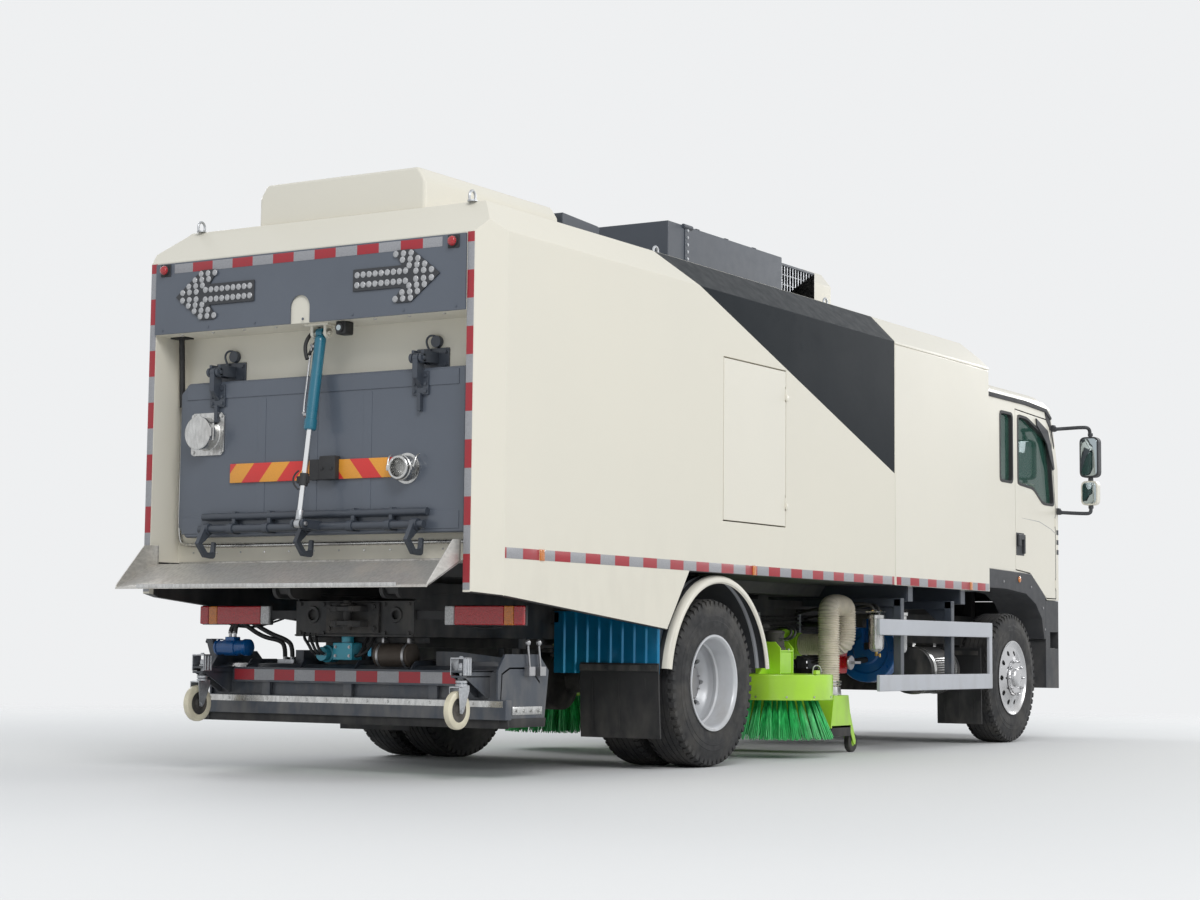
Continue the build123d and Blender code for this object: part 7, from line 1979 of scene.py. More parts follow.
def makeNozzle(s):
    x, half, end = s["x"], s["halfX"], s["end"]
    bm = plateOf(sideways([(x - half, 0.18), (x - 0.12, 0.41), (x + 0.12, 0.41), (x + half, 0.18)], -end),
        Vector((0, 2 * end, 0)))
    reach = end - 0.01
    hollow = plateOf(sideways([(x - half + 0.012, 0.17), (x - 0.11, 0.395), (x + 0.11, 0.395),
        (x + half - 0.012, 0.17)], -reach), Vector((0, 2 * reach, 0)))
    bm = carve(bm, [hollow])
    softenEdges(bm, 0.003)
    for side in (-1, 1):
        y = side * 0.385
        addBlock(bm, (x - 0.04, y - 0.04, 0.4), (x + 0.04, y + 0.04, 0.7795), 0.004)
        for fore in (-1, 1):
            addPlate(bm, crossways([(y - 0.04, 0.41), (y + 0.04, 0.41), (y + 0.04, 0.43), (y - 0.04, 0.43)],
                x + fore * 0.07 - 0.03), Vector((0.06, 0, 0)), 0.002)
    for index in range(7):
        y = -0.84 + index * 0.28
        for fore in (-1, 1):
            addPlate(bm, sideways([(x + fore * 0.119, 0.408), (x + fore * 0.169, 0.185),
                (x + fore * 0.176, 0.2), (x + fore * 0.135, 0.408)], y - 0.004), Vector((0, 0.008, 0)),
                0.001)
    settle("nozzleHood", bm, "limePaint", "chassis", 32, nodes=("suction_nozzle",))
    bm = bmesh.new()
    for fore in (-1, 1):
        x0, x1 = sorted((x + fore * half, x + fore * (half - 0.012)))
        addBlock(bm, (x0, -end + 0.01, s["low"]), (x1, end - 0.01, 0.19), 0.003)
    for side in (-1, 1):
        sideBlock(bm, side, (x - 0.155, end, s["low"]), (x + 0.155, end - 0.012, 0.2), 0.003)
    settle("nozzleRubber", bm, "flapRubber")
    bm = bmesh.new()
    for fore in (-1, 1):
        for index in range(11):
            addBolt(bm, (x + fore * half, -0.95 + index * 0.19, 0.17), (fore, 0, 0), 0.008, 0.006)
    settle("nozzleBolts", bm, "boltSteel", weighted=False)
    for name, side in sides:
        # ground wheels at the nozzle's ends, on short arms
        bm = bmesh.new()
        wheelX, wheelZ, y = x + 0.275, 0.072, side * 0.94
        addLathe(bm, [(-0.022, 0.03), (-0.022, 0.064), (-0.016, 0.071), (0.016, 0.071), (0.022, 0.064),
            (0.022, 0.03), (-0.022, 0.03)], (wheelX, y, wheelZ), across, 40)
        settle("nozzleWheel" + name, bm, "flapRubber", smooth=40)
        bm = bmesh.new()
        addLathe(bm, [(-0.026, 0.0), (-0.026, 0.014), (-0.018, 0.031), (0.018, 0.031), (0.026, 0.014),
            (0.026, 0.0)], (wheelX, y, wheelZ), across, 24)
        for shift in (-0.034, 0.028):
            addPlate(bm, sideways([(x + 0.15, 0.3), (x + 0.19, 0.31), (wheelX + 0.018, wheelZ + 0.01),
                (wheelX + 0.01, wheelZ - 0.018), (wheelX - 0.014, wheelZ - 0.014), (x + 0.15, 0.24)],
                y + shift), Vector((0, 0.006, 0)), 0.0015)
        settle("nozzleWheelArm" + name, bm, "limePaint")


pump = {
    "x": rearX + 3.2,
    "y": -0.76,
    "z": 0.735,
    "radius": 0.2445,
    "bowlY": -1.06,
    "valve": (0.875, -0.74),
    "separator": (0.86, -1.07),
}


def makePump(s):
    x, y, z, radius = s["x"], s["y"], s["z"], s["radius"]
    bm = bmesh.new()
    addLathe(bm, [(0.0, 0.0), (0.0, 0.1), (0.012, 0.112), (0.012, 0.17), (0.0, 0.182),
        (0.0, radius - 0.016), (0.005, radius - 0.004), (0.014, radius), (0.106, radius),
        (0.115, radius - 0.004), (0.12, radius - 0.016), (0.12, 0.0)], (x, y, z), along, 72)
    # the belt side is open towards the front and top
    slot = plateOf(crossways([(y + 0.02, z - 0.005), (y - 0.09, z + 0.015), (y - 0.26, z + 0.27),
        (y + 0.06, z + 0.27)], x - 0.01), Vector((0.07, 0, 0)))
    bm = carve(bm, [slot])
    softenEdges(bm, 0.004, 40)
    settle("pumpGuard", bm, "pumpBlue", "chassis", 32, nodes=("pump_unit",))
    bm = bmesh.new()
    addLathe(bm, [(0.12, 0.0), (0.12, 0.118), (0.145, 0.12), (0.15, 0.105), (0.25, 0.103), (0.255, 0.119),
        (0.275, 0.119), (0.28, 0.104), (0.38, 0.1), (0.39, 0.112), (0.412, 0.11), (0.42, 0.09),
        (0.42, 0.0)], (x, y, z), along, 40)
    for index in range(10):
        turn = math.tau * index / 10
        addBolt(bm, (x + 0.275, y + 0.111 * math.cos(turn), z + 0.111 * math.sin(turn)), (1, 0, 0), 0.006,
            0.008)
    addBlock(bm, (x + 0.18, y, 0.82), (x + 0.3, -railOut, 0.88), 0.005)
    addBlock(bm, (x - 0.06, s["bowlY"], 0.965), (x + 0.02, y + 0.06, 1.005), 0.004)
    addBlock(bm, (x - 0.055, y, 0.9), (x + 0.015, y + 0.055, 0.97), 0.004)
    addRod(bm, (x + 0.02, y, z), (x + 0.068, y, z), 0.055, 32)
    settle("pumpCase", bm, "castBlack")
    # filter with a clear bowl
    bm = bmesh.new()
    bowlX = x - 0.04
    addLathe(bm, [(0.87, 0.0), (0.87, 0.058), (0.885, 0.06), (0.905, 0.06), (0.91, 0.05), (0.985, 0.048),
        (0.99, 0.058), (1.012, 0.058), (1.02, 0.045), (1.03, 0.022), (1.03, 0.0)], (bowlX, s["bowlY"], 0),
        up, 40)
    addLathe(bm, [(0.694, 0.0), (0.694, 0.01), (0.712, 0.011), (0.712, 0.0)], (bowlX, s["bowlY"], 0), up,
        16)
    settle("filterHead", bm, "stainlessPart")
    bm = bmesh.new()
    addLathe(bm, [(0.87, 0.0), (0.87, 0.052), (0.74, 0.05), (0.72, 0.042), (0.71, 0.024), (0.71, 0.0)],
        (bowlX, s["bowlY"], 0), up, 40)
    settle("filterBowl", bm, "lensClear", "chassis", 40, False)
    # red valve between the hose and the guard, piped to the pump
    bm = bmesh.new()
    vx, vy = s["valve"]
    addBlock(bm, (vx - 0.07, vy - 0.06, 0.56), (vx + 0.07, vy + 0.06, 0.73), 0.014, segments=3)
    addLathe(bm, [(0.0, 0.0), (0.0, 0.055), (0.018, 0.055), (0.022, 0.042), (0.06, 0.04), (0.06, 0.0)],
        (vx, vy, 0.725), up, 32)
    addLathe(bm, [(0.055, 0.0), (0.055, 0.046), (0.088, 0.046), (0.092, 0.036), (0.11, 0.034), (0.11, 0.0)],
        (vx, vy, 0.64), (0, -1, 0), 32)
    settle("valveBody", bm, "valveRed")
    bm = bmesh.new()
    addPipe(bm, [(vx, vy, 0.78), (vx, vy, 0.84), (vx + 0.01, vy + 0.09, 0.9), (vx + 0.05, -0.56, 0.92),
        (vx + 0.06, -0.42, 0.92)], 0.024)
    addPipe(bm, [(vx + 0.06, vy, 0.62), (vx + 0.16, vy, 0.615), (vx + 0.24, vy + 0.03, 0.64),
        (x + 0.002, y, 0.66)], 0.022)
    settle("valvePipes", bm, "hoseBlack", "chassis", 40, False)
    bm = bmesh.new()
    addLathe(bm, [(0.11, 0.0), (0.11, 0.05), (0.118, 0.054), (0.126, 0.05), (0.126, 0.0)], (vx, vy, 0.64),
        (0, -1, 0), 24)
    addRod(bm, (vx, vy - 0.12, 0.64), (vx, vy - 0.15, 0.64), 0.008, 12)
    addBlock(bm, (vx - 0.006, vy - 0.156, 0.63), (vx + 0.095, vy - 0.148, 0.65), 0.003)
    settle("valveLever", bm, "boltSteel")
    # water separator hung from the frame beside the guard's end
    bm = bmesh.new()
    sx, sy = s["separator"]
    addLathe(bm, [(0.72, 0.0), (0.72, 0.028), (0.74, 0.052), (0.76, 0.056), (0.955, 0.056), (0.96, 0.064),
        (0.985, 0.064), (0.99, 0.05), (1.005, 0.03), (1.005, 0.0)], (sx, sy, 0), up, 40)
    addBlock(bm, (sx - 0.085, sy - 0.045, 1.003), (sx + 0.085, sy + 0.045, 1.015), 0.003)
    settle("separator", bm, "stainlessPart")
    bm = bmesh.new()
    addBlock(bm, (sx - 0.02, sy, 1.015), (sx + 0.02, -railOut, 1.027), 0.002)
    addBlock(bm, (sx - 0.02, -0.435, 0.93), (sx + 0.02, -railOut, 1.027), 0.002)
    addPipe(bm, [(sx - 0.05, sy, 1.012), (sx - 0.05, sy, 1.04), (sx - 0.05, sy + 0.06, 1.075),
        (sx - 0.03, -0.7, 1.06), (sx - 0.02, -0.42, 0.99)], 0.011)
    addPipe(bm, [(sx + 0.05, sy, 1.012), (sx + 0.05, sy, 1.045), (sx + 0.08, sy + 0.08, 1.07),
        (sx + 0.12, -0.7, 1.0), (sx + 0.14, -0.42, 0.96)], 0.011)
    settle("separatorBracket", bm, "castBlack", weighted=False)
    bm = bmesh.new()
    addRod(bm, (sx, sy, 0.722), (sx, sy, 0.69), 0.012, 6)
    addRod(bm, (sx, sy, 0.7), (sx, sy - 0.028, 0.695), 0.005, 10)
    addRod(bm, (sx, sy - 0.028, 0.682), (sx, sy - 0.028, 0.708), 0.008, 10)
    for dx in (-0.065, 0.065):
        addBolt(bm, (sx + dx, sy, 1.015), up, 0.008, 0.006)
    settle("drainValve", bm, "brassPart", weighted=False)


makeHose(hose)
makeNozzle(nozzle)
makePump(pump)
print("hose, nozzle and pump made")

# side guards, tanks and hung equipment
guards = {"rear": rearX + 2.39, "front": rearX + 4.5, "outer": 1.25, "inner": 1.222,
    "posts": (0.955, 1.885)}


def makeGuards(s):
    for name, side in sides:
        y0, y1 = sorted((side * s["inner"], side * s["outer"]))
        bm = bmesh.new()
        addBlock(bm, (s["rear"], y0, 0.84), (s["front"], y1, 0.955), 0.007)
        addBlock(bm, (s["rear"], y0, 0.44), (s["front"], y1, 0.557), 0.007)
        addBlock(bm, (s["front"] - 0.06, y0 + 0.001, 0.53), (s["front"] - 0.001, y1 - 0.001, 0.87), 0.007)
        settle("guardRails" + name, bm, "guardSilver", nodes=("side_guards",) if side < 0 else ())
        bm = bmesh.new()
        post0, post1 = sorted((side * (s["inner"] - 0.06), side * s["inner"]))
        arm0, arm1 = sorted((side * railY, side * s["inner"]))
        for x in s["posts"]:
            addBlock(bm, (x, post0, 0.44), (x + 0.06, post1, 1.11), 0.006)
            addBlock(bm, (x, arm0, 1.05), (x + 0.06, arm1, 1.11), 0.005)
            addPlate(bm, crossways([(side * 1.165, 0.9), (side * 1.165, 1.055), (side * 0.98, 1.055)],
                x + 0.024), Vector((0.01, 0, 0)), 0.001)
        settle("guardPosts" + name, bm, "slateDark")
        bm = bmesh.new()
        for x in s["posts"]:
            for z in (0.475, 0.522, 0.875, 0.92):
                addBolt(bm, (x + 0.03, side * s["outer"] - side * 0.0065, z), (0, side, 0), 0.009, 0.006,
                    washer=False)
        settle("guardBolts" + name, bm, "boltSteel", weighted=False)


def tankFinish(centre, normal):
    onStrap = any(0 <= centre.x - start <= 0.0455 for start in (1.745, 2.185, 1.945, 2.345))
    proud = centre.y < 0 or centre.y > 1.151 or centre.z > 1.041 or centre.z < 0.519
    if onStrap and proud:
        return 2
    return 1 if centre.y < 0 else 0


def makeHungGear():
    dressSplit("tanks", ("tankGrey", "chassisBlack", "stainlessPart"), tankFinish, 0.0)
    bm = bmesh.new()
    addLathe(bm, [(0.0, 0.0), (0.0, 0.046), (0.018, 0.048), (0.03, 0.044), (0.034, 0.0)],
        (1.62, 0.8, 1.035), up, 32)
    settle("fuelCap", bm, "castBlack")
    bm = bmesh.new()
    # pump block, filter and silencer hung behind the rear springs
    x = rearX - 1.93
    addBlock(bm, (x - 0.03, -0.42, 0.745), (x + 0.03, 0.42, 0.7795), 0.004)
    addBlock(bm, (x - 0.012, 0.02, 0.6), (x + 0.012, 0.3, 0.75), 0.003)
    settle("gearBar", bm, "chassisBlack")
    bm = bmesh.new()
    addBlock(bm, (x - 0.11, 0.03, 0.645), (x - 0.012, 0.17, 0.745), 0.006)
    addLathe(bm, [(0.0, 0.0), (0.0, 0.05), (0.07, 0.05), (0.075, 0.04), (0.12, 0.04), (0.12, 0.0)],
        (x - 0.012, 0.235, 0.68), (-1, 0, 0), 32)
    addLathe(bm, [(0.0, 0.0), (0.0, 0.036), (0.1, 0.036), (0.11, 0.03), (0.11, 0.0)], (x - 0.06, 0.1, 0.74),
        up, 24)
    settle("gearPump", bm, "pumpTeal")
    bm = bmesh.new()
    addLathe(bm, [(0.0, 0.0), (0.0, 0.04), (0.012, 0.068), (0.03, 0.07), (0.23, 0.07), (0.248, 0.068),
        (0.26, 0.04), (0.26, 0.0)], (x - 0.06, -0.38, 0.675), across, 36)
    settle("silencer", bm, "silencerBrown")
    bm = bmesh.new()
    for y in (-0.35, -0.17):
        addLathe(bm, [(0.0, 0.071), (0.0, 0.074), (0.016, 0.074), (0.016, 0.071), (0.0, 0.071)],
            (x - 0.06, y, 0.675), across, 36)
        addBlock(bm, (x - 0.072, y, 0.74), (x - 0.028, y + 0.016, 0.776), 0.002)
    for y, z in ((0.05, 0.67), (0.15, 0.67), (0.05, 0.72), (0.15, 0.72)):
        addBolt(bm, (x - 0.11, y, z), (-1, 0, 0), 0.007, 0.007)
    for index in range(3):
        addRod(bm, (x - 0.132, 0.205 + index * 0.03, 0.68), (x - 0.15, 0.205 + index * 0.03, 0.68), 0.01, 6)
    settle("gearBolts", bm, "boltSteel", weighted=False)
    bm = bmesh.new()
    # pressure lines from the pump up to the frame, held at both ends
    for index in range(3):
        y = 0.205 + index * 0.03
        addPipe(bm, [(x - 0.145, y, 0.68), (x - 0.175, y, 0.685), (x - 0.185, y + 0.02, 0.73),
            (x - 0.14, y + 0.07 + index * 0.02, 0.79), (x - 0.02, 0.345, 0.84 + index * 0.035),
            (x + 0.14, 0.35, 0.85 + index * 0.035)], 0.009)
    for index in range(2):
        addPipe(bm, [(x - 0.03, -0.02 - index * 0.05, 0.78), (x - 0.08, -0.02 - index * 0.05, 0.7),
            (x - 0.095, 0.0, 0.665), (x - 0.08, 0.03, 0.67)], 0.009)
    settle("gearLines", bm, "hoseBlack", "chassis", 40, False)
    # clips and lines along the right rail, over the brush
    bm = bmesh.new()
    for index in range(4):
        z = 0.86 + index * 0.032
        addPipe(bm, [(-1.3, -0.437, z), (-0.6, -0.437, z), (0.1, -0.437, z), (0.62, -0.437, z + 0.01),
            (0.8, -0.445, z + 0.02), (1.35, -0.445, z + 0.02)], 0.0085)
    settle("railLines", bm, "hoseBlack", "chassis", 40, False)
    bm = bmesh.new()
    for x in (-1.2, -0.75, -0.3, 0.2, 0.85, 1.25):
        addBlock(bm, (x, -0.452, 0.84), (x + 0.03, -railOut, 0.995), 0.003)
        addBolt(bm, (x + 0.015, -0.452, 0.917), (0, -1, 0), 0.008, 0.007)
    settle("railClips", bm, "zinc")


makeGuards(guards)
makeHungGear()
print("guards, tanks and hung gear made")


# cab
cab = {
    "rear": frontX - 0.5,
    "half": 1.12,
    "reveal": (1.092, 1.1235),
    "doorWindow": [(0.29, 2.12), (0.64, 2.1), (0.86, 1.985), (1.125, 1.985), (1.025, 2.54), (0.5, 2.685),
        (0.29, 2.69)],
    "quarter": [(-0.1, 2.12), (0.175, 2.12), (0.175, 2.69), (-0.1, 2.69)],
    "mirrorY": 1.39,
}


def roundLoop(points, grow, radius, steps=6):
    # the outline moved outwards by grow, with its corners rounded
    points = [Vector(point) for point in points]
    count = len(points)
    area = sum(points[i].x * points[(i + 1) % count].y - points[(i + 1) % count].x * points[i].y
        for i in range(count))
    sign = 1 if area > 0 else -1
    moved = []
    for index, point in enumerate(points):
        before = (point - points[index - 1]).normalized()
        after = (points[(index + 1) % count] - point).normalized()
        normal = (Vector((before.y, -before.x)) + Vector((after.y, -after.x))) * sign
        normal.normalize()
        moved.append(point + normal * grow / max(normal.dot(Vector((after.y, -after.x)) * sign), 0.3))
    outline = []
    for index, point in enumerate(moved):
        before = moved[index - 1] - point
        after = moved[(index + 1) % count] - point
        reach = min(radius, before.length * 0.45, after.length * 0.45)
        start, end = point + before.normalized() * reach, point + after.normalized() * reach
        for step in range(steps + 1):
            t = step / steps
            outline.append(start * (1 - t) ** 2 + point * 2 * t * (1 - t) + end * t ** 2)
    return [tuple(one) for one in outline]


def ringPlate(bm, points, place, thickness, outer, inner, radius):
    # a flat rubber ring that follows an outline
    outside = plateOf(place(roundLoop(points, outer, radius + outer)), thickness)
    hollow = plateOf([point - thickness * 0.1 for point in place(roundLoop(points, -inner, radius))],
        thickness * 1.2)
    piece = carve(outside, [hollow])
    softenEdges(piece, 0.002, 40)
    takeIn(bm, piece)


def cabFinish(centre, normal):
    inward = (centre - Vector((3.7, 0, 2.0))).dot(normal) < 0
    if 4.31 < centre.x < 4.6 and 2.5 < centre.z < 2.7 and abs(centre.y) < 0.904:
        return 2
    inGrille = abs(centre.y) < 0.625 and 1.265 < centre.z < 1.695 and centre.x > 4.66
    onBar = abs((centre.z - 1.27) % 0.084 - 0.042) < 0.004 and abs(centre.y) < 0.01
    if inGrille and (onBar or centre.x < 4.69 or abs(normal.x) < 0.5):
        return 2
    if centre.z < 1.405 and normal.z < -0.4:
        return 2
    return 1 if inward else 0


def makeCab(s):
    dressSplit("cab_shell", ("creamPlain", "trimPlastic", "slateDark"), cabFinish, 0.0015, 0.2)
    for name, side in (("Left", 1), ("Right", -1)):
        low = name.lower()
        door = "cab_door_" + low
        dressSplit(door, ("creamPlain", "trimPlastic"),
            lambda centre, normal, side=side: 1 if normal.y * side < -0.5 else 0, 0.004)
        dressNode("door_glass_" + low, "cabGlass", 0.0)
        y0, y1 = [side * reach for reach in s["reveal"]]
        window = [(frontX + x, z) for x, z in s["doorWindow"]]
        bm = bmesh.new()
        ringPlate(bm, window, lambda points, y=y0: sideways(points, y), Vector((0, y1 - y0, 0)), 0.01,
            0.012, 0.045)
        settle("doorRubber" + name, bm, "sealRubber", door)
        bm = bmesh.new()
        quarter = [(frontX + x, z) for x, z in s["quarter"]]
        ringPlate(bm, quarter, lambda points, y=y0: sideways(points, y), Vector((0, y1 - y0, 0)), 0.01,
            0.012, 0.045)
        # gutter along the roof's edge
        addPlate(bm, sideways([(s["rear"] + 0.02, 2.79), (3.7, 2.79), (4.16, 2.772), (4.295, 2.715),
            (4.315, 2.735), (4.19, 2.803), (3.72, 2.826), (s["rear"] + 0.02, 2.826)], side * 1.105),
            Vector((0, side * 0.026, 0)), 0.004)
        addPlate(bm, sideways([(4.16, 2.772), (4.295, 2.715), (4.385, 2.5), (4.37, 2.47), (4.305, 2.62),
            (4.2, 2.7)], side * 1.112), Vector((0, side * 0.012, 0)), 0.003)
        settle("gutter" + name, bm, "sealRubber")
        bm = bmesh.new()
        # wind deflector over the window's front corner
        addPlate(bm, sideways([(3.94, 2.7), (4.215, 2.615), (4.315, 2.44), (4.365, 2.3), (4.335, 2.285),
            (4.27, 2.37), (4.19, 2.5), (4.1, 2.56), (3.96, 2.64)], side * 1.122),
            Vector((0, side * 0.012, 0)), 0.003)
        settle("windDeflector" + name, bm, "trimPlastic", door)
        bm = bmesh.new()
        y = sorted((side * 1.1185, side * 1.1225))
        addBlock(bm, (3.49, y[0], 1.525), (3.665, y[1], 1.712), 0.0015)
        y = sorted((side * 1.122, side * 1.143))
        addBlock(bm, (3.503, y[0], 1.6), (3.56, y[1], 1.7), 0.008, segments=3)
        addBlock(bm, (3.545, y[0], 1.655), (3.652, y[1], 1.7), 0.008, segments=3)
        addBlock(bm, (3.625, y[0], 1.54), (3.652, y[1], 1.69), 0.008, segments=3)
        settle("doorHandle" + name, bm, "trimPlastic", door)
        bm = bmesh.new()
        # louvres and side lamp on the front corner
        for index in range(3):
            z = 1.565 + index * 0.085
            y = sorted((side * 1.115, side * 1.1212))
            addBlock(bm, (4.425, y[0], z), (4.475, y[1], z + 0.042), 0.002)
        for index in range(3):
            z = 1.31 + index * 0.05
            sideBlock(bm, side, (4.7085, 0.66, z), (4.7145, 0.86, z + 0.022), 0.002)
        settle("louvres" + name, bm, "trimPlastic")
        bm = bmesh.new()
        addLathe(bm, [(0.0, 0.0), (0.0, 0.026), (0.004, 0.027), (0.009, 0.022), (0.011, 0.012),
            (0.011, 0.0)], (3.53, side * 1.1302, 1.325), (0, side, 0), 24)
        settle("archMarker" + name, bm, "lensAmber", "chassis", 50, False)
        # shut line under the waist, pressed into the door
        # painted shade: a thin grey strip on the door stands for the shadow in the shut line pressed in
        # under the waist
        bm = bmesh.new()
        y = sorted((side * 1.1196, side * 1.1206))
        addPlate(bm, sideways([(3.62, 1.838), (4.02, 1.826), (4.3, 1.775), (4.405, 1.742), (4.405, 1.7465),
            (4.3, 1.7795), (4.02, 1.8305), (3.62, 1.8395)], y[0]), Vector((0, y[1] - y[0], 0)), 0.0)
        settle("waistShadeStrip" + name, bm, "hubGrey", door, weighted=False)
    dressNode("cab_glass", "cabGlass", 0.0)
    bm = bmesh.new()
    screen = [(-0.99, 2.01), (0.99, 2.01), (0.99, 2.64), (-0.99, 2.64)]
    ringPlate(bm, screen, lambda points: crossways(points, 0), Vector((0.036, 0, 0)), 0.028, 0.01, 0.06)
    for vert in bm.verts:
        front = 0.006 if vert.co.x > 0.02 else 0
        vert.co.x += 4.533 + (vert.co.z - 2.01) * (4.369 - 4.557) / 0.63 + front
    settle("screenRubber", bm, "sealRubber")
    bm = bmesh.new()
    for y in (-0.55, 0.25):
        # wipers, parked on the glass
        foot = Vector((4.6, y, 1.985))
        head = Vector((4.505, y + 0.42, 2.205))
        addRod(bm, foot, head, 0.008, 10, 0.005)
        addRod(bm, foot - Vector((0.04, 0, 0.01)), foot + Vector((0.012, 0, 0.004)), 0.018, 20)
        addBlock(bm, head + Vector((-0.006, -0.3, -0.01)), head + Vector((0.004, 0.3, 0.012)), 0.003)
    addBlock(bm, (4.6, -0.93, 1.905), (4.664, 0.93, 1.975), 0.01)
    settle("wipers", bm, "sealRubber")
    bm = bmesh.new()
    for index in range(46):
        y = -0.61 + index * 0.0271
        addRod(bm, (4.679, y, 1.272), (4.679, y, 1.688), 0.004, 6)
    settle("grilleMesh", bm, "trimPlastic", "chassis", 40, False)


bumper = {
    "face": 4.7225,
    "pan": (0.56, 0.84),
    "lampY": (0.628, 0.773),
    "lampZ": 0.712,
    "stepZ": (0.745, 0.902),
}


def makeBumper(s):
    dressNode("front_bumper", "trimPlastic", 0.0015, 0.2)
    dressNode("cab_arches", "trimPlastic", 0.006)
    for name, side in (("Left", 1), ("Right", -1)):
        bm = bmesh.new()
        face, lampZ = s["face"], s["lampZ"]
        y0, y1 = sorted(side * reach for reach in s["pan"])
        addBlock(bm, (4.69, y0 + 0.002, 0.622), (4.7215, y1 - 0.002, 0.798), 0.008)
        settle("headlampPan" + name, bm, "sealRubber")
        bm = bmesh.new()
        for y in s["lampY"]:
            addLathe(bm, [(0, 0), (0, 0.072), (0.0022, 0.07), (0.0022, 0.064), (0.0007, 0.059), (0.0007, 0)],
                (face, side * y, lampZ), along, 40)
        addBlock(bm, (face, y0 + 0.012, 0.628), (face + 0.0018, y1 - 0.012, 0.642), 0.0005)
        settle("headlampRings" + name, bm, "chromeRod")
        bm = bmesh.new()
        addBlock(bm, (face - 0.001, y0, 0.62), (face + 0.0005, y1, 0.8), 0.0)
        settle("headlampGlass" + name, bm, "mirrorDark", smooth=40)
        bm = bmesh.new()
        for y in s["lampY"]:
            addLathe(bm, [(0.0003, 0), (0.0003, 0.06), (0.0013, 0.057), (0.002, 0.038), (0.0023, 0.015),
                (0.0023, 0)], (face, side * y, lampZ), along, 40)
        settle("headlampLens" + name, bm, "lensClear", "chassis", 50, False)
        bm = bmesh.new()
        for z in s["stepZ"]:
            # treads of the cab steps
            sideBlock(bm, side, (4.25, 0.99, z), (4.43, 1.118, z + 0.014), 0.003)
            for index in range(5):
                sideBlock(bm, side, (4.262 + index * 0.034, 1.0, z + 0.014),
                    (4.272 + index * 0.034, 1.108, z + 0.02), 0.001)
        settle("cabSteps" + name, bm, "stainlessPart")
        bm = bmesh.new()
        for x, z in ((3.19, 1.3), (3.8, 1.27), (4.07, 1.1), (4.115, 0.92)):
            addBolt(bm, (x, side * 1.1295, z), (0, side, 0), 0.008, 0.005)
        settle("archBolts" + name, bm, "boltSteel", weighted=False)


def makeMirrors(s):
    bm = bmesh.new()
    glass = bmesh.new()
    shells = bmesh.new()
    for side in (-1, 1):
        y = side * s["mirrorY"]
        for z0, z1, front, low, high in ((2.23, 2.58, 4.595, 0.09, 0.08), (1.99, 2.2, 4.59, 0.08, 0.07)):
            y0, y1 = sorted((y - side * low, y + side * high))
            outline = roundLoop([(y0, z0), (y1, z0), (y1, z1), (y0, z1)], 0, 0.05)
            backs = shells if z0 < 2.1 else bm
            addPlate(backs, crossways(outline, 4.515), Vector((front - 4.515, 0, 0)), 0.012, segments=3)
            inner = roundLoop([(y0, z0), (y1, z0), (y1, z1), (y0, z1)], -0.014, 0.04)
            addPlate(glass, crossways(inner, 4.5125), Vector((0.004, 0, 0)), 0.001)
        addPipe(bm, [(4.336, side * 1.14, 2.64), (4.348, side * 1.168, 2.642), (4.396, side * 1.198, 2.648),
            (4.418, side * 1.37, 2.655), (4.5, y, 2.656), (4.545, y, 2.62), (4.545, y, 2.3),
            (4.545, y, 1.96), (4.535, y, 1.925), (4.5, side * 1.36, 1.915), (4.45, side * 1.14, 1.93)],
            0.0155)
        for foot, z in ((4.336, 2.64), (4.445, 1.93)):
            sideBlock(bm, side, (foot - 0.0205, 1.1203, z - 0.0205), (foot + 0.034, 1.146, z + 0.036),
                0.006)
            addRod(bm, (foot, side * 1.14, z), (foot, side * 1.16, z), 0.02, 20)
        for z in (2.6, 2.215, 1.975):
            addRod(bm, (4.545, y, z - 0.012), (4.545, y, z + 0.012), 0.022, 20)
    settle("mirrorHeads", bm, "trimPlastic", "chassis", 40, nodes=("mirrors",))
    settle("mirrorBacks", shells, "creamPlain", smooth=40)
    settle("mirrorFaces", glass, "mirrorGlass", "chassis", 40, False)


def moduleFinish(centre, normal):
    return 1 if centre.z < 1.196 or (centre.z < 1.215 and normal.z < -0.4) else 0


dressSplit("front_module", ("creamPlain", "slateDark"), moduleFinish, 0.006)
makeCab(cab)
makeBumper(bumper)
makeMirrors(cab)
print("cab made")

# cab interior
inside = {"floor": 1.45, "seats": (-0.56, 0.56), "voxel": 0.009, "cap": 0.022, "pressure": 4.0,
    "frames": 20}


def seatParts():
    floor = inside["floor"]
    cushion = plateOf(flatways(roundLoop([(3.41, -0.232), (3.885, -0.232), (3.885, 0.232), (3.41, 0.232)],
        0, 0.07), floor + 0.338), Vector((0, 0, 0.098)))
    back = plateOf(sideways([(3.36, 1.875), (3.462, 1.905), (3.405, 2.455), (3.318, 2.455)], -0.222),
        Vector((0, 0.444, 0)))
    head = plateOf(sideways([(3.305, 2.485), (3.375, 2.485), (3.365, 2.635), (3.31, 2.635)], -0.115),
        Vector((0, 0.23, 0)))
    return (("Cushion", cushion), ("Back", back), ("Head", head))


def swell(piece, s):
    # remesh, then let a cloth with inner pressure round the pad
    remesh = piece.modifiers.new("grid", "REMESH")
    remesh.mode = "VOXEL"
    remesh.voxel_size = s["voxel"] * 1
    bake(piece)
    start = [vert.co.copy() for vert in piece.data.vertices]
    cloth = piece.modifiers.new("swell", "CLOTH")
    cloth.settings.use_pressure = True
    cloth.settings.uniform_pressure_force = s["pressure"]
    cloth.settings.effector_weights.gravity = 0
    cloth.point_cache.frame_start = 1
    cloth.point_cache.frame_end = s["frames"]
    for frameNumber in range(1, s["frames"] + 1):
        scene.frame_set(frameNumber)
    bake(piece)
    scene.frame_set(1)
    for vert, place in zip(piece.data.vertices, start):
        move = vert.co - place
        if move.length > s["cap"]:
            vert.co = place + move.normalized() * s["cap"]
    return piece


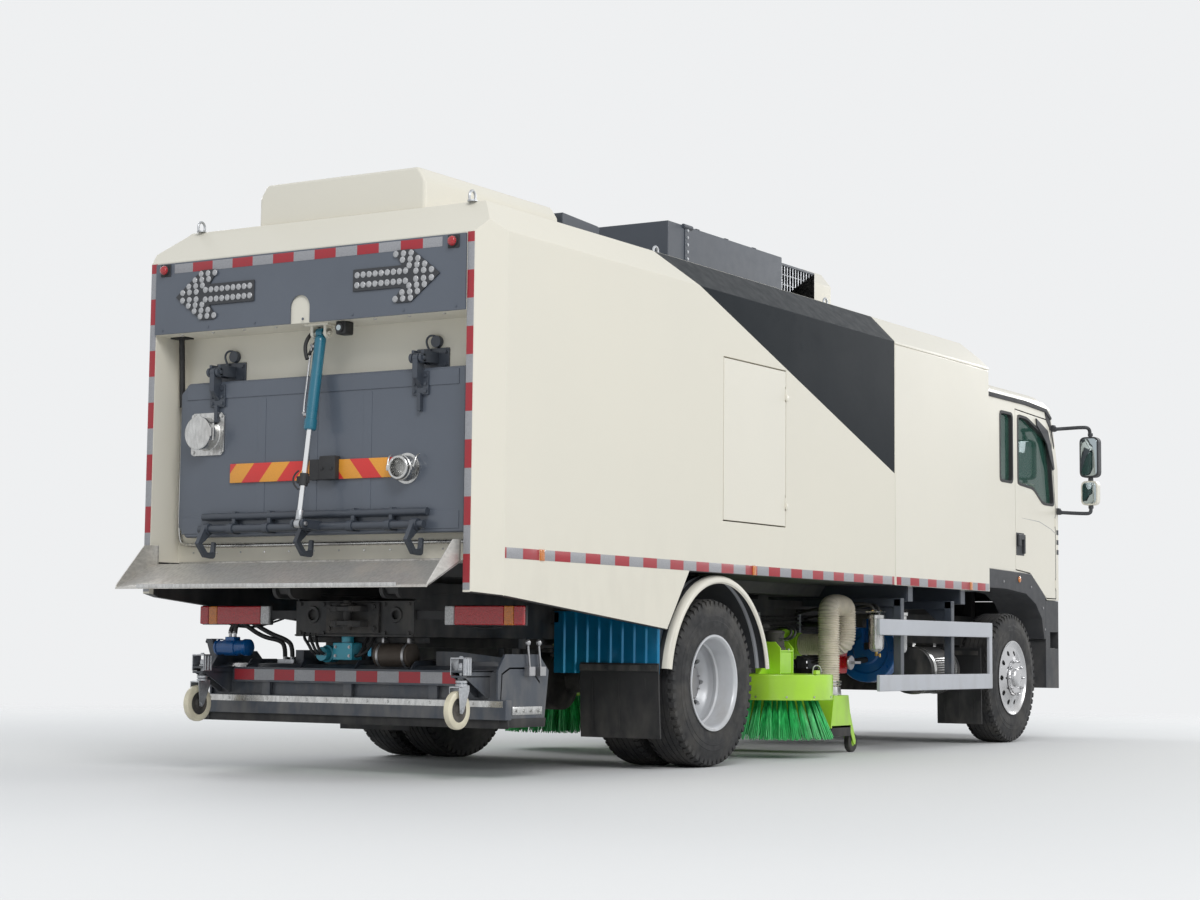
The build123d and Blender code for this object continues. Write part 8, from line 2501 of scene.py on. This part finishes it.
def bake(piece):
    graph = bpy.context.evaluated_depsgraph_get()
    done = bpy.data.meshes.new_from_object(piece.evaluated_get(graph))
    piece.modifiers.clear()
    piece.data = done


def seamDepth(part, place):
    # sewn channels: along the cushion's and the back's sides, and across the middle
    lines = {
        "Cushion": (abs(place.y) - 0.145, place.x - 3.62),
        "Back": (abs(place.y) - 0.145, place.z - 2.21),
        "Head": (abs(place.z - 2.56) + 1.0, 1.0),
    }[part]
    return sum(0.007 * math.exp(-((line / 0.009) ** 2)) for line in lines)


def makeSeats(s):
    for part, bm in seatParts():
        mesh = meshOf(bm)
        model = bpy.data.objects.new("seatModel", mesh)
        scene.collection.objects.link(model)
        swell(model, s)
        for vert in model.data.vertices:
            facing = {"Cushion": up, "Back": Vector((1, 0, 0.12)), "Head": along}[part]
            if vert.normal.dot(facing) > 0.5:
                vert.co -= facing * seamDepth(part, vert.co)
        finer = model.modifiers.new("finer", "SUBSURF")
        finer.levels = finer.render_levels = 1
        bake(model)
        for name, y in zip(("Right", "Left"), s["seats"]):
            bm = bmesh.new()
            bm.from_mesh(model.data)
            bmesh.ops.translate(bm, verts=bm.verts, vec=(0, y, 0))
            replaced = ("cab_interior",) if part == "Back" and y < 0 else ()
            piece = settle("seat" + part + name, bm, "seatFabric", "chassis", 180, False, replaced)
        bpy.data.objects.remove(model)
    floor = s["floor"]
    bm = bmesh.new()
    for y in s["seats"]:
        addBlock(bm, (3.425, y - 0.23, floor + 0.0003), (3.865, y + 0.23, floor + 0.335), 0.02, segments=3)
        for post in (-0.06, 0.06):
            addRod(bm, (3.345, y + post, 2.43), (3.34, y + post, 2.5), 0.007, 10)
        addBlock(bm, (3.335, y - 0.19, 1.8), (3.4, y + 0.19, 1.98), 0.012)
    settle("seatBases", bm, "trimPlastic")
    bm = plateOf(sideways([(4.195, 1.83), (4.435, 1.51), (4.435, 1.4504), (4.48, 1.4504), (4.507, 1.89),
        (4.485, 1.95), (4.225, 1.95)], -1.03), Vector((0, 2.06, 0)))
    addBlock(bm, (4.2, 0.34, 1.945), (4.4, 0.78, 2.045), 0.03, segments=3)
    addBlock(bm, (4.175, -0.2, 1.62), (4.3, 0.2, 1.955), 0.025, segments=3)
    softenEdges(bm, 0.01, 40)
    settle("dashboard", bm, "trimPlastic")
    bm = bmesh.new()
    centre, axis = Vector((4.105, 0.56, 2.01)), Vector((-0.6, 0, 0.8))
    rim = [(0.014 * math.sin(math.tau * k / 12), 0.209 + 0.015 * math.cos(math.tau * k / 12))
        for k in range(13)]
    addLathe(bm, rim, centre, axis, 48)
    addLathe(bm, [(-0.03, 0.0), (-0.03, 0.05), (0.01, 0.062), (0.02, 0.05), (0.02, 0.0)], centre, axis, 32)
    for angle in (0.0, 2.0944, 4.1888):
        turn = Matrix.Rotation(angle, 3, axis) @ Vector((0, 1, 0))
        addRod(bm, centre + turn * 0.04, centre + turn * 0.2, 0.012, 12)
    addRod(bm, centre - axis * 0.02, (4.245, 0.56, 1.825), 0.026, 24)
    settle("steeringWheel", bm, "sealRubber", smooth=40)
    bm = bmesh.new()
    addBlock(bm, (4.197, 0.4, 1.96), (4.203, 0.72, 2.03), 0.003)
    addBlock(bm, (4.172, -0.15, 1.8), (4.178, 0.15, 1.92), 0.003)
    settle("dashScreens", bm, "mirrorGlass", "chassis", 40, False)


makeSeats(inside)
print("cab interior made")


# roof, lugs under the body and door hinges
roof = {
    "lidZ": (3.4895, 3.4925),
    "strapX": (-1.33, -0.93, -0.53),
    "strapZ": (3.4915, 3.4955),
    "foldX": (-3.665, -3.205),
    "boltX": (-4.02, -3.43, -2.84),
    "eyeX": (-4.2, -2.2, 0.2),
    "eyeY": 0.98,
}
underside = {"lugX": -4.105, "hingeX": -0.943, "hingeY": 1.2575, "hingeZ": (1.69, 2.41)}


def makeRoof(s):
    dressNode("roof_hump", "creamPlain", 0.02)
    dressSplit("roof_boxes", ("slateDark", "creamPlain"),
        lambda centre, normal: 1 if centre.x > 0.44 else 0, 0.006)
    bm = bmesh.new()
    # lid of the big box and straps across it
    z0, z1 = s["lidZ"]
    addBlock(bm, (-1.715, -0.78, z0), (-0.145, 0.78, z1), 0.0015)
    z0, z1 = s["strapZ"]
    for x in s["strapX"]:
        addBlock(bm, (x - 0.025, -0.795, z0), (x + 0.025, 0.795, z1), 0.0015)
    # hinge straps at the box's rear corners, and the toggles of the covers
    for side in (-1, 1):
        sideBlock(bm, side, (-1.52, 0.7995, 3.2), (-1.455, 0.806, 3.488), 0.002)
        addRod(bm, (-1.545, side * 0.802, 3.4835), (-1.43, side * 0.802, 3.4835), 0.015, 16, bevel=0.002)
        addRod(bm, (-2.02, side * 0.6, 3.19), (-1.9, side * 0.6, 3.19), 0.014, 16, bevel=0.002)
    settle("roofLid", bm, "slateDark", "hopper")
    bm = bmesh.new()
    for x in s["strapX"]:
        for y in (-0.74, -0.25, 0.25, 0.74):
            addBolt(bm, (x, y, z1), up, 0.008, 0.003, washer=False)
    for side in (-1, 1):
        for index in range(6):
            addBolt(bm, (-1.4875, side * 0.806, 3.225 + index * 0.047), (0, side, 0), 0.008, 0.005)
    for x in s["boltX"]:
        for side in (-1, 1):
            addBolt(bm, (x, side * 0.625, 3.172), up, 0.008, 0.005)
    for x in s["eyeX"]:
        for side in (-1, 1):
            y = side * s["eyeY"]
            addRod(bm, (x, y, 3.168), (x, y, 3.176), 0.028, 20)
            addPipe(bm, [(x - 0.026, y, 3.174), (x - 0.03, y, 3.2), (x - 0.02, y, 3.222), (x, y, 3.23),
                (x + 0.02, y, 3.222), (x + 0.03, y, 3.2), (x + 0.026, y, 3.174)], 0.0075)
    settle("roofEyes", bm, "zinc", "hopper", weighted=False)
    bm = bmesh.new()
    for side in (-1, 1):
        sideBlock(bm, side, (-4.11, 0.6, 3.168), (-2.75, 0.65, 3.1725), 0.001)
    for x in s["foldX"]:
        addBlock(bm, (x, -0.5875, 3.3495), (x + 0.012, 0.5875, 3.353), 0.001)
    settle("humpFlange", bm, "creamPlain", "hopper", weighted=False)
    bm = bmesh.new()
    for index in range(12):
        x = -0.075 + index * 0.043
        addRod(bm, (x, -0.772, 3.175), (x, -0.772, 3.44), 0.004, 8)
    for z in (3.24, 3.31, 3.38):
        addRod(bm, (-0.1, -0.77, z), (0.425, -0.77, z), 0.004, 8)
    settle("inletGuard", bm, "zinc", "hopper", 40, False)
    bm = bmesh.new()
    # hatch in the cab's roof
    addPlate(bm, flatways(roundLoop([(3.05, -0.3), (3.62, -0.3), (3.62, 0.3), (3.05, 0.3)], 0, 0.06),
        2.925), Vector((0, 0, 0.03)), 0.008)
    settle("cabHatch", bm, "trimPlastic")


def makeUnderside(s):
    bm = bmesh.new()
    for side in (-1, 1):
        y0, y1 = sorted((side * 0.352, side * 0.42))
        x = s["lugX"]
        addPlate(bm, sideways([(x, 1.2), (x, 1.06), (x + 0.03, 1.02), (x + 0.07, 1.02), (x + 0.1, 1.06),
            (x + 0.1, 1.2)], y0), Vector((0, y1 - y0, 0)), 0.003)
        for y in (side * 0.27 - 0.045, side * 0.27 + 0.033):
            addPlate(bm, sideways([(-1.56, 1.121), (-1.545, 1.05), (-1.505, 1.035), (-1.465, 1.05),
                (-1.45, 1.121)], y), Vector((0, 0.012, 0)), 0.002)
    settle("tipLugs", bm, "chassisBlack", "hopper")
    for name, side in sides:
        bm = bmesh.new()
        x, y = s["hingeX"], side * s["hingeY"]
        for z in s["hingeZ"]:
            addRod(bm, (x, y, z - 0.042), (x, y, z - 0.002), 0.0075, 16, bevel=0.001)
            sideBlock(bm, side, (x, 1.2502, z - 0.04), (x + 0.038, 1.2535, z - 0.004), 0.001)
        settle("doorHinges" + name, bm, "creamPlain", "hopper", 40, False)


makeRoof(roof)
makeUnderside(underside)
print("roof and underside made")


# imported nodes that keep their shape: softened edges and a finish
dressed = {
    "service_door_left": ("creamPlain", 0.003),
    "service_door_right": ("creamPlain", 0.003),
    "frame_ladder": ("chassisBlack", 0.002),
    "subframe": ("chassisBlack", 0.002),
    "front_axle": ("castBlack", 0.006),
    "rear_axle": ("castBlack", 0.004),
    "leaf_springs": ("castBlack", 0.002),
    "powertrain": ("castBlack", 0.012),
    "tip_barrels": ("chassisBlack", 0.0),
    "tip_rods": ("chromeRod", 0.0),
    "knuckle_left": ("castBlack", 0.004),
    "knuckle_right": ("castBlack", 0.004),
}
for node, (finish, width) in dressed.items():
    dressNode(node, finish, width)
print("packed nodes dressed")
